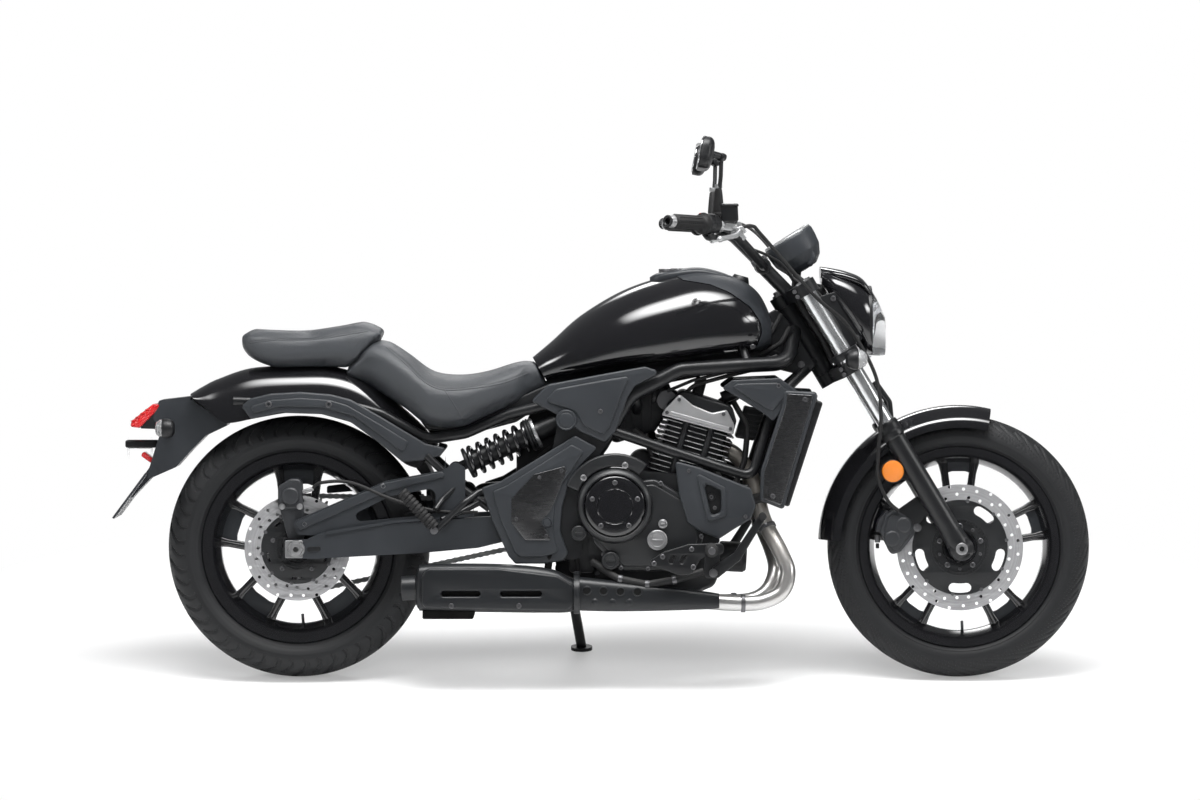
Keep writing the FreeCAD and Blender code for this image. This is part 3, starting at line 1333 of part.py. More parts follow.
# Side stand

STAND_FACE = size.pivot_plate_line + size.pivot_plate_thickness / 2
STAND_PIVOT = Vector(size.stand_pivot_forward, STAND_FACE, size.stand_pivot_height)
STAND_FOOT = Vector(size.stand_pivot_forward + size.stand_foot_ahead, size.stand_foot_line,
                    size.stand_foot_line * math.tan(LEAN))


def side_stand():
    """Leg and round foot that rests flat on the ground on the left."""
    up = Vector(0, -math.sin(LEAN), math.cos(LEAN))
    foot = rod("stand_foot", STAND_FOOT, STAND_FOOT + up * 8, "Sizes.stand_foot_dia")
    leg = tube("stand_leg", [
        STAND_PIVOT + Vector(0, 15, 0), STAND_PIVOT + Vector(5, 30, -40), STAND_FOOT + up * 6],
        "Sizes.stand_tube_dia", 20)
    eye = rod("stand_eye", STAND_PIVOT + ALONG_Y * size.fit_clearance, STAND_PIVOT + ALONG_Y * 16, "42")
    return node("side_stand", fused("side_stand", [foot, leg, eye]))


def stand_bracket():
    """Lug below the left pivot plate, where the side stand turns."""
    x = size.stand_pivot_forward
    z = size.stand_pivot_height
    return slab("stand_bracket", [
        (x - 40, 340, 10), (x + 30, 340, 10), (x + 24, z - 24, 22), (x - 24, z - 24, 22)],
        "Sizes.pivot_plate_thickness", size.pivot_plate_line)


# Leaning pose and export

def parked():
    """Lean to the left about the ground line, then the origin under the middle."""
    lean = Placement(Vector(0, 0, 0), Rotation(ALONG_X, -size.lean_angle))
    shift = Placement(Vector(-size.origin_forward, -size.origin_left, 0), Rotation())
    return shift.multiply(lean)


def build():
    frame_set = frame()
    rails = subframe(frame_set)
    case = engine_case(frame_set)
    barrels = cylinders(case, frame_set)
    covers = engine_covers(case, frame_set)
    radiator_set = radiator(frame_set)
    radiator_covers(radiator_set, frame_set)
    headers, muffler_set = exhaust(case, barrels)
    tank = fuel_tank(frame_set, [filler_neck()])
    fuel_cap()
    guard, guard_form, guard_room = rear_mudguard()
    seat = rider_seat(rails, guard_form)
    second_seat = passenger_seat(guard_form)
    shock_set = list(shock(frame_set))
    cover_set = side_covers(frame_set, case, tank, seat, rails, shock_set + [covers])
    struts = fender_struts(guard, rails, [seat, second_seat])
    tail = tail_cover(guard_room, struts)
    rear_lamps(tail)
    arms = swingarm(shock_set)
    rear_axle()
    rear_caliper(arms)
    chain()
    footrests(frame_set, [headers, muffler_set, cover_set, covers])
    legs, bar_set, clamps = fork()
    grip_set = grips(bar_set)
    controls = bar_controls(bar_set, grip_set)
    mirrors([bar_set, controls])
    lamp = headlamp(clamps)
    dial = instrument(bar_set, clamps)
    signals = front_signals(legs + [clamps])
    front_mudguard(legs[1])
    caliper = front_caliper(legs[1])
    front_axle()
    cables([controls, lamp, dial, signals, caliper, legs[1], clamps, bar_set])
    side_stand()
    front_wheel()
    rear_wheel()


def check():
    """Stop if any object failed or any sub-part is empty or invalid."""
    for made in doc.Objects:
        if {"Invalid", "Error"} & set(made.State):
            raise RuntimeError(f"{made.Name} failed: {made.State}")
    for made, _ in nodes:
        if made.Shape.isNull() or not made.Shape.isValid() or not made.Shape.Solids:
            raise RuntimeError(f"{made.Label} has no valid solid")


def write():
    os.makedirs("parts", exist_ok=True)
    for made, at in nodes:
        made.Placement = parked().multiply(at).multiply(made.Placement)
        made.Shape.exportStep(f"parts/{made.Label}.step")


build()
doc.recompute()
check()
write()
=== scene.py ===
import json
import math

import bmesh
import bpy
from bpy.props import FloatProperty, FloatVectorProperty, IntProperty, PointerProperty
from mathutils import Matrix, Vector
from mathutils.bvhtree import BVHTree


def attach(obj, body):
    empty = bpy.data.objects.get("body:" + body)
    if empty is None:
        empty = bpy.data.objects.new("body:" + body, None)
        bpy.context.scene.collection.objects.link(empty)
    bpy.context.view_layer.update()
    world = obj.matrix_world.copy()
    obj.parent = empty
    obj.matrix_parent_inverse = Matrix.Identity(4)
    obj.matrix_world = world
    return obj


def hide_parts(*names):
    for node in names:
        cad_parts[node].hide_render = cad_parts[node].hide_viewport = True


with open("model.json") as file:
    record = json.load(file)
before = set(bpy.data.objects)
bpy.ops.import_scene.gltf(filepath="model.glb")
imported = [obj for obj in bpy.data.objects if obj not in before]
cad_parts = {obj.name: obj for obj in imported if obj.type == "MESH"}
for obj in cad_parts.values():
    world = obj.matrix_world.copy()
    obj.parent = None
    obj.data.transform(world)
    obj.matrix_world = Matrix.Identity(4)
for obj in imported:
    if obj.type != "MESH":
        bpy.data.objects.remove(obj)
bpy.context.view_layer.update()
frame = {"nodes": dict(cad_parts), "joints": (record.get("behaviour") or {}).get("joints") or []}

bl_info = {
    "name": "Cruiser motorcycle",
    "version": (1, 0, 0),
    "blender": (4, 5, 0),
    "location": "View3D > Sidebar > Motorcycle",
    "description": "Makes the visible pieces and finishes of a parked cruiser motorcycle",
    "category": "Object",
}

# Pieces are drawn upright in millimetres: X forward from the rear axle, Y to the left,
# Z up from the ground. The parked machine leans on its side stand.

LEAN = math.radians(10)
RAKE = math.radians(31)
PARKED = Matrix.Translation((-0.724, -0.186, 0)) @ Matrix.Rotation(-LEAN, 4, "X") @ Matrix.Scale(0.001, 4)
UPRIGHT = PARKED.inverted()


def joint_place(name):
    """Where a joint stands in the upright machine, in millimetres."""
    joint = next(joint for joint in frame["joints"] if joint["name"] == name)
    return UPRIGHT @ Vector(joint["pos_m"])


FRONT_AXLE = joint_place("front_wheel_spin")
REAR_AXLE = joint_place("rear_wheel_spin")
STEERING_FOOT = FRONT_AXLE - Vector((59 / math.cos(RAKE), 0, 0))
ALONG_Y = Vector((0, 1, 0))
ALONG_Z = Vector((0, 0, 1))
ALONG_X = Vector((1, 0, 0))


def steered(ahead, left, up):
    """Point in the fork's own frame: ahead of, left of and up along the steering axis."""
    return STEERING_FOOT + Vector((math.cos(RAKE) * ahead - math.sin(RAKE) * up, left, math.sin(RAKE) * ahead
                                   + math.cos(RAKE) * up))


# Node trees

class Socket:
    """An output in a node tree; Python's operators add its Math nodes."""

    def __init__(self, graph, link):
        self.graph = graph
        self.link = link

    def maths(self, operation, *values):
        return self.graph.node("ShaderNodeMath", {"operation": operation}, dict(enumerate((self, *values))))

    def __add__(self, other):
        return self.maths("ADD", other)

    def __radd__(self, other):
        return self.maths("ADD", other)

    def __sub__(self, other):
        return self.maths("SUBTRACT", other)

    def __rsub__(self, other):
        return self.graph.node("ShaderNodeMath", {"operation": "SUBTRACT"}, {0: other, 1: self})

    def __mul__(self, other):
        return self.maths("MULTIPLY", other)

    def __rmul__(self, other):
        return self.maths("MULTIPLY", other)

    def __truediv__(self, other):
        return self.maths("DIVIDE", other)

    def __pow__(self, other):
        return self.maths("POWER", other)

    def above(self, edge):
        return self.maths("GREATER_THAN", edge)

    def within(self):
        return self.graph.node("ShaderNodeClamp", {}, {0: self})


class Graph:
    """A node tree that is filled one node at a time."""

    def __init__(self, tree):
        self.tree = tree

    def node(self, kind, settings=None, inputs=None, output=0):
        made = self.tree.nodes.new(kind)
        for key, value in (settings or {}).items():
            if key == "stops":
                for stop, (place, colour) in zip(made.color_ramp.elements, value):
                    stop.position = place
                    stop.color = colour
            else:
                setattr(made, key, value)
        for key, value in (inputs or {}).items():
            if isinstance(value, Socket):
                self.tree.links.new(value.link, made.inputs[key])
            else:
                made.inputs[key].default_value = value
        return Socket(self, made.outputs[output]) if made.outputs else made

    def mixed(self, factor, first, second):
        """Colour between two colours."""
        return self.node("ShaderNodeMix", {"data_type": "RGBA"}, {0: factor, 6: first, 7: second}, 2)


class Finish(Graph):
    """A surface: a Principled shader whose varying inputs come from Object coordinates."""

    def __init__(self, name, **constants):
        self.material = bpy.data.materials.new(name)
        self.material.use_nodes = True
        super().__init__(self.material.node_tree)
        self.shader = self.tree.nodes["Principled BSDF"]
        for key, value in constants.items():
            self.shader.inputs[key.replace("_", " ")].default_value = value
        self.spot = self.node("ShaderNodeTexCoord", {}, {}, "Object")
        self.height = None

    def feed(self, **sockets):
        for key, value in sockets.items():
            self.tree.links.new(value.link, self.shader.inputs[key.replace("_", " ")])

    def noise(self, scale, detail=3.0, at=None, roughness=0.5):
        return self.node("ShaderNodeTexNoise", {}, {"Vector": at or self.spot, "Scale": scale,
            "Detail": detail, "Roughness": roughness})

    def cells(self, scale, feature="F1", at=None):
        return self.node("ShaderNodeTexVoronoi", {"feature": feature},
                         {"Vector": at or self.spot, "Scale": scale})

    def raised(self, height, depth, strength=1.0):
        """Lay one more relief over those before it; depth is in metres."""
        inputs = {"Height": height, "Distance": depth, "Strength": strength}
        if self.height:
            inputs["Normal"] = self.height
        self.height = self.node("ShaderNodeBump", {}, inputs)
        self.feed(Normal=self.height)

    def stretched(self, turn, scale):
        """Object coordinates squeezed along some directions, for brushed metal."""
        return self.node("ShaderNodeMapping", {"vector_type": "POINT"},
                         {"Vector": self.spot, "Rotation": turn, "Scale": scale})

    def about(self, centre):
        """Distance from a wheel's axle, in metres."""
        local = self.node("ShaderNodeMapping", {"vector_type": "TEXTURE"},
                          {"Vector": self.spot, "Location": PARKED @ centre, "Rotation": (-LEAN, 0, 0)})
        parts = self.node("ShaderNodeSeparateXYZ", {}, {0: local})
        up = Socket(self, parts.link.node.outputs[2])
        return (parts * parts + up * up) ** 0.5


def dusty_upward(finish, amount):
    """Share of settled dust: more on faces that look up."""
    facing = finish.node("ShaderNodeNewGeometry", {}, {}, "Normal")
    parts = finish.node("ShaderNodeSeparateXYZ", {}, {0: facing}, 2)
    return (parts * finish.noise(14, 5) * amount).within()


def paint(name, colour, rough, peel=0.000012):
    """Clear-coated paint with fine orange peel, faint swirls and a little dust."""
    made = Finish(name, Coat_Weight=0.8, Coat_Roughness=0.13, Specular_IOR_Level=0.4)
    swirl = made.noise(60, 4)
    dust = dusty_upward(made, 0.04)
    made.feed(Base_Color=made.mixed(dust, (*colour, 1), (0.10, 0.10, 0.10, 1)), Roughness=swirl * 0.08
              + dust * 0.2 + (rough - 0.05))
    made.raised(made.noise(620, 2), peel)
    return made


def moulded(name, colour, rough, grain=900, depth=0.00008, spread=0.35):
    """Moulded plastic or powder coat with grain, rubbed and dusty places."""
    made = Finish(name, Specular_IOR_Level=0.36)
    rubbed = made.noise(9, 6)
    speck = made.noise(2600, 2)
    dust = dusty_upward(made, 0.05)
    lighter = tuple(part * (1 + spread) for part in colour) + (1,)
    tone = made.mixed((rubbed * 1.6 - 0.3 + speck * 0.25).within(), (*colour, 1), lighter)
    made.feed(Base_Color=made.mixed(dust, tone, (0.10, 0.10, 0.10, 1)), Roughness=rough - 0.09
              + rubbed * 0.16 + speck * 0.05)
    made.raised(made.noise(grain, 4, roughness=0.65), depth)
    made.raised(made.noise(36, 3), 0.00012)
    return made


def cast(name, colour, rough, metal=0.0):
    """Cast alloy under thin paint, with a coarse skin."""
    made = Finish(name, Metallic=metal, Specular_IOR_Level=0.5)
    skin = made.noise(420, 6, roughness=0.7)
    patch = made.noise(22, 5)
    tone = made.mixed((patch * 1.5 - 0.25).within(), (*colour, 1), (*[c * 1.5 for c in colour], 1))
    made.feed(Base_Color=tone, Roughness=rough - 0.1 + patch * 0.2)
    made.raised(skin, 0.00028)
    made.raised(made.cells(260), 0.00008)
    return made


def bright_metal(name, colour, rough, brushed=None, metal=0.75):
    """Bare metal with fine brushing, faint stains and fingerprints."""
    made = Finish(name, Metallic=metal)
    stain = made.noise(18, 6)
    tone = made.mixed((stain * 2.2 - 0.9).within(), (*colour, 1), (*[c * 0.72 for c in colour], 1))
    lines = made.noise(1.0, 3, made.stretched((0, 0, 0), brushed)) if brushed else made.noise(1500, 2)
    made.feed(Base_Color=tone, Roughness=stain * 0.12 + lines * 0.10 + (rough - 0.1))
    made.raised(lines, 0.00003)
    return made


def turned_metal(name, centre, colour, rough):
    """Brake disc steel: rings left by the pads round one axle."""
    made = Finish(name, Metallic=0.6)
    radius = made.about(centre)
    rings = made.node("ShaderNodeTexNoise", {"noise_dimensions": "1D"},
                      {"W": radius, "Scale": 2400.0, "Detail": 3.0})
    wide = made.node("ShaderNodeTexNoise", {"noise_dimensions": "1D"},
                     {"W": radius, "Scale": 260.0, "Detail": 2.0})
    stain = made.noise(20, 5)
    shade = made.mixed((wide * 1.8 - 0.4).within(), (*colour, 1), (*[c * 0.78 for c in colour], 1))
    made.feed(Base_Color=shade, Roughness=rings * 0.16 + stain * 0.12 + (rough - 0.14))
    made.raised(rings, 0.00004)
    return made


def rubber(name, colour, rough, dusting=0.3):
    made = Finish(name, Specular_IOR_Level=0.3)
    patch = made.noise(12, 6)
    fine = made.noise(1400, 3)
    tone = made.mixed((patch * 1.4 - 0.3).within(), (*colour, 1), (*[c * 1.5 for c in colour], 1))
    dust = dusty_upward(made, dusting)
    made.feed(Base_Color=made.mixed(dust, tone, (0.09, 0.088, 0.084, 1)), Roughness=patch * 0.16
              + fine * 0.06 + (rough - 0.1))
    made.raised(fine, 0.00007)
    made.raised(made.noise(140, 3), 0.00012)
    return made


def leather(name, colour):
    """Seat vinyl: pebbled grain with fine creases and polished patches."""
    made = Finish(name, Specular_IOR_Level=0.5)
    pebble = made.cells(520, "DISTANCE_TO_EDGE")
    small = made.cells(1150, "DISTANCE_TO_EDGE")
    polish = made.noise(8, 5)
    tone = made.mixed((polish * 1.5 - 0.25).within(), (*colour, 1), (*[c * 1.5 for c in colour], 1))
    dust = dusty_upward(made, 0.10)
    made.feed(Base_Color=made.mixed(dust, tone, (0.13, 0.13, 0.13, 1)),
              Roughness=0.52 - polish * 0.16 - pebble * 0.10)
    made.raised((pebble * 3.0).within() ** 0.5, 0.00022)
    made.raised((small * 3.0).within() ** 0.5, 0.00010)
    made.raised(made.noise(45, 4), 0.0006)
    return made


def lens(name, colour, clear, cells=0.0, rough=0.06, bend=1.49):
    """Lamp lens, with moulded prisms where cells is set."""
    made = Finish(name, Transmission_Weight=clear, IOR=bend, Coat_Weight=0.3)
    haze = made.noise(30, 4)
    made.feed(Base_Color=made.mixed((haze * 1.4 - 0.3).within(), (*colour, 1),
                                    (*[c * 0.86 for c in colour], 1)), Roughness=haze * 0.05 + rough)
    if cells:
        made.raised((made.cells(cells, "DISTANCE_TO_EDGE") * 4.0).within(), 0.0006)
    else:
        made.raised(haze, 0.00002)
    return made


def burnt_steel(name):
    """Stainless header pipe, straw and blue where it runs hot."""
    made = Finish(name, Metallic=0.85)
    height = made.node("ShaderNodeSeparateXYZ", {}, {0: made.spot}, 2)
    stain = made.noise(16, 6)
    heat = (height * 3.0 + stain * 0.5 - 0.70).within()
    warm = made.mixed(heat, (0.52, 0.52, 0.52, 1), (0.42, 0.39, 0.35, 1))
    fine = made.noise(1700, 2)
    made.feed(Base_Color=warm, Roughness=stain * 0.10 + fine * 0.06 + 0.24)
    made.raised(fine, 0.00002)
    return made


FINISHES = {}


def make_finishes(colours):
    grey = tuple(colours.cover_grey)
    black = tuple(colours.paint_black)
    FINISHES.update({
        "paint": paint("gloss_black_paint", black, 0.10),
        "wheel_paint": paint("gloss_black_wheel", (0.006, 0.006, 0.007), 0.14),
        "cover": moulded("dark_grey_cover", grey, 0.42),
        "frame": moulded("satin_black_frame", (0.0055, 0.0058, 0.0065), 0.34, 700, 0.00005),
        "plastic": moulded("black_plastic", (0.0045, 0.0048, 0.0055), 0.42, 500, 0.00014),
        "engine": cast("black_engine_casting", (0.0065, 0.007, 0.0078), 0.40),
        "gloss_cover": paint("gloss_engine_cover", (0.004, 0.004, 0.005), 0.14),
        "fin": cast("machined_fin", (0.42, 0.425, 0.43), 0.34, 1.0),
        "silver": bright_metal("satin_silver_cover", (0.44, 0.44, 0.445), 0.34, (60, 900, 900)),
        "brushed": bright_metal("brushed_cap", (0.30, 0.30, 0.305), 0.36, (900, 60, 900)),
        "rubber": rubber("moulded_rubber", (0.0075, 0.0075, 0.008), 0.62),
        "tyre": rubber("tyre_tread", (0.0072, 0.0076, 0.0084), 0.58, 0.05),
        "chrome": bright_metal("hard_chrome", (0.70, 0.71, 0.72), 0.20, metal=0.9),
        "steel": bright_metal("zinc_plated_steel", (0.44, 0.445, 0.45), 0.34),
        "bolt": bright_metal("dark_bolt_head", (0.12, 0.12, 0.125), 0.38),
        "alloy": bright_metal("brushed_alloy_plate", (0.13, 0.13, 0.133), 0.26, (40, 1600, 1600), 1.0),
        "front_steel": turned_metal("front_disc_steel", FRONT_AXLE, (0.42, 0.42, 0.43), 0.40),
        "rear_steel": turned_metal("rear_disc_steel", REAR_AXLE, (0.42, 0.42, 0.43), 0.40),
        "header": burnt_steel("header_steel"),
        "muffler": moulded("muffler_black", (0.007, 0.0078, 0.009), 0.38, 1200, 0.00004),
        # painted shade: a near-black, dull finish, darker than any real finish here, that stands for the
        # shade in slots, bores and holes
        "painted_shade": rubber("unlit_hollow", (0.0012, 0.0012, 0.0012), 0.9, 0.0),
        "caliper": cast("caliper_grey", (0.013, 0.014, 0.016), 0.46),
        "spring": paint("spring_black", (0.005, 0.005, 0.006), 0.22),
        "leather": leather("seat_vinyl", tuple(colours.seat_grey)),
        "thread": rubber("seat_thread", (0.05, 0.052, 0.056), 0.7),
        "glass": lens("clear_lens", (0.97, 0.98, 0.99), 0.94, 0, 0.02, 1.12),
        "ribbed": lens("ribbed_clear_lens", (0.92, 0.93, 0.94), 0.75, 260),
        "red": lens("red_lens", (0.66, 0.010, 0.012), 0.2, 320),
        "amber": lens("amber_reflector", (0.86, 0.24, 0.01), 0.15, 420, 0.2),
        "mirror": bright_metal("mirror_glass", (0.82, 0.83, 0.84), 0.12, metal=1.0),
        "bowl": bright_metal("lamp_bowl", (0.55, 0.56, 0.58), 0.30),
        "red_switch": moulded("red_switch", (0.50, 0.01, 0.015), 0.4),
        "dial": moulded("dial_face", (0.02, 0.022, 0.025), 0.35),
    })


# Helpers for meshes and places

def towards(direction):
    """Turn that points a form's Z along a direction."""
    return ALONG_Z.rotation_difference(direction).to_matrix().to_4x4()


def on_circle(centre, radius, degrees, across=0.0):
    """Point on a circle that faces across the machine, moved along its axle."""
    angle = math.radians(degrees)
    return centre + Vector((radius * math.cos(angle), across, radius * math.sin(angle)))


def moved(form, matrix):
    bmesh.ops.transform(form, matrix=matrix, verts=form.verts)
    return form


def absorb(form, part):
    """Copy a part into a form, and free the part."""
    mesh = bpy.data.meshes.new("part")
    part.to_mesh(mesh)
    part.free()
    form.from_mesh(mesh)
    bpy.data.meshes.remove(mesh)


def placed(name, data):
    """New object in the scene for a mesh, curve, lamp or camera."""
    made = bpy.data.objects.new(name, data)
    bpy.context.scene.collection.objects.link(made)
    return made


def drawn(holder):
    """Plain mesh of an object with its modifiers applied."""
    return bpy.data.meshes.new_from_object(holder.evaluated_get(bpy.context.evaluated_depsgraph_get()))


# Outlines and forms, in upright millimetres

def rounded(corners, step=9.0):
    """Closed polygon from (x, y, corner radius) corners, with its arcs as short runs."""
    made = []
    count = len(corners)
    for index, corner in enumerate(corners):
        here = Vector(corner[:2])
        radius = corner[2] if len(corner) > 2 else 0
        into = (here - Vector(corners[index - 1][:2])).normalized()
        out = (Vector(corners[(index + 1) % count][:2]) - here).normalized()
        turn = math.acos(max(-1, min(1, into.dot(out))))
        if not radius or turn < 0.01:
            made.append(tuple(here))
            continue
        reach = radius * math.tan(turn / 2)
        start = here - into * reach
        left = Vector((-into.y, into.x)) * math.copysign(1, into.x * out.y - into.y * out.x)
        centre = start + left * radius
        pieces = max(2, round(math.degrees(turn) / step))
        for piece in range(pieces + 1):
            angle = turn * piece / pieces
            made.append(tuple(centre - left * radius * math.cos(angle) + into * radius * math.sin(angle)))
    return made


def round_hole(x, y, radius, pieces=24):
    return [(x + radius * math.cos(2 * math.pi * step / pieces), y
             + radius * math.sin(2 * math.pi * step / pieces)) for step in range(pieces)]


def arc_slot(radius, half_width, middle, spread, pieces=10):
    """Oblong window that follows a circle; the angles are in degrees."""
    def at(distance, angle):
        return (distance * math.cos(math.radians(angle)), distance * math.sin(math.radians(angle)))
    end = math.degrees(half_width / radius)
    angles = [middle - spread + 2 * spread * step / pieces for step in range(pieces + 1)]
    made = [at(radius + half_width, angle) for angle in angles]
    for turn in range(1, 6):
        swing = math.pi * turn / 6
        made.append(at(radius + half_width * math.cos(swing), middle + spread + end * math.sin(swing)))
    made += [at(radius - half_width, angle) for angle in reversed(angles)]
    for turn in range(1, 6):
        swing = math.pi * turn / 6
        made.append(at(radius - half_width * math.cos(swing), middle - spread - end * math.sin(swing)))
    return made


SIDE = Matrix(((1, 0, 0, 0), (0, 0, 1, 0), (0, 1, 0, 0), (0, 0, 0, 1)))
AHEAD = Matrix(((0, 0, 1, 0), (1, 0, 0, 0), (0, 1, 0, 0), (0, 0, 0, 1)))
TOP = Matrix()


def plate(outline, near, far, bevel=1.0, holes=(), facing=SIDE):
    """Flat piece with bevelled edges between two offsets, with its holes open."""
    line = bpy.data.curves.new("outline", "CURVE")
    line.dimensions = "2D"
    line.fill_mode = "BOTH"
    for loop in (outline, *holes):
        spline = line.splines.new("POLY")
        spline.points.add(len(loop) - 1)
        for point, (x, y) in zip(spline.points, loop):
            point.co = (x, y, 0, 1)
        spline.use_cyclic_u = True
    half = abs(far - near) / 2
    line.bevel_depth = min(bevel, half * 0.9)
    line.extrude = half - line.bevel_depth
    line.offset = -line.bevel_depth
    line.bevel_resolution = 2
    holder = placed("outline", line)
    mesh = bpy.data.meshes.new_from_object(holder)
    made = bmesh.new()
    made.from_mesh(mesh)
    bpy.data.objects.remove(holder)
    bpy.data.curves.remove(line)
    bpy.data.meshes.remove(mesh)
    return moved(made, facing @ Matrix.Translation((0, 0, (near + far) / 2)))


def spun(profile, start, along=ALONG_Y, segments=64, sweep=360.0, begin=0.0):
    """Profile of (radius, distance) points turned about a line from a start point."""
    place = Matrix.Translation(start) @ towards(Vector(along))
    made = bmesh.new()
    whole = sweep >= 360
    steps = segments if whole else segments + 1
    rings = []
    for step in range(steps):
        angle = math.radians(begin + sweep * step / segments)
        rings.append([made.verts.new(place @ Vector((radius * math.cos(angle), radius * math.sin(angle),
            distance))) for radius, distance in profile])
    for step in range(segments):
        first = rings[step]
        second = rings[(step + 1) % steps]
        for index in range(len(profile) - 1):
            made.faces.new((first[index], second[index], second[index + 1], first[index + 1]))
    bmesh.ops.remove_doubles(made, verts=made.verts, dist=1e-3)
    return made


def eased(profile, radius=1.0):
    """A turned piece's (radius, distance) profile with its inner corners rounded."""
    ends = [profile[0], *[(*point, radius) for point in profile[1:-1]], profile[-1]]
    made = [profile[0]]
    for before, here, after in zip(ends, ends[1:], ends[2:]):
        into = (Vector(here[:2]) - Vector(before[:2]))
        out = (Vector(after[:2]) - Vector(here[:2]))
        reach = min(radius, into.length * 0.45, out.length * 0.45)
        a = Vector(here[:2]) - into.normalized() * reach
        b = Vector(here[:2]) + out.normalized() * reach
        middle = (a + b) / 2 * 0.5 + Vector(here[:2]) * 0.5
        made += [tuple(a), tuple(middle), tuple(b)]
    return made + [profile[-1]]


def ribbed(begin, pitch, count, low, high, offsets):
    """Profile points of ribs in a row, between a low and a high radius."""
    return [(radius, begin + pitch * step + offset) for step in range(count) for radius,
            offset in zip((low, high, high, low), offsets)]


def rod(start, end, radius, ease=1.0, segments=32):
    """Round bar with eased ends."""
    along = Vector(end) - Vector(start)
    return spun(eased([(0, 0), (radius, 0), (radius, along.length), (0, along.length)], ease), start, along,
                segments)


def bent_path(points, bend):
    """Runs with round corners, as points close enough for a smooth tube."""
    made = [Vector(points[0])]
    for before, here, after in zip(points, points[1:], points[2:]):
        before, here, after = Vector(before), Vector(here), Vector(after)
        into = (here - before).normalized()
        out = (after - here).normalized()
        turn = into.angle(out)
        if turn < 0.02:
            made.append(here)
            continue
        reach = min(bend * math.tan(turn / 2), (here - before).length * 0.49, (after - here).length * 0.49)
        radius = reach / math.tan(turn / 2)
        inward = (out - into).normalized()
        centre = here + inward * radius / math.cos(turn / 2)
        start = here - into * reach - centre
        axis = into.cross(out).normalized()
        pieces = max(3, round(math.degrees(turn) / 6))
        for piece in range(pieces + 1):
            made.append(centre + Matrix.Rotation(turn * piece / pieces, 3, axis) @ start)
    return made + [Vector(points[-1])]


def tube(points, radius, bend=30, segments=20, bore=0.0):
    """Round tube through points, open into a bore or closed at its ends."""
    path = bent_path(points, bend)
    made = bmesh.new()
    along = (path[1] - path[0]).normalized()
    side = along.orthogonal().normalized()
    rings = []
    for index, spot in enumerate(path):
        ahead = path[min(index + 1, len(path) - 1)] - path[max(index - 1, 0)]
        ahead.normalize()
        turn = along.rotation_difference(ahead)
        side = (turn @ side).normalized()
        along = ahead
        other = along.cross(side)
        rings.append([made.verts.new(spot + (side * math.cos(angle) + other * math.sin(angle)) * radius)
                      for angle in (2 * math.pi * step / segments for step in range(segments))])
    skin_rings(made, rings)
    if not bore:
        made.faces.new(reversed(rings[0]))
        made.faces.new(rings[-1])
        return made
    for ring, spot in ((rings[0], path[0]), (rings[-1], path[-1])):
        inner = [made.verts.new(spot + (vert.co - spot) * bore / radius) for vert in ring]
        deep = path[0] - path[1] if spot == path[0] else path[-1] - path[-2]
        floor = [made.verts.new(vert.co - deep.normalized() * radius) for vert in inner]
        skin_rings(made, [ring, inner])
        skin_rings(made, [inner, floor])
        made.faces.new(floor)
    return made


def pillow(outline, layers, place):
    """One outline at several (offset, share) layers, as a soft-edged shell closed at both ends."""
    middle = sum((Vector(spot) for spot in outline), Vector((0, 0))) / len(outline)
    made = bmesh.new()
    rows = []
    for offset, share in layers:
        spots = [middle + (Vector(spot) - middle) * share for spot in outline]
        rows.append([made.verts.new(place @ Vector((spot.x, spot.y, offset))) for spot in spots])
    skin_rings(made, rows)
    made.faces.new(reversed(rows[0]))
    made.faces.new(rows[-1])
    return made


def skin_rings(made, rings):
    count = len(rings[0])
    for first, second in zip(rings, rings[1:]):
        for index in range(count):
            following = (index + 1) % count
            made.faces.new((first[index], first[following], second[following], second[index]))


def section(station, low, top, half_width, waist, upper, lower, count=48):
    """Smooth section across the machine, widest at the waist's share of its height."""
    middle = low + (top - low) * waist
    ring = []
    for step in range(count):
        angle = 2 * math.pi * (step + 0.5) / count
        rise = math.sin(angle)
        power = upper if rise > 0 else lower
        height = (top - middle) if rise > 0 else (middle - low)
        across = math.copysign(abs(math.cos(angle)) ** (2 / power), math.cos(angle))
        up = math.copysign(abs(rise) ** (2 / power), rise)
        ring.append(Vector((station, half_width * across, middle + height * up)))
    return ring


def through(rows, pieces=6):
    """Rows of numbers with smooth rows between them."""
    made = []
    for index in range(len(rows) - 1):
        before = rows[max(index - 1, 0)]
        first, second = rows[index], rows[index + 1]
        after = rows[min(index + 2, len(rows) - 1)]
        for piece in range(pieces):
            t = piece / pieces
            made.append(tuple(0.5 * (2 * b + (c - a) * t + (2 * a - 5 * b + 4 * c - d) * t * t
                                     + (3 * b - a - 3 * c + d) * t ** 3) for a, b, c,
                              d in zip(before, first, second, after)))
    return made + [tuple(rows[-1])]


def lofted(rings):
    """Closed skin over rings of equal count, domed a little at both ends."""
    made = bmesh.new()
    rows = []
    first = sum(rings[0], Vector()) / len(rings[0])
    last = sum(rings[-1], Vector()) / len(rings[-1])
    full = ([[first.lerp(point, share) for point in rings[0]] for share in (0.25, 0.6)] + rings
            + [[last.lerp(point, share) for point in rings[-1]] for share in (0.6, 0.25)])
    for ring in full:
        rows.append([made.verts.new(point) for point in ring])
    skin_rings(made, rows)
    made.faces.new(reversed(rows[0]))
    made.faces.new(rows[-1])
    return made


def skin(stations, upper, lower, pieces=6, count=48):
    return lofted([section(*row, upper, lower, count) for row in through(stations, pieces)])


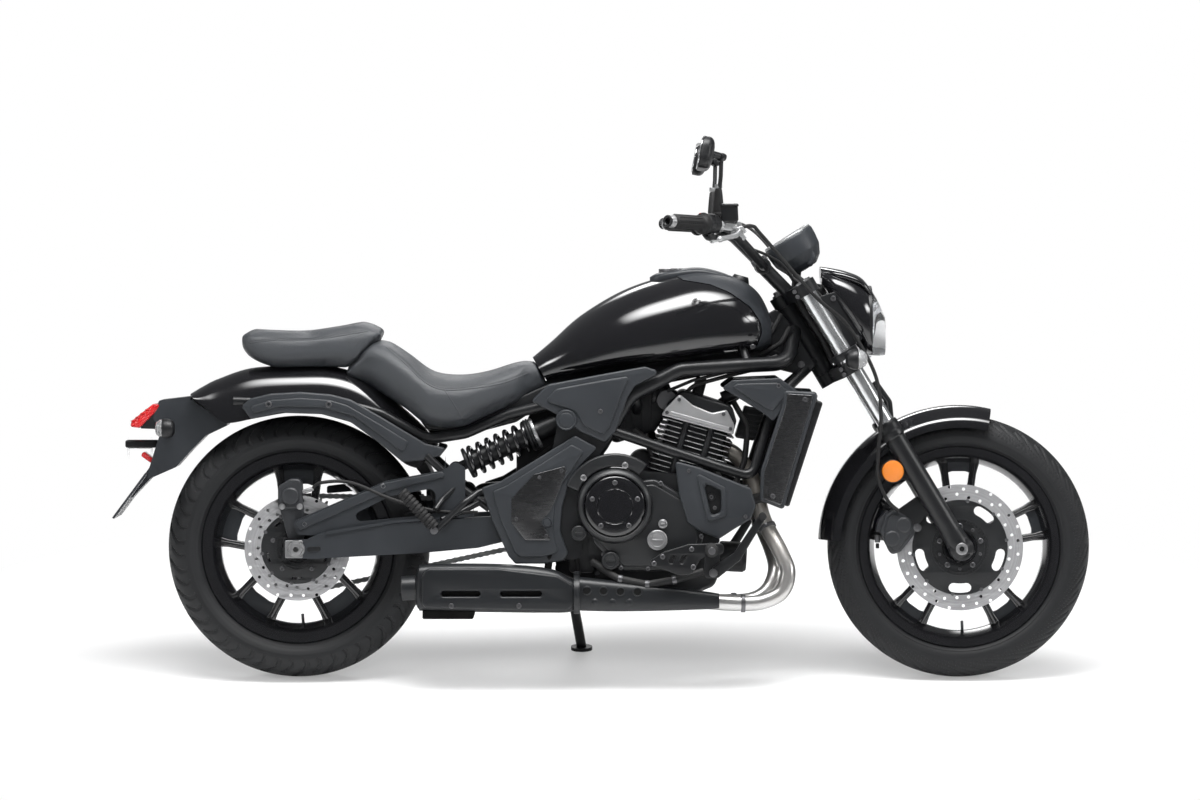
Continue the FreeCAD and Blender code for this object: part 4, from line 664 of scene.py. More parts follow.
class Piece:
    """A piece drawn upright in millimetres, then leaned and handed to its body."""

    def __init__(self, *finishes):
        self.form = bmesh.new()
        self.finishes = finishes

    def add(self, part, finish=0, mirror=False):
        bmesh.ops.remove_doubles(part, verts=part.verts, dist=2e-3)
        bmesh.ops.recalc_face_normals(part, faces=part.faces)
        for face in part.faces:
            face.material_index = finish
            face.smooth = True
        mesh = bpy.data.meshes.new("part")
        part.to_mesh(mesh)
        self.form.from_mesh(mesh)
        if mirror:
            bmesh.ops.scale(part, vec=(1, -1, 1), verts=part.verts)
            bmesh.ops.reverse_faces(part, faces=part.faces)
            part.to_mesh(mesh)
            self.form.from_mesh(mesh)
        part.free()
        bpy.data.meshes.remove(mesh)
        return self

    def panel(self, corners, near, far, bevel=1.0, finish=0, mirror=False, holes=(), facing=SIDE):
        """Add a plate with rounded corners."""
        return self.add(plate(rounded(corners), near, far, bevel, holes, facing), finish, mirror)

    def turned(self, profile, ease, start, along=ALONG_Y, segments=64, finish=0, mirror=False):
        """Add a turned part with eased corners."""
        return self.add(spun(eased(profile, ease), start, along, segments), finish, mirror)

    def done(self, name, body, slot, replaces=(), angle=32.0):
        moved(self.form, PARKED)
        mesh = bpy.data.meshes.new(name)
        self.form.to_mesh(mesh)
        self.form.free()
        for finish in self.finishes:
            mesh.materials.append(FINISHES[finish].material)
        mesh.set_sharp_from_angle(angle=math.radians(angle))
        return handed(name, mesh, body, replaces)


def handed(name, mesh, body, replaces=()):
    """Object at the origin that rides on a body; the parts it replaces are hidden."""
    made = placed(name, mesh)
    mesh.name = name
    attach(made, body)
    if replaces:
        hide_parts(*replaces)
    return made


# Sizes and colours that a user may change

class MotorcycleColours(bpy.types.PropertyGroup):
    """Colours of the painted, moulded and covered surfaces."""

    paint_black: FloatVectorProperty(
        name="Paint", description="Tank, mudguards and headlamp shell", subtype="COLOR", size=3,
        default=(0.005, 0.005, 0.006))
    cover_grey: FloatVectorProperty(
        name="Covers", description="Moulded side covers and struts", subtype="COLOR", size=3,
        default=(0.0175, 0.0195, 0.0225))
    seat_grey: FloatVectorProperty(
        name="Seats", description="Vinyl of both seats", subtype="COLOR", size=3,
        default=(0.024, 0.0265, 0.030))
    floor_white: FloatVectorProperty(
        name="Floor", description="Floor and backdrop", subtype="COLOR", size=3,
        default=(0.93, 0.93, 0.93))


class MotorcycleSizes(bpy.types.PropertyGroup):
    """Sizes that the pieces repeat or follow."""

    tread_depth: FloatProperty(
        name="Tread depth", description="Depth of the tyre grooves in millimetres", default=4.2, min=0)
    tread_blocks: IntProperty(
        name="Tread blocks", description="Grooves round each shoulder of a tyre", default=34, min=8)
    disc_hole: FloatProperty(
        name="Disc hole", description="Radius of the holes in the brake discs, in millimetres", default=3.9)
    seat_voxel: FloatProperty(
        name="Seat voxel", description="Grid of the seats' cloth", default=0.006, unit="LENGTH")
    seat_pressure: FloatProperty(
        name="Seat pressure", description="Pressure that fills the seats", default=4.0)
    spring_turns: FloatProperty(
        name="Spring turns", description="Coils of the shock's spring", default=6.5)
    fin_count: IntProperty(
        name="Fins", description="Cooling fins on the cylinders", default=12, min=2)


def settings():
    return bpy.context.scene.motorcycle_sizes


# Stage: the camera in upright millimetres and degrees; lamps as name, spot, width in metres, watts

CAMERA_SPOT = Vector((718.9, -12500, 997))
CAMERA_TIP = 1.533
CAMERA_LENS = 157.03
LAMPS = (
    ("overhead_softbox", (0.2, -0.9, 4.0), 4.6, 300),
    ("right_softbox", (0.4, -5.4, 3.4), 4.4, 110),
    ("front_softbox", (4.6, -1.4, 2.4), 2.6, 60),
    ("rear_softbox", (-4.6, -1.2, 2.4), 2.6, 55),
    ("left_softbox", (0.0, 4.8, 3.0), 3.4, 70))


class MakeStage(bpy.types.Operator):
    """Pale floor, soft lamps and the camera at the photograph's angle."""

    bl_idname = "motorcycle.stage"
    bl_label = "Stage"

    def execute(self, context):
        scene = context.scene
        scene.view_settings.view_transform = "Standard"
        camera = bpy.data.cameras.new("photo_camera")
        camera.lens = CAMERA_LENS
        camera.sensor_width = 36
        camera.clip_end = 100
        holder = placed("photo_camera", camera)
        holder.location = PARKED @ CAMERA_SPOT
        holder.rotation_euler = (math.radians(90 - CAMERA_TIP) - LEAN, 0, 0)
        scene.camera = holder
        self.floor(context)
        self.lamps()
        self.world(scene)
        return {"FINISHED"}

    def floor(self, context):
        white = tuple(context.scene.motorcycle_colours.floor_white)
        made = Finish("studio_floor", Roughness=0.6)
        tone = made.mixed(made.noise(0.8, 2), (*white, 1), (*[part * 0.985 for part in white], 1))
        made.feed(Base_Color=tone)
        glow = made.node("ShaderNodeEmission", {}, {"Strength": 1.0})
        glow.link.node.inputs["Color"].default_value = (1, 1, 1, 1)
        seen = made.node("ShaderNodeLightPath", {}, {}, "Is Camera Ray")
        mirrored = made.node("ShaderNodeLightPath", {}, {}, "Is Glossy Ray")
        away = made.node("ShaderNodeVectorMath", {"operation": "LENGTH"}, {0: made.spot}, "Value")
        clean = ((away - 0.9) * 1.1).within() * 0.7 + 0.3
        both_ways = made.node("ShaderNodeMixShader", {}, {0: (seen * clean + mirrored * 0.12).within(),
            1: Socket(made, made.shader.outputs[0]), 2: glow})
        out = made.tree.nodes["Material Output"]
        made.tree.links.new(both_ways.link, out.inputs["Surface"])
        mesh = bpy.data.meshes.new("floor")
        reach = 30
        mesh.from_pydata([(-reach, -reach, 0), (reach, -reach, 0), (reach, reach, 0), (-reach, reach, 0)],
                         [], [(0, 1, 2, 3)])
        mesh.materials.append(made.material)
        placed("floor", mesh)

    def lamps(self):
        for name, spot, size, power in LAMPS:
            lamp = bpy.data.lights.new(name, "AREA")
            lamp.shape = "RECTANGLE"
            lamp.size = size
            lamp.size_y = size * 0.45
            lamp.energy = power
            self.fade(lamp)
            holder = placed(name, lamp)
            holder.location = spot
            holder.visible_glossy = name != "right_softbox"
            aim = Vector((0, 0, 0.5)) - Vector(spot)
            holder.rotation_euler = aim.to_track_quat("-Z", "Y").to_euler()

    def fade(self, lamp):
        """Dim a lamp towards its edges, so that it mirrors softly."""
        lamp.use_nodes = True
        graph = Graph(lamp.node_tree)
        across = graph.node("ShaderNodeSeparateXYZ", {},
                            {0: graph.node("ShaderNodeNewGeometry", {}, {}, "Parametric")})
        along = Socket(graph, across.link.node.outputs[1])
        strength = (across * (1 - across) * along * (1 - along) * 16).within() ** 1.2 * 2.4
        graph.tree.links.new(strength.link, graph.tree.nodes["Emission"].inputs["Strength"])

    def world(self, scene):
        made = bpy.data.worlds.new("studio")
        scene.world = made
        made.use_nodes = True
        graph = Graph(made.node_tree)
        made.node_tree.nodes.clear()
        rays = graph.node("ShaderNodeLightPath", {}, {}, "Is Camera Ray")
        direct = graph.node("ShaderNodeBackground", {}, {"Color": (1, 1, 1, 1), "Strength": 1.0})
        soft = graph.node("ShaderNodeBackground", {}, {"Color": (0.95, 0.97, 1, 1), "Strength": 0.14})
        mixed = graph.node("ShaderNodeMixShader", {}, {0: rays, 1: soft, 2: direct})
        graph.node("ShaderNodeOutputWorld", {}, {"Surface": mixed})


CAD_FINISHES = {
    "gloss_black": "paint", "satin_black": "frame", "engine_black": "engine",
    "black_plastic": "plastic", "rubber": "rubber", "tyre_rubber": "tyre", "chrome": "chrome",
    "steel": "steel", "black_exhaust": "muffler", "caliper_grey": "caliper", "spring": "spring",
    "seat_leather": "leather", "lamp_glass": "glass", "signal_lens": "ribbed", "red_lens": "red"}
NODE_FINISHES = {
    "side_covers": "cover", "fender_struts": "cover", "tail_cover": "cover",
    "radiator_covers": "cover", "exhaust_headers": "header", "front_axle": "steel",
    "swingarm": "cover", "radiator": "plastic"}


class MakeFinishes(bpy.types.Operator):
    """Every finish, and those of the carried-over solids."""

    bl_idname = "motorcycle.finishes"
    bl_label = "Finishes"

    def execute(self, context):
        make_finishes(context.scene.motorcycle_colours)
        for name, made in frame["nodes"].items():
            slot = made.data.materials[0].name.split(".")[0]
            finish = NODE_FINISHES.get(name) or CAD_FINISHES[slot]
            made.data.materials.clear()
            made.data.materials.append(FINISHES[finish].material)
        return {"FINISHED"}


# Repeated shapes

def bolt_form(radius, height, kind="socket"):
    """Bolt head that stands up from its seat: socket, hexagon or button."""
    made = bmesh.new()
    if kind == "hexagon":
        parts = [spun(eased([(0, height), (radius, height), (radius, 0)], 0.6), Vector(), ALONG_Z, 6),
                 spun(eased([(0, 1.4), (radius * 1.25, 1.4), (radius * 1.25, 0)], 0.4), Vector(), ALONG_Z,
                      20)]
    else:
        crown = height if kind == "socket" else height * 0.7
        parts = [spun([(0, height * 0.3), (radius * 0.45, height * 0.3), (radius * 0.5, height),
                       (radius * 0.82, height), (radius, crown - 0.8), (radius, 0)], Vector(), ALONG_Z, 18)]
    for part in parts:
        absorb(made, part)
    return made


class Repeater(Graph):
    """Geometry Nodes tree that puts a shape on points and ends in one plain mesh."""

    def __init__(self, name):
        super().__init__(bpy.data.node_groups.new(name, "GeometryNodeTree"))
        self.tree.interface.new_socket("Geometry", in_out="INPUT", socket_type="NodeSocketGeometry")
        self.tree.interface.new_socket("Geometry", in_out="OUTPUT", socket_type="NodeSocketGeometry")
        self.entry = self.tree.nodes.new("NodeGroupInput")

    def given(self, name, kind):
        self.tree.interface.new_socket(name, in_out="INPUT", socket_type=kind)
        return Socket(self, self.entry.outputs[name])

    def close(self, made, finish):
        coloured = self.node("GeometryNodeSetMaterial", {}, {"Geometry": made, "Material": finish})
        self.node("NodeGroupOutput", {}, {"Geometry": coloured})

    def run(self, mesh, values):
        """The plain mesh that the tree makes from a carrier mesh and named values."""
        holder = placed("carrier", mesh)
        modifier = holder.modifiers.new("repeat", "NODES")
        modifier.node_group = self.tree
        for item in self.tree.interface.items_tree:
            if item.in_out == "INPUT" and item.name in values:
                modifier[item.identifier] = values[item.name]
        result = drawn(holder)
        made = bmesh.new()
        made.from_mesh(result)
        bpy.data.objects.remove(holder)
        bpy.data.meshes.remove(result)
        bpy.data.node_groups.remove(self.tree)
        return made


def repeated(form, places, finish="steel"):
    """Copies of a shape on (point, direction) places; a matrix may stand for a place."""
    shape_mesh = bpy.data.meshes.new("shape")
    form.to_mesh(shape_mesh)
    form.free()
    shape = placed("shape", shape_mesh)
    carrier = bpy.data.meshes.new("points")
    spots = []
    turns = []
    for place in places:
        if isinstance(place, Matrix):
            spots.append(place.to_translation())
            turns.append(place.to_euler())
        else:
            spots.append(Vector(place[0]))
            turns.append(Vector(place[1]).to_track_quat("Z", "X").to_euler())
    carrier.from_pydata(spots, [], [])
    turn_values = carrier.attributes.new("turn", "FLOAT_VECTOR", "POINT")
    for value, turn in zip(turn_values.data, turns):
        value.vector = tuple(turn)
    graph = Repeater("repeat_on_points")
    shape_given = graph.given("Shape", "NodeSocketObject")
    finish_given = graph.given("Finish", "NodeSocketMaterial")
    info = graph.node("GeometryNodeObjectInfo", {}, {"Object": shape_given}, "Geometry")
    turn = graph.node("GeometryNodeInputNamedAttribute", {"data_type": "FLOAT_VECTOR"}, {"Name": "turn"})
    copies = graph.node("GeometryNodeInstanceOnPoints", {},
                        {"Points": Socket(graph, graph.entry.outputs["Geometry"]), "Instance": info,
                         "Rotation": turn})
    graph.close(graph.node("GeometryNodeRealizeInstances", {}, {"Geometry": copies}), finish_given)
    made = graph.run(carrier, {"Shape": shape, "Finish": FINISHES[finish].material})
    bpy.data.objects.remove(shape)
    bpy.data.meshes.remove(shape_mesh)
    return made


def coil(start, end, radius, wire, turns):
    """Spring wire wound between two points."""
    graph = Repeater("spring_coil")
    turns_given = graph.given("Turns", "NodeSocketFloat")
    radius_given = graph.given("Radius", "NodeSocketFloat")
    height_given = graph.given("Height", "NodeSocketFloat")
    wire_given = graph.given("Wire", "NodeSocketFloat")
    finish_given = graph.given("Finish", "NodeSocketMaterial")
    line = graph.node("GeometryNodeCurveSpiral", {}, {"Resolution": 48, "Rotations": turns_given,
        "Start Radius": radius_given, "End Radius": radius_given, "Height": height_given})
    round_wire = graph.node("GeometryNodeCurvePrimitiveCircle", {}, {"Resolution": 14, "Radius": wire_given})
    tube_made = graph.node("GeometryNodeCurveToMesh", {}, {"Curve": line, "Profile Curve": round_wire,
        "Fill Caps": True})
    graph.close(graph.node("GeometryNodeRealizeInstances", {}, {"Geometry": tube_made}), finish_given)
    along = Vector(end) - Vector(start)
    made = graph.run(bpy.data.meshes.new("spring"), {"Turns": turns, "Radius": radius,
        "Height": along.length, "Wire": wire, "Finish": FINISHES["spring"].material})
    return moved(made, Matrix.Translation(start) @ towards(along))


def right_side(spots, line, kind="socket", radius=5.0, height=4.0, finish="steel"):
    """Bolts on the right side, at (forward, up) spots on a plane across the machine."""
    return repeated(bolt_form(radius, height, kind), [((x, -line, z), (0, -1, 0)) for x, z in spots], finish)


def combined(first, second, operation):
    """Boolean of two forms; both are used up."""
    holders = []
    for form in (first, second):
        bmesh.ops.remove_doubles(form, verts=form.verts, dist=1e-3)
        bmesh.ops.recalc_face_normals(form, faces=form.faces)
        mesh = bpy.data.meshes.new("operand")
        form.to_mesh(mesh)
        form.free()
        holders.append(placed("operand", mesh))
    modifier = holders[0].modifiers.new("combine", "BOOLEAN")
    modifier.operation = operation
    modifier.solver = "EXACT"
    modifier.object = holders[1]
    result = drawn(holders[0])
    made = bmesh.new()
    made.from_mesh(result)
    for holder in holders:
        mesh = holder.data
        bpy.data.objects.remove(holder)
        bpy.data.meshes.remove(mesh)
    bpy.data.meshes.remove(result)
    return made


# Wheels

def tyre_form(centre, radius, crown, width, bead, edge, seat, depth, blocks, lean):
    """Tyre ring with grooves cut into its crown and shoulders."""
    made = bmesh.new()
    half = width / 2
    reach = math.asin(0.97 * half / crown)
    rows = 46
    around = 816
    profile = []
    for row in range(rows + 1):
        share = -1 + 2 * row / rows
        turn = reach * share
        profile.append((radius - crown + crown * math.cos(turn), crown * math.sin(turn), share))
    shoulder, shoulder_y = profile[-1][0], profile[-1][1]
    side = (edge + shoulder) / 2
    wall = []
    for step in range(1, 15):
        share = step / 14
        bulge = math.sin(math.pi * share) * 0.10 * (shoulder - edge)
        distance = shoulder + (edge - shoulder) * share
        across = shoulder_y + (bead + 3 - shoulder_y) * share ** 1.7 + bulge
        rib = 0.9 if step in (3, 4) else (1.6 if step in (11, 12) else 0)
        wall.append((distance, min(across + rib, half), None))
    loop = ([(seat, -bead, None), (edge, -bead, None)] + [(distance, -across, None) for distance, across,
        _ in reversed(wall)] + profile + wall + [(edge, bead, None), (seat, bead, None)])
    rings = []
    for step in range(around):
        angle = 2 * math.pi * step / around
        ring = []
        for distance, across, share in loop:
            if share is not None:
                distance -= depth * groove(angle, share, blocks, lean)
            ring.append(made.verts.new(Vector((centre.x + distance * math.cos(angle), centre.y + across,
                                               centre.z + distance * math.sin(angle)))))
        rings.append(ring)
    count = len(loop)
    for step in range(around):
        first, second = rings[step], rings[(step + 1) % around]
        for index in range(count):
            following = (index + 1) % count
            made.faces.new((first[index], second[index], second[following], first[following]))
    return made


def groove(angle, share, blocks, lean):
    """One where the tread is cut away: slanted curved cuts on both shoulders."""
    away = abs(share)
    if away < 0.10 or away > 0.985:
        return 0.0
    period = 2 * math.pi / blocks
    offset = 0 if share > 0 else period / 2
    for shift, low, high, width in ((0.0, 0.12, 0.98, 0.16), (0.52, 0.44, 0.985, 0.12)):
        slant = lean * (away - 0.5) + 0.9 * (away - 0.5) ** 3
        phase = ((angle + offset + slant) / period + shift) % 1.0
        if low < away < high and phase < width * (1.25 - 0.5 * away):
            return 1.0
    return 0.0


class MakeTyres(bpy.types.Operator):
    """Both tyres, with grooved crowns and plain side walls."""

    bl_idname = "motorcycle.tyres"
    bl_label = "Tyres"

    def execute(self, context):
        chosen = settings()
        front = tyre_form(FRONT_AXLE, 312.6, 62, 120, 46, 241, 228, chosen.tread_depth, chosen.tread_blocks,
                          0.34)
        Piece("tyre").add(front).done("front_tyre_grooved", "front_wheel", "tyre_rubber", ["front_tyre"])
        rear = tyre_form(REAR_AXLE, 311.9, 88, 160, 58, 230, 216, chosen.tread_depth,
                         chosen.tread_blocks - 8, -0.30)
        Piece("tyre").add(rear).done("rear_tyre_grooved", "rear_wheel", "tyre_rubber", ["rear_tyre"])
        return {"FINISHED"}


def wheel_turn(index, count):
    return Matrix.Rotation(-2 * math.pi * index / count, 4, "Y")


def turned_about(part, centre, turn):
    return moved(part, Matrix.Translation(centre) @ turn)


def cast_wheel(name, body, centre, hub, inside, edge, seat, bead, spoke, web, node):
    """Hub, five pairs of ridged spokes with a grey web near the rim, and the barrel."""
    made = Piece("wheel_paint", "cover", "bolt")
    made.turned(hub, 3, centre, ALONG_Y, 72)
    root, tip = 34.0, inside + 4
    offset, slope, half = spoke
    for index in range(5):
        turn = wheel_turn(index, 5)
        for side in (-1, 1):
            def edge_at(radius, shift, radius_of_corner=0.0):
                return (side * (offset + slope * radius + shift), radius, radius_of_corner)
            blade = plate(rounded([edge_at(root, -half), edge_at(root, half),
                                   edge_at(inside * 0.86, half, 60), edge_at(tip, half + 5, 3),
                                   edge_at(tip, -half - 3, 3), edge_at(inside * 0.9, -half, 40)]), -16, 16,
                          4.0)
            made.add(turned_about(blade, centre, turn))
            ridge = plate(rounded([edge_at(root + 20, -half * 0.4, 2), edge_at(root + 20, half * 0.4, 2),
                                   edge_at(tip - 3, half * 0.4, 2), edge_at(tip - 3, -half * 0.4, 2)]), -20,
                          20, 2.4)
            made.add(turned_about(ridge, centre, turn))
        low, high = offset + slope * web, offset + slope * tip
        panel = plate(rounded([(-low, web, 3), (-low * 0.5, web + 7, 20), (low * 0.5, web + 7, 20),
                               (low, web, 3), (high, tip, 1), (-high, tip, 1)]), -9, 9, 1.5)
        made.add(turned_about(panel, centre, turn), 1)
    flange = bead + 6
    lip = inside + 14
    barrel = [(inside, -18), (inside - 2, -10), (inside - 2, 10), (inside, 18), (lip - 4, bead - 6),
              (lip, flange - 3), (lip + 3, flange), (edge - 4, flange), (edge, flange - 3), (edge, bead),
              (seat, bead), (seat, -bead), (edge, -bead), (edge, -flange + 3), (edge - 4, -flange),
              (lip + 3, -flange), (lip, -flange + 3), (lip - 4, -bead + 6), (inside, -18)]
    made.add(spun(barrel, centre, ALONG_Y, 180))
    stem = Vector((centre.x, 0, centre.z)) + Vector((0.05, 0, -0.9987)) * (inside + 2)
    inward = (centre - stem).normalized()
    made.add(rod(stem, stem + inward * 26 - ALONG_Y * 6, 3.6, 1, 16), 2)
    return made.done(name, body, "gloss_black", [node])


class MakeWheels(bpy.types.Operator):
    """Both cast wheels with their valves."""

    bl_idname = "motorcycle.wheels"
    bl_label = "Wheels"

    def execute(self, context):
        cast_wheel("front_cast_wheel", "front_wheel", FRONT_AXLE, [(10.3, -58), (10.3, 58), (38, 58),
            (38, 30), (34, 20), (34, -30), (60, -44), (78, -46), (78, -62), (26, -62), (26, -58),
            (10.3, -58)], 203, 241, 228, 46, (9.5, 0.137, 9), 172, "front_rim")
        cast_wheel("rear_cast_wheel", "rear_wheel", REAR_AXLE, [(11.3, -82), (11.3, 90.5), (62, 90.5),
            (62, 60), (46, 40), (46, -44), (64, -50), (64, -85), (29, -85), (29, -82), (11.3, -82)], 186,
                   230, 216, 58, (23.5, 0.128, 9.5), 142, "rear_rim")
        return {"FINISHED"}


def drilled_disc(name, body, centre, middle, sizes, windows, bolts, finish, node):
    """Friction band full of drilled holes on a black carrier with its sensor ring."""
    outer, band, inner, tone = sizes
    made = Piece(finish, "engine", "bolt")
    hole = settings().disc_hole
    holes = []
    count = 27 if outer > 140 else 24
    for step in range(count):
        for row, share in ((0, 0.26), (0.5, 0.76)):
            distance = band + (outer - band) * (share + (0.13 if step % 3 == 1 else -0.05))
            swing = (step + row) * 2 * math.pi / count
            holes.append(round_hole(distance * math.cos(swing), distance * math.sin(swing), hole, 14))
    ring = plate(round_hole(0, 0, outer, 180), middle - 2.4, middle + 2.4, 0.5,
                 [round_hole(0, 0, band, 120), *holes])
    made.add(turned_about(ring, centre, Matrix()))
    radius, half_width, spread = windows
    slots = [arc_slot(radius, half_width, 54 + 72 * index, spread) for index in range(5)]
    carrier = plate(round_hole(0, 0, band + 1.5, 120), middle - 3.4, middle + 2.6, 0.8,
                    [round_hole(0, 0, inner, 72), *slots])
    made.add(turned_about(carrier, centre, Matrix()), 1)
    for index in range(10):
        spot = on_circle(centre, band, 36 * index + 9, middle - 3.9)
        made.add(rod(spot, spot + ALONG_Y * 7.8, 4.6, 0.8, 20), 2)
    for distance, size, begin in bolts:
        for index in range(5):
            spot = on_circle(centre, distance, begin + 72 * index, middle - 3.2)
            made.add(turned_about(bolt_form(size, 5.5), spot, Matrix.Rotation(math.radians(90), 4, "X")), 2)
    teeth = [arc_slot(tone + 4.6, 2.6, 7.2 * index, 0.55, 1) for index in range(50)]
    sensor = plate(round_hole(0, 0, tone + 10, 100), middle - 5.4, middle - 3.4, 0.2,
                   [round_hole(0, 0, tone, 72), *teeth])
    made.add(turned_about(sensor, centre, Matrix()), 1)
    return made.done(name, body, "steel", [node])


class MakeBrakeDiscs(bpy.types.Operator):
    """Both drilled brake discs."""

    bl_idname = "motorcycle.brake_discs"
    bl_label = "Brake discs"

    def execute(self, context):
        drilled_disc("front_drilled_disc", "front_wheel", FRONT_AXLE, -64.5, (150, 112, 42, 58),
                     (97, 11, 9.5), ((51, 6.5, 18), (51, 4, 54)), "front_steel", "front_disc")
        drilled_disc("rear_drilled_disc", "rear_wheel", REAR_AXLE, -87.5, (125, 84, 36, 41), (72, 2.6, 8),
                     ((60, 5.5, 18),), "rear_steel", "rear_disc")
        return {"FINISHED"}


# Engine

CRANK = Vector((880, 0, 360))
CYLINDER_TURN = Matrix.Translation(CRANK) @ Matrix.Rotation(math.radians(16), 4, "Y")
CLUTCH = Vector((754, -120, 417))


def tilted(part):
    return moved(part, CYLINDER_TURN)


class MakeCylinders(bpy.types.Operator):
    """Finned barrels with machined edges, head, bright side covers and air box."""

    bl_idname = "motorcycle.cylinders"
    bl_label = "Cylinders"

    def execute(self, context):
        made = Piece("engine", "fin", "silver", "bolt", "plastic")
        core = plate(rounded([(-70, -108, 12), (74, -108, 12), (74, 108, 12), (-70, 108, 12)]), 90, 262, 3,
                     facing=TOP)
        made.add(tilted(core))
        count = settings().fin_count
        outline = rounded([(-86, -122, 10), (-36, -122, 3), (-33, -112, 3), (-21, -112, 3), (-18, -122, 3),
                           (24, -122, 3), (27, -112, 3), (39, -112, 3), (42, -122, 3), (90, -122, 10),
                           (90, 122, 10), (42, 122, 3), (39, 112, 3), (27, 112, 3), (24, 122, 3),
                           (-18, 122, 3), (-21, 112, 3), (-33, 112, 3), (-36, 122, 3), (-86, 122, 10)])
        rises = [Matrix.Translation((0, 0, 116 + 134 * step / (count - 1))) for step in range(count)]
        made.add(tilted(repeated(plate(outline, -1.9, 1.9, 1.0, facing=TOP), rises, "engine")))
        edge = [(x * 1.008, y * 1.006) for x, y in outline]
        made.add(tilted(repeated(plate(edge, -0.8, 0.8, 0.5, facing=TOP), rises, "fin")), 1)
        for x in (-27, 33):
            for y in (-114, 114):
                made.add(tilted(rod((x, y, 96), (x, y, 258), 6.5, 1.2)))
        head = plate(rounded([(-84, 256, 6), (86, 256, 6), (86, 290, 14), (66, 322, 18), (-58, 326, 18),
                              (-84, 286, 14)]), -108, 108, 7)
        made.add(tilted(head))
        cover = rounded([(864, 630, 3), (874, 646, 5), (907, 680, 7), (938, 654, 10), (984, 635, 14),
                         (1019, 643, 7), (1037, 606, 6), (1034, 584, 3)])
        side = plate(cover, -136, -110, 3.5)
        made.add(side, 2, mirror=True)
        rib = plate(rounded([(882, 632, 2), (1022, 594, 2), (1025, 601, 2), (886, 640, 2)]), -139, -134, 1.5)
        made.add(rib, 2, mirror=True)
        bolts = [(877, 637), (906, 667), (1011, 633), (1027, 598)]
        made.add(right_side(bolts, 136, "socket", 4.5, 3), 3, mirror=True)
        box = plate(rounded([(708, 612, 16), (752, 560, 20), (850, 590, 8), (884, 640, 8), (868, 706, 12),
                             (826, 716, 14), (760, 708, 14), (708, 686, 20)]), -64, 64, 7)
        made.add(box, 4)
        ribs = [Matrix.Translation((x, 0, 638)) for x in range(730, 860, 22)]
        made.add(repeated(plate(rounded([(-2.5, -44, 2), (2.5, -44, 2), (2.5, 44, 2), (-2.5, 44, 2)]), -67,
                                67, 1.2), ribs, "plastic"), 4)
        made.add(tube([(806, -60, 640), (806, -92, 660), (780, -98, 700)], 13, 26), 4)
        made.add(tube([(1010, -40, 668), (1060, -44, 690), (1130, -40, 672), (1196, -40, 650)], 15, 30), 4)
        made.done("finned_cylinders", "chassis", "engine_black", ["cylinders"])
        return {"FINISHED"}


def arc_band(centre, inner, outer, begin, finish, pieces=16):
    """Closed outline between two circles and two angles, in degrees."""
    def at(radius, share):
        angle = math.radians(begin + (finish - begin) * share / pieces)
        return (centre[0] + radius * math.cos(angle), centre[1] + radius * math.sin(angle))
    return [at(outer, share) for share in range(pieces + 1)] + [at(inner, share)
        for share in reversed(range(pieces + 1))]


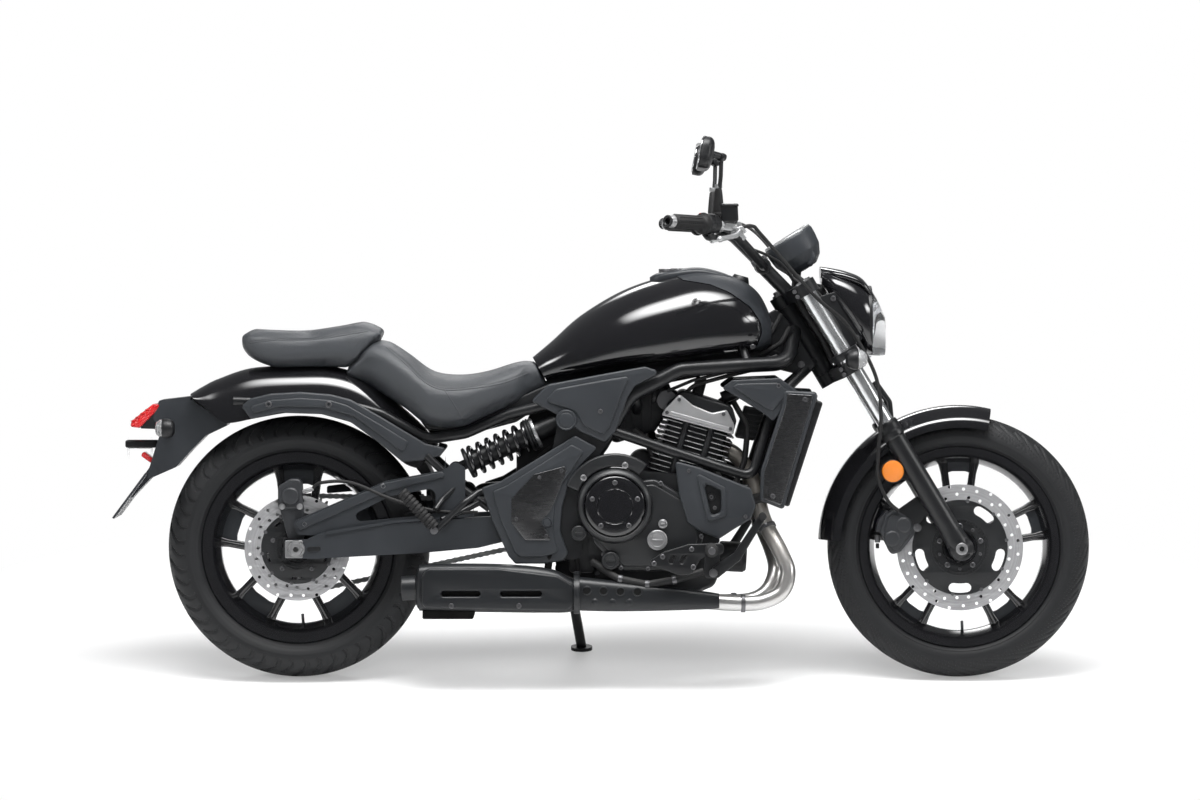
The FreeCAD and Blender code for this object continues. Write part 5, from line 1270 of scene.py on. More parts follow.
class MakeEngineCovers(bpy.types.Operator):
    """Clutch cover, case covers, generator cover, plugs, caps and their bolts."""

    bl_idname = "motorcycle.engine_covers"
    bl_label = "Engine covers"

    def execute(self, context):
        made = Piece("engine", "gloss_cover", "bolt", "brushed")
        side = -ALONG_Y
        made.add(spun([(0, 62), (0, 70), (40, 70), (41.4, 68.8), (42.8, 70), (62, 70), (67, 69),
                       (70.5, 66.5), (72, 62), (0, 62)], CLUTCH, side, 96), 1)
        made.add(spun([(72.4, 0), (72.4, 65), (75, 68), (79, 66.5), (85, 62), (89, 54), (89, 0)], CLUTCH,
                      side, 96))
        made.add(spun([(72.3, 65.6), (73.6, 68.6), (76.4, 68.0), (77.4, 66.0), (74, 64), (72.3, 65.6)],
                      CLUTCH, side, 96), 1)
        bolts = [(CLUTCH.x + 56 * math.cos(math.radians(90 + 72 * step)), CLUTCH.z
                  + 56 * math.sin(math.radians(90 + 72 * step))) for step in range(5)]
        made.add(right_side(bolts, 189.5, "socket", 6, 4.5), 2)
        outline = rounded([(700, 330, 24), (770, 262, 24), (900, 262, 30), (965, 330, 40), (950, 420, 40),
                           (850, 480, 30), (720, 470, 30)])
        made.add(plate(outline, -160, -128, 6))
        made.panel([(712, 336, 20), (774, 274, 20), (894, 274, 26), (952, 332, 34), (938, 414, 34),
                    (846, 468, 24), (726, 460, 24)], -166, -158, 5)
        rim = [(707, 345), (728, 302), (768, 270), (832, 268), (895, 270), (940, 306), (958, 345),
               (954, 396), (926, 440), (862, 470)]
        made.add(right_side(rim, 160, "socket", 5.5, 6), 2)
        made.add(plate(arc_band((754, 417), 92, 124, 52, 158), -174, -150, 5))
        made.add(right_side([(680, 484), (778, 513)], 174, "socket", 7.5, 5), 3)
        plugs = ((744, 288, 21, 0), (669, 353, 18, 0), (854, 337, 24, 3), (867, 375, 11, 3))
        for x, z, radius, finish in plugs:
            made.turned([(0, 0), (radius * 0.62, 0), (radius * 0.66, -2), (radius - 2, -2), (radius, 0),
                         (radius, 12), (0, 12)], 0.8, (x, -178, z), ALONG_Y, 40, finish)
            made.panel([(x - radius * 0.5, z - 2.2, 1), (x + radius * 0.5, z - 2.2, 1),
                        (x + radius * 0.5, z + 2.2, 1), (x - radius * 0.5, z + 2.2, 1)], -179.5, -176, 0.8,
                       finish)
        centre = Vector((878, 130, 352))
        made.turned([(0, 48), (28, 48), (34, 45), (68, 41), (80, 30), (88, 26), (88, 0), (0, 0)], 2.5,
                    centre, ALONG_Y, 96)
        ring = [(on_circle(centre, 82, angle, 26), ALONG_Y) for angle in range(15, 375, 45)]
        made.add(repeated(bolt_form(5.5, 6), ring), 2)
        sprocket_cover = rounded([(652, 330, 16), (700, 304, 20), (780, 304, 20), (780, 440, 20),
                                  (700, 446, 24), (652, 420, 16)])
        made.add(plate(sprocket_cover, 130, 141, 3))
        made.add(repeated(bolt_form(5, 5), [((x, 141, z), (0, 1, 0)) for x,
                                            z in ((664, 342), (764, 318), (764, 428), (668, 412))]), 2)
        made.done("clutch_and_case_covers", "chassis", "engine_black", ["engine_covers"])
        hose = Piece("rubber", "bolt")
        path = [(700, -150, 286), (760, -176, 246), (830, -180, 232), (900, -178, 244), (962, -166, 262)]
        hose.add(tube(path, 9, 40))
        for spot, ahead in (((766, -176.5, 244.6), (1, 0, -0.2)), ((830, -180, 232), (1, 0, 0)),
                            ((894, -178.2, 243), (1, 0, 0.2))):
            hose.turned([(9, -5), (10.6, -5), (10.6, 5), (9, 5)], 0.5, spot, ahead, 28, 1)
        hose.done("coolant_hose", "chassis", "rubber")
        return {"FINISHED"}


class MakeExhaust(bpy.types.Operator):
    """Muffler with its slotted sleeve, heat shield with grommets, and clamps; near-black plates and discs of
    painted shade fill the slots, the outlet and the grommets, whose holes are not cut.
    """

    bl_idname = "motorcycle.exhaust"
    bl_label = "Exhaust"

    def execute(self, context):
        # finish 1 is painted shade, a near-black that stands in for shade
        made = Piece("muffler", "painted_shade", "bolt")
        can = skin([(284, 184, 252, 26, 0.5), (292, 172, 272, 36, 0.5), (312, 168, 279, 38, 0.5),
                    (480, 165, 279, 38, 0.5), (600, 164, 268, 38, 0.5), (648, 166, 246, 38, 0.5),
                    (668, 178, 236, 36, 0.5)], 3.6, 3.6, 5, 56)
        bmesh.ops.translate(can, vec=(0, -150, 0), verts=can.verts)
        made.add(can)
        slots = [[(x, z) for x, z in rounded([(low, 205, 6), (high, 205, 6), (high, 217.5, 6),
                                              (low, 217.5, 6)])] for low, high in ((345, 437), (484, 582))]
        sleeve = plate(rounded([(300, 178, 14), (640, 172, 14), (660, 186, 10), (660, 230, 14),
                                (618, 254, 24), (480, 271, 60), (310, 271, 16), (298, 250, 12)]), -200, -183,
                       5, slots)
        made.add(sleeve)
        # painted shade: a near-black plate behind the sleeve's slots stands in for the shade inside them
        made.panel([(338, 198, 4), (590, 198, 4), (590, 224, 4), (338, 224, 4)], -188.6, -186, 0.5, 1)
        made.add(right_side([(369, 183), (528, 183)], 200, "button", 6.5, 3), 2)
        made.add(spun([(22, 18), (29, 18), (29, -14), (27.5, -16), (25, -16), (25, 14)], (266, -150, 222),
                      (1, 0, 0.06), 48))
        # painted shade: a near-black disc in the outlet stands in for the shade down its bore
        made.add(spun([(0, 16), (24, 16), (24, 14), (0, 14)], (266, -150, 222), (1, 0, 0.06), 40), 1)
        shield = skin([(664, 170, 250, 30, 0.5), (760, 168, 240, 29, 0.5), (880, 170, 226, 25, 0.5),
                       (990, 174, 212, 20, 0.5), (996, 178, 208, 16, 0.5)], 3.0, 3.0, 5, 48)
        bmesh.ops.translate(shield, vec=(0, -166, 0), verts=shield.verts)
        made.add(shield)
        for index, x in enumerate((688, 727, 767, 807)):
            made.turned([(8.2, -2.4), (11, -1.4), (11, 2), (8.2, 2), (8.2, -2.4)], 0.5,
                        (x, -196.6 + index * 0.9, 219 - index * 1.0), ALONG_Y, 28)
            # painted shade: a near-black disc inside each ring stands in for the shade of a hole, which is
            # not cut
            made.add(spun([(0, 0), (8.4, 0), (8.4, 1), (0, 1)], (x, -198 + index * 0.9, 219 - index * 1.0),
                          ALONG_Y, 24), 1)
        for index, x in enumerate((707, 748, 788)):
            made.add(spun([(0, 3), (5, 2.2), (8, 0.8), (9, 0), (0, 0)], (x, -195.6 + index * 0.8, 191),
                          -ALONG_Y, 24))
        band = spun(eased([(40, -7), (46, -7), (46, 7), (40, 7), (40, -7)], 1), (664, -166, 208), (1, 0, 0),
                    56)
        made.add(band)
        made.add(rod((664, -166, 250), (664, -166, 262), 7, 1))
        # the rail under the can and the hanger tube also take the painted-shade black
        made.panel([(300, 150, 4), (420, 150, 6), (426, 172, 4), (300, 172, 4)], -176, -150, 3, 1)
        made.add(tube([(596, -150, 268), (600, -156, 300), (604, -158, 330)], 9, 14), 1)
        made.done("slotted_muffler", "chassis", "black_exhaust", ["muffler"])
        self.headers()
        return {"FINISHED"}

    def headers(self):
        """Two pipes from the head that bow forwards and meet under the engine."""
        made = Piece("header", "engine", "bolt")
        right = [(1000, -62, 548), (1044, -64, 530), (1084, -72, 470), (1106, -96, 384), (1146, -132, 306),
                 (1163, -148, 258), (1147, -156, 213), (1100, -160, 190), (1040, -162, 187), (960, -164, 192)]
        left = [(1000, 62, 548), (1044, 62, 530), (1080, 50, 470), (1096, 20, 388), (1126, -40, 312),
                (1136, -86, 262), (1118, -106, 216), (1080, -114, 192), (1020, -126, 188), (960, -150, 192)]
        for route in (right, left):
            spots = [Vector(spot) for spot in through(route, 8)]
            made.add(tube(spots, 18.5, 400, 28))
            for index, finish in ((2, 1), (26, 2), (62, 2)):
                ahead = spots[index + 1] - spots[index - 1]
                wide = 30 if finish == 1 else 21.5
                made.turned([(18, -5), (wide, -5), (wide, 5), (18, 5), (18, -5)], 1, spots[index], ahead, 40,
                            finish)
        made.done("header_pipes", "chassis", "steel", ["exhaust_headers"])


class MakeEngineBay(bpy.types.Operator):
    """Throttle bodies, hoses, sump, filter, fan shroud, under-tank tray and brackets."""

    bl_idname = "motorcycle.engine_bay"
    bl_label = "Engine bay"

    def execute(self, context):
        made = Piece("plastic", "engine", "rubber", "bolt")
        tray = [(556, 686, 6), (600, 714, 20), (700, 730, 20), (860, 758, 20), (1000, 780, 20),
                (1120, 790, 10), (1150, 778, 6), (1150, 742, 8), (1000, 728, 20), (880, 704, 20),
                (756, 668, 8), (570, 664, 8)]
        made.panel(tray, -46, 46, 5)
        base = [(276, 640, 8), (306, 596, 8), (400, 580, 20), (520, 612, 20), (618, 676, 8), (600, 704, 10),
                (500, 660, 20), (400, 628, 20), (330, 640, 8), (290, 668, 6)]
        made.panel(base, -84, 84, 5)
        self.intake(made)
        self.front(made)
        self.lower(made)
        box = [(520, 474, 10), (560, 470, 10), (712, 566, 12), (708, 640, 14), (640, 664, 12),
               (556, 640, 12), (520, 560, 12)]
        made.panel(box, -52, 52, 6)
        made.add(tube([(560, -58, 520), (620, -62, 566), (700, -66, 600), (760, -70, 640)], 5, 40, 14), 2)
        made.done("engine_bay_parts", "chassis", "black_plastic")
        stay = Piece("frame", "bolt")
        for line, size in (([(308, -116, 534), (382, -116, 464), (458, -118, 408)], 9.5),
                           ([(382, -118, 464), (346, -130, 430), (330, -150, 408)], 7),
                           ([(436, -120, 424), (380, -134, 396), (344, -152, 384)], 7)):
            stay.add(tube(line, size, 40, 20), 0, mirror=True)
        stay.done("peg_stays", "chassis", "satin_black")
        self.brackets()
        return {"FINISHED"}

    def intake(self, made):
        for side in (-1, 1):
            start = Vector((846, side * 44, 676))
            made.turned([(0, 0), (27, 0), (27, 8), (23, 10), (23, 30), (26, 32), (26, 52), (22, 54),
                         (22, 78), (0, 78)], 1.4, start, (1, 0, -0.34), 48, 1)
            made.turned([(22.4, 12), (24.6, 12), (24.6, 22), (22.4, 22), (22.4, 12)], 0.4, start,
                        (1, 0, -0.34), 48, 3)
            made.add(rod((884, side * 44, 682), (868, side * 44, 722), 7, 1, 20))
            made.add(rod((948, side * 46, 664), (962, side * 46, 716), 13, 2, 28), 2)
        made.add(rod((868, -84, 718), (868, 84, 718), 8, 1, 20), 1)
        made.turned([(0, 0), (20, 0), (24, 3), (20, 6), (24, 9), (0, 9)], 0.8, (878, -84, 664), -ALONG_Y, 40,
                    3)
        made.add(tube([(878, -92, 686), (940, -98, 712), (1040, -92, 736), (1140, -74, 770)], 4, 50, 14), 2)
        made.add(tube([(884, -90, 640), (940, -92, 700), (1030, -80, 724), (1150, -62, 752)], 5, 50, 14), 2)
        made.add(tube([(760, -74, 700), (830, -80, 724), (920, -84, 728), (1020, -76, 742)], 8, 60, 18), 2)
        made.add(tube([(800, -70, 590), (838, -92, 560), (850, -100, 520), (846, -104, 486)], 11, 40, 22), 2)
        made.add(tube([(836, 70, 590), (850, 90, 560), (862, 96, 520), (850, 100, 480)], 11, 40, 22), 2)
        starter = Vector((820, -70, 512))
        made.turned([(0, 0), (30, 0), (33, 4), (33, 120), (30, 124), (0, 124)], 2, starter, ALONG_Y, 48, 1)

    def front(self, made):
        place = Matrix.Translation((1130, 0, 424)) @ Matrix.Rotation(math.radians(18), 4, "Y")
        shroud = plate(rounded([(-40, 20, 8), (1, 10, 3), (1, 246, 3), (-40, 226, 8)]), -41, 41, 4)
        made.add(moved(shroud, place))
        made.panel([(1040, 574, 5), (1086, 566, 5), (1110, 636, 5), (1064, 650, 5)], -38, 38, 3, 1)
        ribs = [Matrix.Translation((1046 + 5 * step, 0, 580 + 13 * step)) for step in range(6)]
        rib = plate(rounded([(-3, -2, 1), (44, -8, 1), (44, -4, 1), (-3, 2, 1)]), -41, 41, 0.8)
        made.add(repeated(rib, ribs, "engine"), 1)
        made.add(tube([(1150, -84, 452), (1112, -92, 434), (1060, -96, 424), (1004, -100, 392)], 14, 40, 24),
                 2)
        made.add(tube([(1010, 44, 650), (1060, 58, 688), (1130, 70, 690), (1184, 76, 660)], 15, 40, 24), 2)
        made.add(tube([(1036, -60, 660), (1070, -80, 600), (1062, -90, 520), (1030, -100, 440)], 7, 50, 18),
                 2)
        made.add(tube([(1080, -50, 700), (1120, -90, 640), (1112, -96, 560), (1086, -100, 500)], 5, 50, 14),
                 2)

    def lower(self, made):
        pan = [(690, 270, 10), (704, 222, 20), (760, 200, 20), (936, 200, 24), (990, 222, 24),
               (1010, 270, 10)]
        made.panel(pan, -86, 86, 10, 1)
        made.add(right_side([(712, 256), (780, 214), (860, 210), (940, 214), (990, 250)], 86, "hexagon", 6,
                            5), 3)
        made.turned([(0, 0), (34, 0), (36, 6), (36, 58), (31, 66), (0, 66)], 2, (1002, -34, 292),
                    (1, 0, -0.06), 48)
        made.add(rod((640, -120, 300), (640, 120, 300), 12, 2, 28), 1)
        made.panel([(620, 290, 8), (700, 262, 8), (712, 236, 8), (690, 226, 8), (610, 262, 8)], -96, -84, 2,
                   mirror=True)
        made.panel([(640, 470, 10), (700, 500, 10), (712, 420, 10), (706, 256, 10), (646, 256, 10)], -118,
                   -104, 3, 1, mirror=True)
        made.add(tube([(668, -130, 250), (660, -134, 320), (668, -134, 400), (690, -128, 470)], 6, 60, 16), 2)

    def brackets(self):
        gusset = Piece("frame", "bolt", "rubber")
        side = [(1088, 770, 8), (1116, 866, 10), (1140, 880, 8), (1168, 850, 6), (1232, 746, 6),
                (1200, 722, 8), (1120, 742, 10)]
        gusset.panel(side, -44, -36, 2, mirror=True)
        gusset.add(right_side([(1124, 842), (1198, 748), (1120, 764)], 44, "hexagon", 7, 6), 1, mirror=True)
        for line in ([(1096, -50, 790), (1130, -58, 830), (1150, -52, 868)],
                     [(1100, -50, 770), (1150, -60, 800), (1170, -50, 836)]):
            gusset.add(tube(line, 6, 30, 18), 2)
        gusset.done("head_gussets", "chassis", "satin_black")
        stays = Piece("frame", "bolt", "rubber")
        spots = [steered(52, 0, 500), steered(118, 0, 512), steered(128, 0, 560), steered(116, 0, 640),
                 steered(52, 0, 656)]
        stay = rounded([(spot.x, spot.z, 10) for spot in spots])
        stays.add(plate(stay, -92, -86, 1.8), 0, mirror=True)
        for along, ahead in ((520, 104), (628, 104)):
            spot = steered(ahead, 0, along)
            stays.add(right_side([(spot.x, spot.z)], 92, "button", 7, 3), 1, mirror=True)
        for shift in (-60, -40, 44):
            line = [steered(28, shift, 496), steered(34, shift * 1.1, 560), steered(30, shift * 1.1, 630),
                    steered(34, shift, 668)]
            stays.add(tube(line, 8, 60, 18), 2)
        stays.done("lamp_stays", "steering", "satin_black")


# Tank and seats

TANK_ROWS = [
    (540, 690, 750, 48, 0.4), (600, 709, 800, 90, 0.4), (671, 718, 863, 122, 0.36),
    (767, 737, 921, 150, 0.34), (862, 748, 955, 160, 0.34), (955, 762, 972, 157, 0.34),
    (1040, 772, 954, 138, 0.36), (1094, 780, 918, 106, 0.4), (1124, 792, 862, 67, 0.45)]
TANK_SEAM = Vector((580, 0, 730))


def cut_by_plane(form, spot, normal):
    """Keep what lies on the side that the normal points away from, and close the cut."""
    found = bmesh.ops.bisect_plane(form, geom=form.verts[:] + form.edges[:] + form.faces[:], plane_co=spot,
                                   plane_no=normal, clear_outer=True)
    edges = [item for item in found["geom_cut"] if isinstance(item, bmesh.types.BMEdge)]
    bmesh.ops.edgenet_fill(form, edges=edges)
    return form


class MakeTank(bpy.types.Operator):
    """Fuel tank with its matt front band, centre console, seam and filler cap."""

    bl_idname = "motorcycle.tank"
    bl_label = "Fuel tank"

    def execute(self, context):
        made = Piece("paint", "cover", "bolt", "plastic")
        seam_normal = Vector((-math.cos(math.radians(32)), 0, -math.sin(math.radians(32))))
        tank = cut_by_plane(skin(TANK_ROWS, 2.1, 3.2, 10, 112), TANK_SEAM, seam_normal)
        made.add(tank)
        swollen = skin([(x + (1.6 if x > 1000 else 0), low - 1.6, top + 1.6, half + 1.6, waist) for x, low,
                        top, half, waist in TANK_ROWS], 2.1, 3.2, 10, 96)
        band = plate(rounded([(896, 1010, 0), (896, 962, 0), (916, 950, 6), (979, 940, 30), (1026, 921, 40),
                              (1074, 887, 40), (1099, 852, 40), (1104, 826, 30), (1093, 797, 20),
                              (1062, 758, 0), (1190, 758, 0), (1190, 1010, 0)], 6), -200, 200, 0.02)
        made.add(combined(swollen, band, "INTERSECT"), 1)
        console = skin([(838, 930, 956, 26, 0.5), (858, 936, 966, 48, 0.5), (905, 944, 975, 58, 0.5),
                        (955, 946, 979, 56, 0.5), (1004, 940, 969, 50, 0.5), (1046, 920, 951, 42, 0.5),
                        (1078, 900, 926, 30, 0.5)], 4.0, 2.4, 8, 64)
        made.add(console, 1)
        lock = Vector((1052, 0, 944))
        made.turned([(0, 12), (11, 12), (12, 16), (17, 16), (20, 10), (24, 0), (0, 0)], 1, lock,
                    (0.28, 0, 1), 40, 3)
        made.add(spun([(0, 13.4), (9, 13.4), (10, 12.6), (10, 11), (0, 11)], lock, (0.28, 0, 1), 32), 2)
        made.add(right_side([(1080, 792)], 118, "socket", 6, 5), 2, mirror=True)
        tank_ring = Vector((905, 0, 966))
        made.turned([(39, 0), (46, 0), (46, 9.6), (39.6, 9.6), (39, 0)], 1, tank_ring, ALONG_Z, 72, 2)
        return self.finish(made)

    def finish(self, made):
        made.done("painted_tank", "chassis", "gloss_black", ["fuel_tank"])
        cap = Piece("chrome", "plastic", "steel")
        spot = Vector((905, 0, 956))
        cap.turned([(0, 20), (20, 20), (30, 18.6), (36, 15), (37, 12), (37, 1), (0, 1)], 1.6, spot, ALONG_Z,
                   72)
        cap.add(spun([(0, 21), (16, 21), (17.5, 20), (17.5, 17), (0, 17)], spot, ALONG_Z, 48), 1)
        rim = [(spot + Vector((27 * math.cos(math.radians(angle)), 27 * math.sin(math.radians(angle)),
                               18.6)), (0, 0, 1)) for angle in range(30, 390, 60)]
        cap.add(repeated(bolt_form(2.6, 1.8), rim), 2)
        cap.add(rod(spot + Vector((-36, -13, 8)), spot + Vector((-36, 13, 8)), 4.6, 0.8, 20), 2)
        cap.done("filler_cap", "fuel_lid", "chrome", ["fuel_cap"])
        return {"FINISHED"}


RIDER_ROWS = [
    (112, 720, 780, 80, 0.6), (160, 706, 806, 99, 0.55), (205, 680, 808, 122, 0.5),
    (260, 645, 772, 144, 0.5), (318, 602, 730, 160, 0.5), (384, 600, 720, 160, 0.5),
    (450, 628, 729, 147, 0.5), (516, 652, 751, 115, 0.5), (556, 674, 762, 86, 0.5),
    (610, 704, 764, 64, 0.5)]
PASSENGER_ROWS = [
    (-135, 790, 822, 60, 0.5), (-116, 764, 830, 82, 0.5), (-60, 744, 827, 98, 0.5),
    (20, 744, 826, 100, 0.5), (100, 744, 837, 98, 0.5), (160, 740, 847, 92, 0.5),
    (206, 740, 838, 84, 0.5)]


def filled_pad(name, form, limit):
    """Cloth filled with air: remeshed, blown up for twenty frames, and smoothed once."""
    chosen = settings()
    moved(form, PARKED)
    bmesh.ops.recalc_face_normals(form, faces=form.faces)
    mesh = bpy.data.meshes.new(name)
    form.to_mesh(mesh)
    form.free()
    pad = placed(name, mesh)
    grid = pad.modifiers.new("grid", "REMESH")
    grid.mode = "VOXEL"
    grid.voxel_size = chosen.seat_voxel
    even = drawn(pad)
    pad.modifiers.remove(grid)
    pad.data = even
    bpy.data.meshes.remove(mesh)
    rest = [vert.co.copy() for vert in even.vertices]
    cloth = pad.modifiers.new("cloth", "CLOTH")
    cloth.settings.use_pressure = True
    cloth.settings.uniform_pressure_force = chosen.seat_pressure
    cloth.settings.effector_weights.gravity = 0
    cloth.settings.quality = 6
    cloth.point_cache.frame_start = 1
    cloth.point_cache.frame_end = 20
    for step in range(1, 21):
        bpy.context.scene.frame_set(step)
    blown = drawn(pad)
    pad.modifiers.remove(cloth)
    bpy.context.scene.frame_set(1)
    for vert, before, after in zip(even.vertices, rest, blown.vertices):
        move = after.co - before
        vert.co = before + move * min(1, limit / max(move.length, 1e-9))
    bpy.data.meshes.remove(blown)
    smooth = pad.modifiers.new("smooth", "SUBSURF")
    smooth.levels = smooth.render_levels = 1
    final = drawn(pad)
    bpy.data.objects.remove(pad)
    bpy.data.meshes.remove(even)
    final.shade_smooth()
    final.materials.clear()
    final.materials.append(FINISHES["leather"].material)
    return final


def lies_on(tree, x, z, side, inward=0.0):
    """Point of the pad's skin that a line across the machine meets first, upright."""
    start = PARKED @ Vector((x, side * 400, z))
    aim = (PARKED.to_3x3() @ Vector((0, -side, 0))).normalized()
    spot, normal, _, _ = tree.ray_cast(start, aim)
    if spot is None:
        return None
    spot = UPRIGHT @ spot
    normal = (UPRIGHT.to_3x3() @ normal).normalized()
    return spot - normal * inward, normal


def seam_on(made, tree, route, side, radius=2.2, stitch=0):
    """Piping laid along a seam of the pad, with a row of stitches beside it."""
    smooth_route = through(route, 9)
    spots = []
    for x, z in smooth_route:
        found = lies_on(tree, x, z, side, radius * 0.35)
        if found:
            spots.append(found)
    if len(spots) < 3:
        raise RuntimeError("a seam misses its pad")
    made.add(tube([spot for spot, _ in spots], radius, 400, 10), 0)
    if stitch:
        places = []
        length = 0.0
        for (here, normal), (there, _) in zip(spots, spots[1:]):
            gap = (there - here).length
            steps = int((length + gap) // 7.5)
            for step in range(steps):
                share = ((step + 1) * 7.5 - length) / gap
                if 0 <= share <= 1:
                    places.append((here.lerp(there, share), there - here, normal))
            length = (length + gap) % 7.5
        turned = []
        for spot, along, normal in places:
            along = along.normalized()
            across = normal.cross(along).normalized()
            turn = Matrix((along, across, along.cross(across))).transposed().to_4x4()
            turned.append(Matrix.Translation(spot + across * stitch + normal * 1.0) @ turn)
        thread = bmesh.new()
        bmesh.ops.create_cube(thread, size=1)
        bmesh.ops.scale(thread, vec=(4.4, 1.0, 0.9), verts=thread.verts)
        made.add(repeated(thread, turned, "thread"), 1)


class MakeSeats(bpy.types.Operator):
    """Padded rider and passenger seats with piping and stitches."""

    bl_idname = "motorcycle.seats"
    bl_label = "Seats"

    def execute(self, context):
        slope = math.radians(32)
        rider = skin(shrunk(RIDER_ROWS, 3), 3.0, 3.4, 8, 72)
        cut_by_plane(rider, Vector((578, 0, 728)), Vector((math.cos(slope), 0, math.sin(slope))))
        back = math.radians(47.5)
        cut_by_plane(rider, Vector((161, 0, 777)), Vector((-math.cos(back), 0, math.sin(back))))
        mesh = filled_pad("rider_seat_pad", rider, 0.006)
        seat = handed("rider_seat_pad", mesh, "chassis", ["rider_seat"])
        passenger = skin(shrunk(PASSENGER_ROWS, 3), 3.4, 3.6, 8, 72)
        cut_by_plane(passenger, Vector((158.5, 0, 779.5)), Vector((math.cos(back), 0, -math.sin(back))))
        mesh = filled_pad("passenger_seat_pad", passenger, 0.006)
        second = handed("passenger_seat_pad", mesh, "chassis", ["passenger_seat"])
        seams = Piece("leather", "thread")
        tree = BVHTree.FromObject(seat, bpy.context.evaluated_depsgraph_get())
        second_tree = BVHTree.FromObject(second, bpy.context.evaluated_depsgraph_get())
        for side in (-1, 1):
            seam_on(seams, tree, [(212, 790), (258, 752), (306, 708), (352, 690), (420, 694), (490, 706),
                                  (548, 728)], side, 2.0, 6)
            seam_on(seams, tree, [(352, 690), (372, 660), (388, 632), (396, 612)], side, 1.6, 0)
            seam_on(seams, second_tree, [(-112, 800), (-60, 806), (0, 806), (70, 812), (130, 822),
                                         (168, 828)], side, 1.6, 5)
        seams.done("seat_seams", "chassis", "seat_leather")
        return {"FINISHED"}


def shrunk(rows, by):
    """Loft rows drawn in by a distance, for a pad that then swells back."""
    return [(x, low + by, top - by, half - by, waist) for x, low, top, half, waist in rows]


# Covers

UPPER_COVER = [
    (556, 664, 6), (597, 704, 12), (719, 727, 12), (825, 746, 8), (866, 733, 8), (801, 700, 20),
    (785, 674, 20), (756, 594, 10), (731, 566, 8), (672, 592, 10), (640, 620, 20)]
PIVOT_COVER = [
    (439, 460, 6), (484, 475, 10), (660, 583, 8), (714, 554, 8), (672, 510, 20), (648, 475, 30),
    (630, 416, 40), (625, 357, 30), (644, 305, 14), (632, 287, 8), (590, 280, 10), (519, 280, 8),
    (503, 298, 12), (465, 381, 30), (449, 428, 20)]
LOWER_COVER = [
    (895, 524, 8), (953, 508, 10), (1075, 459, 8), (1087, 416, 12), (1075, 386, 12), (1035, 362, 14),
    (1000, 339, 12), (953, 358, 10), (925, 377, 12), (906, 440, 20)]
COVER_WINDOW = [(963, 473, 7), (1003, 452, 9), (1004, 402, 12), (981, 395, 8)]


def drawn_in(corners, by):
    """Outline moved inwards by a distance, corner by corner."""
    spots = [Vector(corner[:2]) for corner in corners]
    area = sum(a.x * b.y - b.x * a.y for a, b in zip(spots, spots[1:] + spots[:1]))
    way = math.copysign(1, area)
    made = []
    for index, corner in enumerate(corners):
        here = spots[index]
        into = (here - spots[index - 1]).normalized()
        out = (spots[(index + 1) % len(spots)] - here).normalized()
        first = Vector((-into.y, into.x)) * way
        second = Vector((-out.y, out.x)) * way
        spread = (first + second) / max(0.3, 1 + first.dot(second))
        spot = here + spread * by
        made.append((spot.x, spot.y, max(1.0, corner[2])))
    return made


class MakeSideCovers(bpy.types.Operator):
    """Creased side covers with alloy plates, caps and screws, on both sides."""

    bl_idname = "motorcycle.side_covers"
    bl_label = "Side covers"

    def execute(self, context):
        made = Piece("cover", "alloy", "bolt", "plastic")
        made.panel(UPPER_COVER, -165, -153, 5, mirror=True)
        made.panel([(588, 664, 8), (616, 694, 14), (720, 713, 14), (800, 726, 8), (782, 706, 14),
                    (768, 672, 20), (744, 604, 14), (726, 584, 10), (680, 606, 14), (660, 640, 20)], -170,
                   -160, 4.5, mirror=True)
        made.panel(PIVOT_COVER, -163, -153, 4.5, mirror=True)
        made.panel([(466, 452, 8), (496, 464, 10), (652, 562, 8), (682, 546, 8), (652, 500, 20),
                    (628, 466, 30), (612, 416, 40), (608, 352, 24), (622, 306, 12), (584, 296, 12),
                    (528, 296, 12), (516, 310, 12), (484, 384, 30), (470, 428, 20)], -168, -160, 4,
                   mirror=True)
        made.panel([(510, 434, 5), (564, 492, 6), (637, 511, 5), (640, 502, 4), (617, 439, 20),
                    (601, 404, 16), (580, 381, 14), (606, 336, 5), (543, 336, 5), (510, 378, 5)], -171, -167,
                   1.2, 1, mirror=True)
        screws = [(576, 484), (629, 500), (521, 386), (592, 346)]
        made.add(right_side(screws, 171, "button", 5, 2.4), 2, mirror=True)
        self.caps(made)
        window = rounded(COVER_WINDOW)
        made.panel(LOWER_COVER, -170, -156, 5, mirror=True, holes=[window])
        rim = rounded(drawn_in(COVER_WINDOW, -13))
        made.add(plate(rim, -174, -166, 3.5, [rounded(drawn_in(COVER_WINDOW, -2))]), 0, mirror=True)
        made.panel(drawn_in(COVER_WINDOW, -6), -158, -152, 1, 3, mirror=True)
        made.add(rod((982, -158, 438), (982, -163, 438), 9, 1.2), 3, mirror=True)
        made.add(right_side([(982, 438), (990, 412)], 160, "socket", 5, 4), 2, mirror=True)
        made.panel([(1040, 440, 4), (1070, 440, 4), (1070, 466, 4), (1040, 466, 4)], -162, -112, 2, 3,
                   mirror=True)
        made.panel([(905, 395, 4), (935, 395, 4), (935, 415, 4), (905, 415, 4)], -160, -126, 2, 3,
                   mirror=True)
        made.add(right_side([(928, 500), (1062, 392)], 170, "button", 5, 2.4), 2, mirror=True)
        made.done("creased_side_covers", "chassis", "black_plastic", ["side_covers"])
        return {"FINISHED"}

    def caps(self, made):
        for centre, radius, line in (((639, 620), 25, 166), ((594, 378), 13, 166)):
            spot = Vector((centre[0], -line, centre[1]))
            made.turned([(0, 9), (radius * 0.62, 9), (radius * 0.66, 7.4), (radius * 0.82, 7.4),
                         (radius * 0.86, 9), (radius - 2, 8.4), (radius, 5), (radius, -10), (0, -10)], 0.7,
                        spot, -ALONG_Y, 48, mirror=True)
        made.add(right_side([(720, 640)], 170, "button", 6, 2.4), 2, mirror=True)


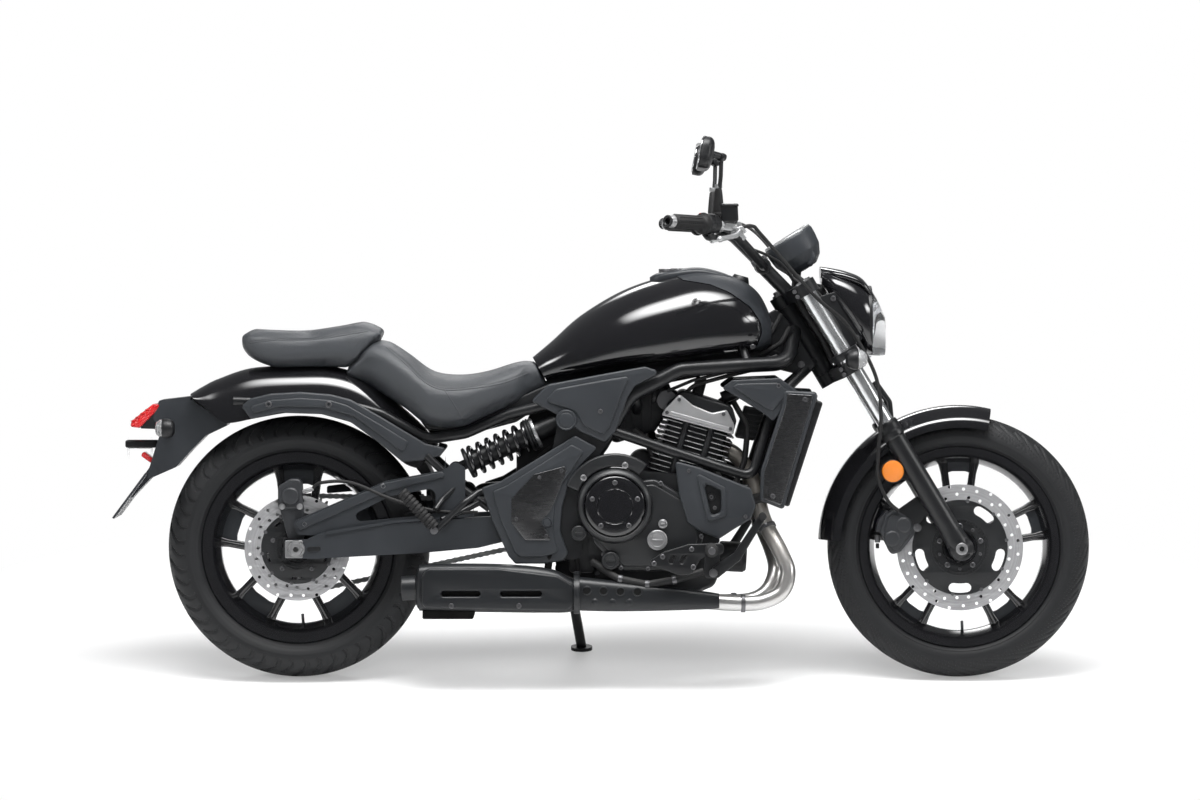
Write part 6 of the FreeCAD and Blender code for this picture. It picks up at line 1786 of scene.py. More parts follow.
class MakeRadiatorCovers(bpy.types.Operator):
    """Radiator side covers with their plates, the shrouds above, and the finned core."""

    bl_idname = "motorcycle.radiator_covers"
    bl_label = "Radiator"

    def execute(self, context):
        made = Piece("cover", "alloy", "bolt", "plastic")
        outline = [(1152, 690, 8), (1228, 686, 8), (1232, 676, 4), (1152, 408, 8), (1096, 430, 6),
                   (1098, 500, 20), (1150, 660, 20)]
        made.panel(outline, -170, -148, 6, mirror=True)
        inset = [(1160, 682, 4), (1222, 678, 5), (1146, 418, 5), (1104, 434, 5), (1106, 498, 20),
                 (1158, 658, 20)]
        made.panel(inset, -173, -168, 1.4, 1, mirror=True)
        made.add(right_side([(1202, 668), (1126, 440)], 173, "button", 6, 2.6), 2, mirror=True)
        shroud = [(1004, 694, 6), (1031, 714, 6), (1142, 719, 8), (1186, 688, 6), (1128, 616, 6),
                  (1106, 634, 6), (1022, 686, 6)]
        made.panel(shroud, -162, -153, 4, mirror=True)
        made.panel([(1028, 698, 6), (1044, 706, 6), (1136, 708, 8), (1166, 686, 6), (1126, 640, 6),
                    (1108, 648, 8)], -167, -158, 4, mirror=True)
        made.add(right_side([(1140, 700)], 165, "button", 6, 2.6), 2, mirror=True)
        made.panel([(1040, 690, 4), (1120, 690, 4), (1120, 712, 4), (1040, 712, 4)], -156, -124, 2, 3,
                   mirror=True)
        made.done("radiator_side_covers", "chassis", "black_plastic", ["radiator_covers"])
        core = Piece("plastic", "engine")
        place = Matrix.Translation((1130, 0, 424)) @ Matrix.Rotation(math.radians(18), 4, "Y")
        box = plate(rounded([(2, 8, 3), (30, 8, 3), (30, 254, 3), (2, 254, 3)]), -121, 121, 1)
        core.add(moved(box, place))
        for side in (-1, 1):
            tank = plate(rounded([(-5, 1, 6), (37, 1, 6), (37, 261, 6), (-5, 261, 6)]), side * 120,
                         side * 149, 5)
            core.add(moved(tank, place))
        channel = plate(rounded([(0, -1.2, 1), (33.6, -1.2, 1), (33.6, 1.2, 1), (0, 1.2, 1)]), -120, 120, 0.6)
        rows = [place @ Matrix.Translation((0, 0, 14 + 10.1 * row)) for row in range(24)]
        core.add(repeated(channel, rows, "engine"), 1)
        fin = plate([(31, 8), (33, 8), (33, 254), (31, 254)], -0.5, 0.5, 0.1)
        columns = [place @ Matrix.Translation((0, y, 0)) for y in range(-117, 118, 6)]
        core.add(repeated(fin, columns, "engine"), 1)
        core.panel([(1100, 540, 8), (1190, 540, 8), (1190, 575, 8), (1100, 575, 8)], -116, -108, 1.5,
                   mirror=True)
        core.done("radiator_core_fins", "chassis", "black_plastic", ["radiator"])
        return {"FINISHED"}


# Mudguard stations: top and skirt edge, each forward and up, then the half width
GUARD_ROWS = [
    (-256, 679, -246, 668, 92), (-226, 697, -206, 638, 100), (-191, 714, -168, 611, 105),
    (-114, 739, -97, 622, 106), (-11, 745, -20, 635, 106), (85, 742, 56, 637, 106),
    (156, 717, 133, 619, 106), (232, 659, 216, 558, 105), (296, 602, 254, 516, 102),
    (334, 557, 290, 502, 98)]


def guard_skin(rows, thick=3.0, count=26):
    """Thin shell over stations, flat on top and turned down into skirts at both sides."""
    rings = []
    for top_x, top_z, edge_x, edge_z, half in through(rows, 7):
        ring = []
        for inner in (0, 1):
            line = []
            for step in range(count + 1):
                angle = math.pi * (step / count - 0.5)
                across = math.copysign(abs(math.sin(angle)) ** (2 / 3.0), math.sin(angle))
                down = 1 - math.cos(angle) ** (2 / 2.6) if abs(angle) < 1.5707 else 1.0
                line.append(Vector((top_x + (edge_x - top_x) * down, across * (half - inner * thick), top_z
                                    + (edge_z - top_z) * down - inner * thick * (1 - down))))
            ring += line if not inner else list(reversed(line))
        rings.append(ring)
    made = bmesh.new()
    verts = [[made.verts.new(point) for point in ring] for ring in rings]
    skin_rings(made, verts)
    made.faces.new(reversed(verts[0]))
    made.faces.new(verts[-1])
    return made


class MakeRearBody(bpy.types.Operator):
    """Mudguard, its struts, tail details, striped tail lamp, signals and plate lamp."""

    bl_idname = "motorcycle.rear_body"
    bl_label = "Struts and rear lamps"

    def execute(self, context):
        guard = Piece("paint", "plastic", "bolt")
        guard.add(guard_skin(GUARD_ROWS))
        guard.panel([(262, 530, 6), (301, 526, 8), (340, 450, 20), (350, 392, 6), (332, 392, 6),
                     (308, 470, 20)], -84, 84, 3, 1)
        guard.add(rod((-20, -108, 655), (-20, 108, 655), 8, 1, 20), 1)
        guard.done("rolled_mudguard", "chassis", "gloss_black", ["rear_mudguard"])
        made = Piece("cover", "bolt", "plastic")
        strut = [(-131, 651, 8), (-107, 670, 10), (-60, 681, 20), (11, 685, 20), (82, 679, 20),
                 (129, 667, 20), (211, 620, 30), (306, 563, 10), (356, 552, 6), (341, 533, 8),
                 (294, 521, 14), (252, 518, 10), (200, 561, 20), (129, 613, 30), (60, 632, 30),
                 (-36, 635, 20), (-107, 620, 8)]
        made.panel(strut, -121, -110, 5, mirror=True)
        made.panel([(-110, 650, 8), (-58, 666, 20), (11, 671, 20), (78, 666, 20), (120, 654, 20),
                    (203, 606, 30), (268, 566, 10), (252, 540, 10), (206, 577, 20), (134, 628, 30),
                    (60, 648, 30), (-36, 650, 20), (-100, 634, 8)], -125, -118, 3.4, mirror=True)
        made.add(right_side([(-65, 656), (77, 655)], 124, "button", 8, 3), 1, mirror=True)
        made.done("mudguard_struts", "chassis", "black_plastic", ["fender_struts"])
        lamps = Piece("red", "plastic", "ribbed", "amber")
        lamp = [(-345, 654, 6), (-326, 654, 3), (-335, 638, 6), (-376, 597, 5), (-399, 600, 5),
                (-396, 614, 5)]
        housing = [(-378, 596, 3), (-337, 640, 6), (-326, 652, 3), (-316, 594, 3)]
        lamps.panel(lamp, -56, 56, 4)
        lamps.panel(housing, -54, 54, 3, 1)
        stripe = [Matrix.Translation((-396 + 1.275 * rise, 0, 614 + rise)) for rise in (0, 9, 18, 27)]
        lamps.add(repeated(plate(rounded([(-1.6, -1, 0.8), (9, -1, 0.8), (9, 1, 0.8), (-1.6, 1, 0.8)]),
                                 -57.4, 57.4, 0.5), stripe, "red"))
        lamps.panel([(-414, 567, 5), (-414, 549, 5), (-337, 549, 4), (-337, 567, 4)], -20, 20, 4, 1)
        lamps.panel([(-408, 551, 3), (-408, 547.5, 1), (-352, 547.5, 1), (-352, 551, 3)], -16, 16, 1, 2)
        lamps.panel([(-370, 541, 5), (-346, 522, 5), (-352, 512, 4), (-377, 530, 5)], -24, 24, 2.5)
        for side in (-1, 1):
            centre = Vector((-310, side * 108, 598))
            lamps.turned([(0, 22), (13, 21), (20, 16), (23.6, 6), (23.6, -4), (19, -16), (9, -22), (0, -23)],
                         2, centre, (1, 0, 0.02), 44, 1)
            lamps.add(spun([(0, 25), (9, 24.4), (16, 21), (20.6, 14), (22, 8), (0, 8)], centre, (-1, 0, 0),
                           44), 2)
        lamps.done("rear_lamp_set", "chassis", "red_lens", ["rear_lamps"])
        return {"FINISHED"}


# Fork, bars and lamps

FORK_AHEAD = 59
FORK_SPREAD = 105
AXLE_DROP = -FORK_AHEAD * math.tan(RAKE)
LOWER_CLAMP, UPPER_CLAMP = 469, 683
UP_FORK = Vector((-math.sin(RAKE), 0, math.cos(RAKE)))
BAR_CENTRE = steered(2, 0, UPPER_CLAMP + 96)
BAR_RIGHT = [
    BAR_CENTRE - ALONG_Y * 110, Vector((1042, -236, 1050)), Vector((990, -302, 1080)),
    Vector((886, -424, 1086))]
GRIP_ALONG = (BAR_RIGHT[2] - BAR_RIGHT[3]).normalized()


def on_grip(distance):
    """Point on the right grip, measured back from the bar's end."""
    return BAR_RIGHT[3] + GRIP_ALONG * distance


class MakeFork(bpy.types.Operator):
    """Fork seals, clamp bolts, caps, axle bosses and stays on the fork legs."""

    bl_idname = "motorcycle.fork"
    bl_label = "Fork"

    def execute(self, context):
        made = Piece("frame", "bolt", "brushed", "plastic")
        seam = AXLE_DROP + 340
        for side in (-1, 1):
            spread = side * FORK_SPREAD
            seal = steered(FORK_AHEAD, spread, seam - 34)
            made.turned([(21, 44), (25.6, 42), (27, 36), (27, 20), (28.4, 16), (28.4, 4), (25.6, 0),
                         (25, 0)], 0.8, seal, UP_FORK, 56)
            foot = steered(FORK_AHEAD, spread, AXLE_DROP - 24)
            made.turned([(0, -2), (20, 0), (27, 8), (28.6, 22), (28, 46), (25.4, 70), (25, 84)], 3, foot,
                        UP_FORK, 56)
            axle_end = Vector((FRONT_AXLE.x, spread, FRONT_AXLE.z))
            made.turned([(0, 27), (14, 27), (17, 24), (28, 20), (29.6, 12), (29.6, -18), (0, -18)], 1.4,
                        axle_end, ALONG_Y * side, 56)
            made.turned([(7, 32), (13, 32), (14.4, 30.6), (14.4, 26), (0, 26)], 0.6, axle_end,
                        ALONG_Y * side, 40, 2)
            made.add(spun([(0, 27.4), (7.2, 27.4), (7.2, 32)], axle_end, ALONG_Y * side, 6), 3)
            cap = steered(FORK_AHEAD, spread, AXLE_DROP + 733)
            made.turned([(0, 5), (13, 5), (15, 3), (20, 2), (20.4, 0), (20.4, -6)], 0.8, cap, UP_FORK, 40, 2)
            for height in (LOWER_CLAMP, UPPER_CLAMP):
                for shift in (-7, 7):
                    bolt = steered(FORK_AHEAD - 27, spread + side * 14, height + shift)
                    made.add(rod(bolt, bolt + ALONG_Y * side * 22, 5, 1, 18), 1)
            stay = [steered(FORK_AHEAD + 16, side * 88, seam + 6),
                    steered(FORK_AHEAD + 34, side * 92, seam + 44),
                    steered(FORK_AHEAD + 30, side * 92, seam + 96)]
            made.add(tube(stay, 5.5, 16, 16))
        stem = steered(0, 0, UPPER_CLAMP + 13)
        made.turned([(0, 14), (10, 14), (11, 12), (11, 7), (17, 6), (17, 0), (0, 0)], 0.6, stem, UP_FORK, 6,
                    2)
        made.done("fork_fittings", "steering", "satin_black")
        self.caliper()
        return {"FINISHED"}

    def caliper(self):
        middle = -64.5
        made = Piece("caliper", "bolt", "frame", "rubber")
        body = [(1383, 352, 10), (1394, 390, 14), (1418, 407, 14), (1446, 392, 12), (1466, 368, 12),
                (1466, 346, 10), (1432, 304, 12), (1410, 297, 10)]
        made.panel(body, middle - 29, middle - 9, 5)
        made.panel(body, middle + 9, middle + 29, 5)
        made.panel(drawn_in(body, 9), middle - 33, middle - 26, 4)
        bridge = [(1385, 352, 3), (1391, 376, 6), (1408, 398, 3), (1400, 403, 3), (1380, 380, 6),
                  (1373, 352, 3)]
        made.panel(bridge, middle - 24, middle + 24, 1)
        for spot in ((1412, 336), (1440, 368)):
            made.turned([(0, 5), (15, 5), (19, 2), (20, -2), (20, -8), (0, -8)], 1.4,
                        (spot[0], middle - 31, spot[1]), -ALONG_Y, 44)
        lug = [(1440, 334, 6), (1478, 372, 8), (1528, 436, 8), (1502, 458, 8), (1422, 402, 6)]
        made.panel(lug, middle - 28, middle - 16, 2.5, 2)
        made.add(right_side([(1472, 362), (1498, 424)], -middle + 28, "hexagon", 8, 8), 1)
        pads = [(1398, 350, 4), (1416, 384, 4), (1440, 392, 4), (1456, 366, 4), (1424, 318, 4)]
        made.panel(pads, middle - 8, middle - 3.2, 0.6, 2)
        made.panel(pads, middle + 3.2, middle + 8, 0.6, 2)
        made.add(rod((1378, middle - 14, 344), (1378, middle - 14, 326), 6.5, 1, 20), 1)
        made.add(rod((1378, middle - 14, 324), (1378, middle - 14, 312), 4.2, 0.8, 16), 3)
        made.done("front_caliper_body", "steering", "caliper_grey", ["front_caliper"])


class MakeBars(bpy.types.Operator):
    """Grips, bar ends, switch boxes, levers, fluid cup and bar clamps."""

    bl_idname = "motorcycle.bars"
    bl_label = "Handlebar fittings"

    def execute(self, context):
        bar = Piece("frame")
        bar.add(tube([BAR_CENTRE, *BAR_RIGHT], 11, 60, 28), 0, mirror=True)
        bar.done("bent_handlebar", "steering", "satin_black", ["handlebar"])
        grip = Piece("rubber", "brushed", "plastic")
        end = on_grip(0)
        out = -GRIP_ALONG
        rings = [(21, -116), (24.6, -115), (25.4, -112), (25, -109), (20, -107.5), (17.6, -105)]
        rings += ribbed(-103, 7, 14, 16.2, 16.9, (0, 1.2, 4.6, 5.8))
        rings += [(15.6, -4), (15.6, -1), (13, 0), (0, 0)]
        grip.add(spun(rings, end, out, 48), 0, mirror=True)
        ridges = []
        for step in range(12):
            angle = 2 * math.pi * step / 12
            ridges.append(Matrix.Translation(end) @ towards(out) @ Matrix.Rotation(angle, 4, "Z")
                          @ Matrix.Translation((16.8, 0, -52)))
        rib = plate(rounded([(-1.2, -44, 1), (1.2, -44, 1), (1.2, 44, 1), (-1.2, 44, 1)]), -1.5, 1.5, 0.7,
                    facing=Matrix.Rotation(math.radians(90), 4, "X"))
        grip.add(repeated(rib, ridges, "rubber"), 0, mirror=True)
        grip.turned([(0, 0), (15.4, 0), (15.8, 3), (12.4, 13), (11.6, 14), (8, 14)], 0.8, end, out, 48, 1,
                    mirror=True)
        grip.turned([(11.4, 13.6), (13.4, 14.6), (14.2, 17), (13, 19.4), (9.4, 19.4), (7.4, 17), (7.2, 8),
                     (0, 8)], 0.7, end, out, 48, 2, mirror=True)
        grip.done("bar_grips", "steering", "rubber", ["grips"])
        controls = Piece("plastic", "steel", "red_switch", "caliper")
        self.switches(controls)
        self.levers(controls)
        self.cup(controls)
        controls.done("bar_control_set", "steering", "black_plastic", ["bar_controls"])
        fittings = Piece("frame", "bolt")
        for side in (-1, 1):
            spot = steered(2, side * 45, UPPER_CLAMP + 96)
            fittings.turned([(11, -19), (19, -19), (19, 19), (11, 19), (11, -19)], 2, spot, ALONG_Y, 40)
            for ahead in (-14, 14):
                bolt = spot + Vector((math.cos(RAKE) * ahead, 0, math.sin(RAKE) * ahead)) + UP_FORK * 8
                fittings.add(rod(bolt, bolt + UP_FORK * 13, 5, 1, 16), 1)
        fittings.done("bar_clamps", "steering", "satin_black")
        return {"FINISHED"}

    def switches(self, made):
        across = GRIP_ALONG.cross(ALONG_Z).normalized()
        start = on_grip(118)
        made.turned([(11.4, 0), (20, 0), (22, 3), (22, 17), (21.2, 18), (22, 19), (22, 37), (20, 40),
                     (11.4, 40), (11.4, 0)], 1.2, start, GRIP_ALONG, 44, mirror=True)
        made.panel([(-16, -8, 5), (16, -8, 5), (16, 22, 6), (-16, 22, 6)], -16, 16, 4, mirror=True,
                   facing=Matrix.Translation(on_grip(139) + Vector((-2, 0, 2))) @ SIDE)
        button = on_grip(128) + Vector((-12, 0, 20))
        made.panel([(-8, -3, 2), (8, -3, 2), (8, 5, 2), (-8, 5, 2)], -5, 5, 1.6, 2,
                   facing=Matrix.Translation(button) @ SIDE)
        made.add(rod(on_grip(146) - across * 20, on_grip(146) - across * 28 + ALONG_Z * 2, 5, 1.2, 24), 2)
        made.add(tube([on_grip(136) - ALONG_Z * 20, on_grip(150) - ALONG_Z * 32, on_grip(176) - ALONG_Z * 26,
                       on_grip(200) - ALONG_Z * 22], 6.5, 20, 16), 0, mirror=True)

    def levers(self, made):
        perch = on_grip(162)
        made.turned([(11.4, 0), (16, 0), (17, 2), (17, 20), (16, 22), (11.4, 22), (11.4, 0)], 1, perch,
                    GRIP_ALONG, 40, 1, mirror=True)
        pivot = perch + Vector((38, 0, -8))
        made.panel([(-34, -7, 3), (4, -12, 8), (12, -2, 8), (6, 9, 8), (-34, 9, 3)], -8, 8, 3, 1,
                   mirror=True, facing=Matrix.Translation(pivot + Vector((-4, 4, 4))) @ SIDE)
        made.add(rod(pivot + Vector((0, 4, -14)), pivot + Vector((0, 4, 12)), 6, 1, 24), 1, mirror=True)
        lever = [pivot + Vector((0, 4, -2)), Vector((1044, -332, 1063)), Vector((1034, -376, 1053)),
                 Vector((997, -420, 1045))]
        blade = tube(lever, 6, 30, 18)
        made.add(blade, 1, mirror=True)
        tip = Vector((996, -421, 1045))
        ball = spun([(0, 8), (5, 6.2), (7.6, 2), (7.6, -2), (5, -6.2), (0, -8)], tip, Vector((38, 45, 8)), 24)
        made.add(ball, 1, mirror=True)

    def cup(self, made):
        base = on_grip(160) + Vector((31, 12, 0))
        box = plate(rounded([(-21, -19, 7), (21, -19, 7), (19, 21, 4), (-19, 21, 4)]), -19, 19, 4,
                    facing=Matrix.Translation(base + Vector((0, 0, 24))) @ SIDE)
        made.add(box)
        made.panel([(-22, 21, 3), (22, 21, 3), (20, 28, 3), (-20, 28, 3)], -21, 21, 3,
                   facing=Matrix.Translation(base + Vector((0, 0, 20))) @ SIDE)
        lid = [((base.x + x, base.y + y, base.z + 47.4), (0, 0, 1)) for x, y in ((-15, -15), (15, 15))]
        made.add(repeated(bolt_form(3.4, 1.8, "button"), lid), 1)
        window = Vector((base.x - 21, base.y - 2, base.z + 22))
        made.add(rod(window, window - Vector((3, 0, 0)), 6, 0.8, 28), 3)
        for drop, lean in ((-12, 0.4), (-30, 0.1)):
            spot = base + Vector((22, -6, drop + 12))
            made.add(rod(spot - ALONG_Y * 8, spot + ALONG_Y * 8, 6.5, 1, 24), 1)
            made.add(rod(spot, spot + Vector((14, 0, -16 - 10 * lean)), 5, 0.8, 20), 1)


class MakeMirrors(bpy.types.Operator):
    """Mirror heads with rims and glass, knuckles, stems, nuts and rubber boots."""

    bl_idname = "motorcycle.mirrors"
    bl_label = "Mirrors"

    def execute(self, context):
        made = Piece("cover", "plastic", "mirror", "frame", "rubber", "steel")
        base = on_grip(168)
        knuckle = base + Vector((6, -26, 156))
        middle = knuckle + Vector((-36, -22, 8))
        place = Matrix.Translation(middle) @ Matrix.Rotation(math.radians(11), 4, "Y")
        face = rounded([(-70, -34, 26), (62, -44, 30), (70, 30, 30), (-54, 42, 30)], 8)
        made.add(pillow(face, [(-13, 0.955), (-13.8, 0.975), (-12, 0.995), (-8, 1.0), (0, 1.0), (4, 0.985),
                               (8, 0.94), (12, 0.85), (15, 0.70), (17, 0.48), (17.8, 0.22)], place @ AHEAD),
                 1, mirror=True)
        glass = [(y * 0.94, z * 0.92) for y, z in face]
        made.add(plate(glass, -15.8, -14.0, 0.5, facing=place @ AHEAD), 2, mirror=True)
        made.add(tube([base + ALONG_Z * 6, base + ALONG_Z * 60, base + Vector((5, -14, 112)), knuckle], 5,
                      40, 20), 3, mirror=True)
        made.turned([(0, -12), (9, -12), (10, -8), (10, 8), (8, 12), (0, 12)], 1.4, knuckle,
                    Vector((0.35, 0.8, 0)), 32, 3, mirror=True)
        made.add(rod(knuckle + Vector((8, 4, -1)), middle + Vector((10, 2, 0)), 8.4, 1, 28), 3, mirror=True)
        boot = base + Vector((0, 0, 20))
        made.turned([(13, 0), (13.6, 6), (12, 9), (12.6, 14), (11.4, 30), (9.6, 50), (8, 62), (5, 64)], 1.4,
                    boot, Vector((0, -4, 64)), 36, 4, mirror=True)
        made.turned([(0, 0), (8.6, 0), (8.6, 10), (0, 10)], 0.6, base + Vector((0, -4, 84)), ALONG_Z, 6, 5,
                    mirror=True)
        made.done("mirror_pair", "steering", "black_plastic", ["mirrors"])
        return {"FINISHED"}


class MakeHeadlamp(bpy.types.Operator):
    """Headlamp shell with its visor, the domed lens, reflector and the instrument."""

    bl_idname = "motorcycle.headlamp"
    bl_label = "Headlamp and instrument"

    def execute(self, context):
        rows = [(1246, 930, 978, 62, 0.5), (1275, 880, 974, 92, 0.5), (1310, 826, 966, 104, 0.5),
                (1345, 776, 950, 104, 0.5), (1375, 766, 912, 86, 0.5), (1398, 768, 862, 60, 0.5)]
        made = Piece("paint", "plastic", "frame", "plastic")
        shell = cut_by_plane(skin(rows, 2.4, 2.6, 9, 96), Vector((1361, 0, 850)),
                             Vector((math.cos(0.08), 0, math.sin(0.08))))
        made.add(shell)
        visor = skin([(x - 2, top - 26, top + 3, half * 0.82, 0.5) for x, low, top, half, _ in rows[:5]],
                     2.6, 2.6, 8, 72)
        visor = cut_by_plane(visor, Vector((1368, 0, 850)), ALONG_X)
        made.add(visor)
        made.add(self.ring(self.rim_outline(1357, rows), 1352, 1366), 3)
        made.add(tube([steered(60, 0, 683), steered(128, 0, 616)], 18, 20, 32), 2)
        made.done("headlamp_shell", "steering", "gloss_black", ["headlamp"])
        lens_form = cut_by_plane(skin(rows, 2.4, 2.6, 9, 96), Vector((1361.5, 0, 850)),
                                 Vector((-math.cos(0.08), 0, -math.sin(0.08))))
        bmesh.ops.scale(lens_form, vec=(1, 0.97, 0.985), space=Matrix.Translation((0, 0, -845)),
                        verts=lens_form.verts)
        face = Piece("glass")
        face.add(lens_form)
        face.done("headlamp_glass", "steering", "lamp_glass", ["headlamp_lens"])
        bowl = Piece("bowl", "plastic", "glass")
        for height, radius in ((878, 44), (806, 40)):
            centre = Vector((1360, 0, height))
            bowl.turned([(0, -16), (radius * 0.5, -12), (radius * 0.85, -2), (radius, 6), (radius + 2, 6),
                         (radius + 2, -18), (0, -20)], 1, centre, ALONG_X, 56)
            bowl.add(spun([(0, 8), (7, 6), (9, 0), (9, -12), (0, -12)], centre, ALONG_X, 24), 2)
        bowl.done("headlamp_reflector", "steering", "lamp_glass")
        self.dial()
        self.signals()
        return {"FINISHED"}

    def rim_outline(self, x, rows):
        for first, second in zip(rows, rows[1:]):
            if first[0] <= x <= second[0]:
                share = (x - first[0]) / (second[0] - first[0])
                _, low, top, half, waist = [a + (b - a) * share for a, b in zip(first, second)]
        return [(point.y, point.z) for point in section(x, low, top, half, waist, 2.4, 2.6, 72)]

    def ring(self, outline, near, far):
        inner = [(y * 0.93, 850 + (z - 850) * 0.94) for y, z in outline]
        outer = [(y * 1.012, 850 + (z - 850) * 1.01) for y, z in outline]
        return plate(outer, near, far, 2, [inner], facing=AHEAD)

    def dial(self):
        made = Piece("cover", "steel", "dial", "glass", "plastic", "frame")
        centre = Vector((1181, 0, 1024))
        aim = Vector((-0.52, 0, 0.85)).normalized()
        made.turned([(0, -58), (30, -56), (48, -42), (60, -18), (63, 6), (63.5, 24), (60, 30), (56, 30)], 3,
                    centre, aim, 72)
        made.turned([(54, 24), (61, 27), (61.5, 31), (58, 34), (54, 32), (54, 24)], 0.8, centre, aim, 72, 1)
        made.add(spun([(0, 25), (55, 25), (55, 23), (0, 23)], centre, aim, 64), 2)
        made.turned([(0, 32), (30, 31.6), (54, 29), (54, 28)], 1, centre, aim, 64, 3)
        turn = towards(aim)
        marks = [Matrix.Translation(centre) @ turn @ Matrix.Rotation(math.radians(-140 + 20 * step), 4, "Z")
                 @ Matrix.Translation((0, 46, 25.4)) for step in range(15)]
        tick = plate([(-0.9, -4), (0.9, -4), (0.9, 4), (-0.9, 4)], -0.4, 0.4, 0.1, facing=TOP)
        made.add(repeated(tick, marks, "steel"), 1)
        needle = plate([(-1.6, -8), (1.6, -8), (0.5, 38), (-0.5, 38)], -0.5, 0.5, 0.1, facing=TOP)
        made.add(moved(needle, Matrix.Translation(centre) @ turn @ Matrix.Rotation(math.radians(130), 4, "Z")
                       @ Matrix.Translation((0, 0, 27))), 1)
        screen = plate(rounded([(-24, -34, 3), (24, -34, 3), (24, -12, 3), (-24, -12, 3)]), 25, 26, 0.4,
                       facing=Matrix.Translation(centre) @ turn)
        made.add(screen, 4)
        made.panel([(1190, 1052, 8), (1224, 1030, 10), (1234, 1002, 8), (1222, 978, 8), (1200, 990, 10)],
                   -44, 44, 8)
        made.add(tube([steered(40, 0, 690), Vector((1192, 0, 992))], 10, 20, 28), 5)
        made.done("instrument_dial", "steering", "black_plastic", ["instrument"])

    def signals(self):
        made = Piece("plastic", "ribbed", "amber", "frame", "steel")
        foot = steered(FORK_AHEAD, -FORK_SPREAD - 16, 500)
        made.add(tube([foot, Vector((1319, -196, 765))], 7, 20, 24), 0, mirror=True)
        lamp = Vector((1320, -216, 764))
        made.turned([(0, -25), (12, -24), (20, -18), (24.6, -6), (24.8, 4), (22, 6), (0, 6)], 2, lamp,
                    Vector((1, 0, 0.02)), 48, mirror=True)
        made.add(spun([(0, 27), (9, 26), (16, 22), (21, 15), (23, 6), (22, 2), (0, 2)], lamp,
                      Vector((1, 0, 0.02)), 48), 1, mirror=True)
        made.turned([(20, 0), (34, 0), (34, 18), (20, 18), (20, 0)], 2,
                    steered(FORK_AHEAD, -FORK_SPREAD, 491), UP_FORK, 48, 3, mirror=True)
        made.panel([(1400, 484, 4), (1468, 470, 4), (1472, 496, 4), (1412, 512, 4)], -112, -107, 1.4, 3,
                   mirror=True)
        eye = Vector((1412, -110, 497))
        made.turned([(0, 12), (27, 12), (28, 10), (28, 0), (0, 0)], 1, eye, -ALONG_Y, 64, mirror=True)
        made.turned([(0, 15.6), (14, 15.4), (25, 14), (26, 12), (26, 8), (0, 8)], 1, eye, -ALONG_Y, 64, 2,
                    mirror=True)
        made.done("front_signal_pair", "steering", "signal_lens", ["front_signals"])


class MakeCables(bpy.types.Operator):
    """Brake hose with its unions, clutch cable and the harness round the head."""

    bl_idname = "motorcycle.cables"
    bl_label = "Cables"

    def execute(self, context):
        made = Piece("rubber", "steel")
        hose = through([tuple(point) for point in (Vector((1040, -296, 1070)), Vector((1074, -270, 1076)),
            Vector((1100, -240, 1052)), steered(66, -196, 660), steered(98, -146, 560),
            steered(96, -136, 430), steered(60, -142, 340), steered(8, -138, 264), steered(-24, -128, 212),
            steered(-32, -112, 152), steered(-22, -100, 116))], 8)
        made.add(tube([Vector(point) for point in hose], 4.4, 400, 14))
        clutch = through([(1006, 304, 1080), (1050, 276, 1088), (1096, 236, 1064), (1150, 180, 1000),
                          (1196, 130, 930)], 8)
        made.add(tube([Vector(point) for point in clutch], 3.6, 400, 14))
        for spot in ((1040, -296, 1070), (1006, 304, 1080)):
            made.add(rod(Vector(spot) - Vector((10, 3, 3)), Vector(spot) + Vector((10, -4, 3)), 5.6, 1, 20),
                     1)
        harness = (
            [steered(60, -60, 720), steered(84, -70, 640), steered(74, -84, 560), steered(40, -60, 500),
             steered(6, -40, 470)],
            [steered(40, -66, 740), steered(74, -84, 640), steered(80, -92, 560), steered(60, -80, 498)],
            [(1072, -178, 1024), (1118, -120, 1006), (1160, -80, 976), steered(50, -50, 640)])
        for line in harness:
            spots = through([tuple(point) for point in line], 8)
            made.add(tube([Vector(point) for point in spots], 3.4, 400, 12))
        made.done("hoses_and_cables", "steering", "rubber", ["cables"])
        return {"FINISHED"}


# Rear end and drive

SHOCK_TOP = Vector((639, -88, 620))
SHOCK_FOOT = Vector((377, -88, 502))
SPROCKET_HUB = Vector((672, 98, 378))
PITCH = 15.875


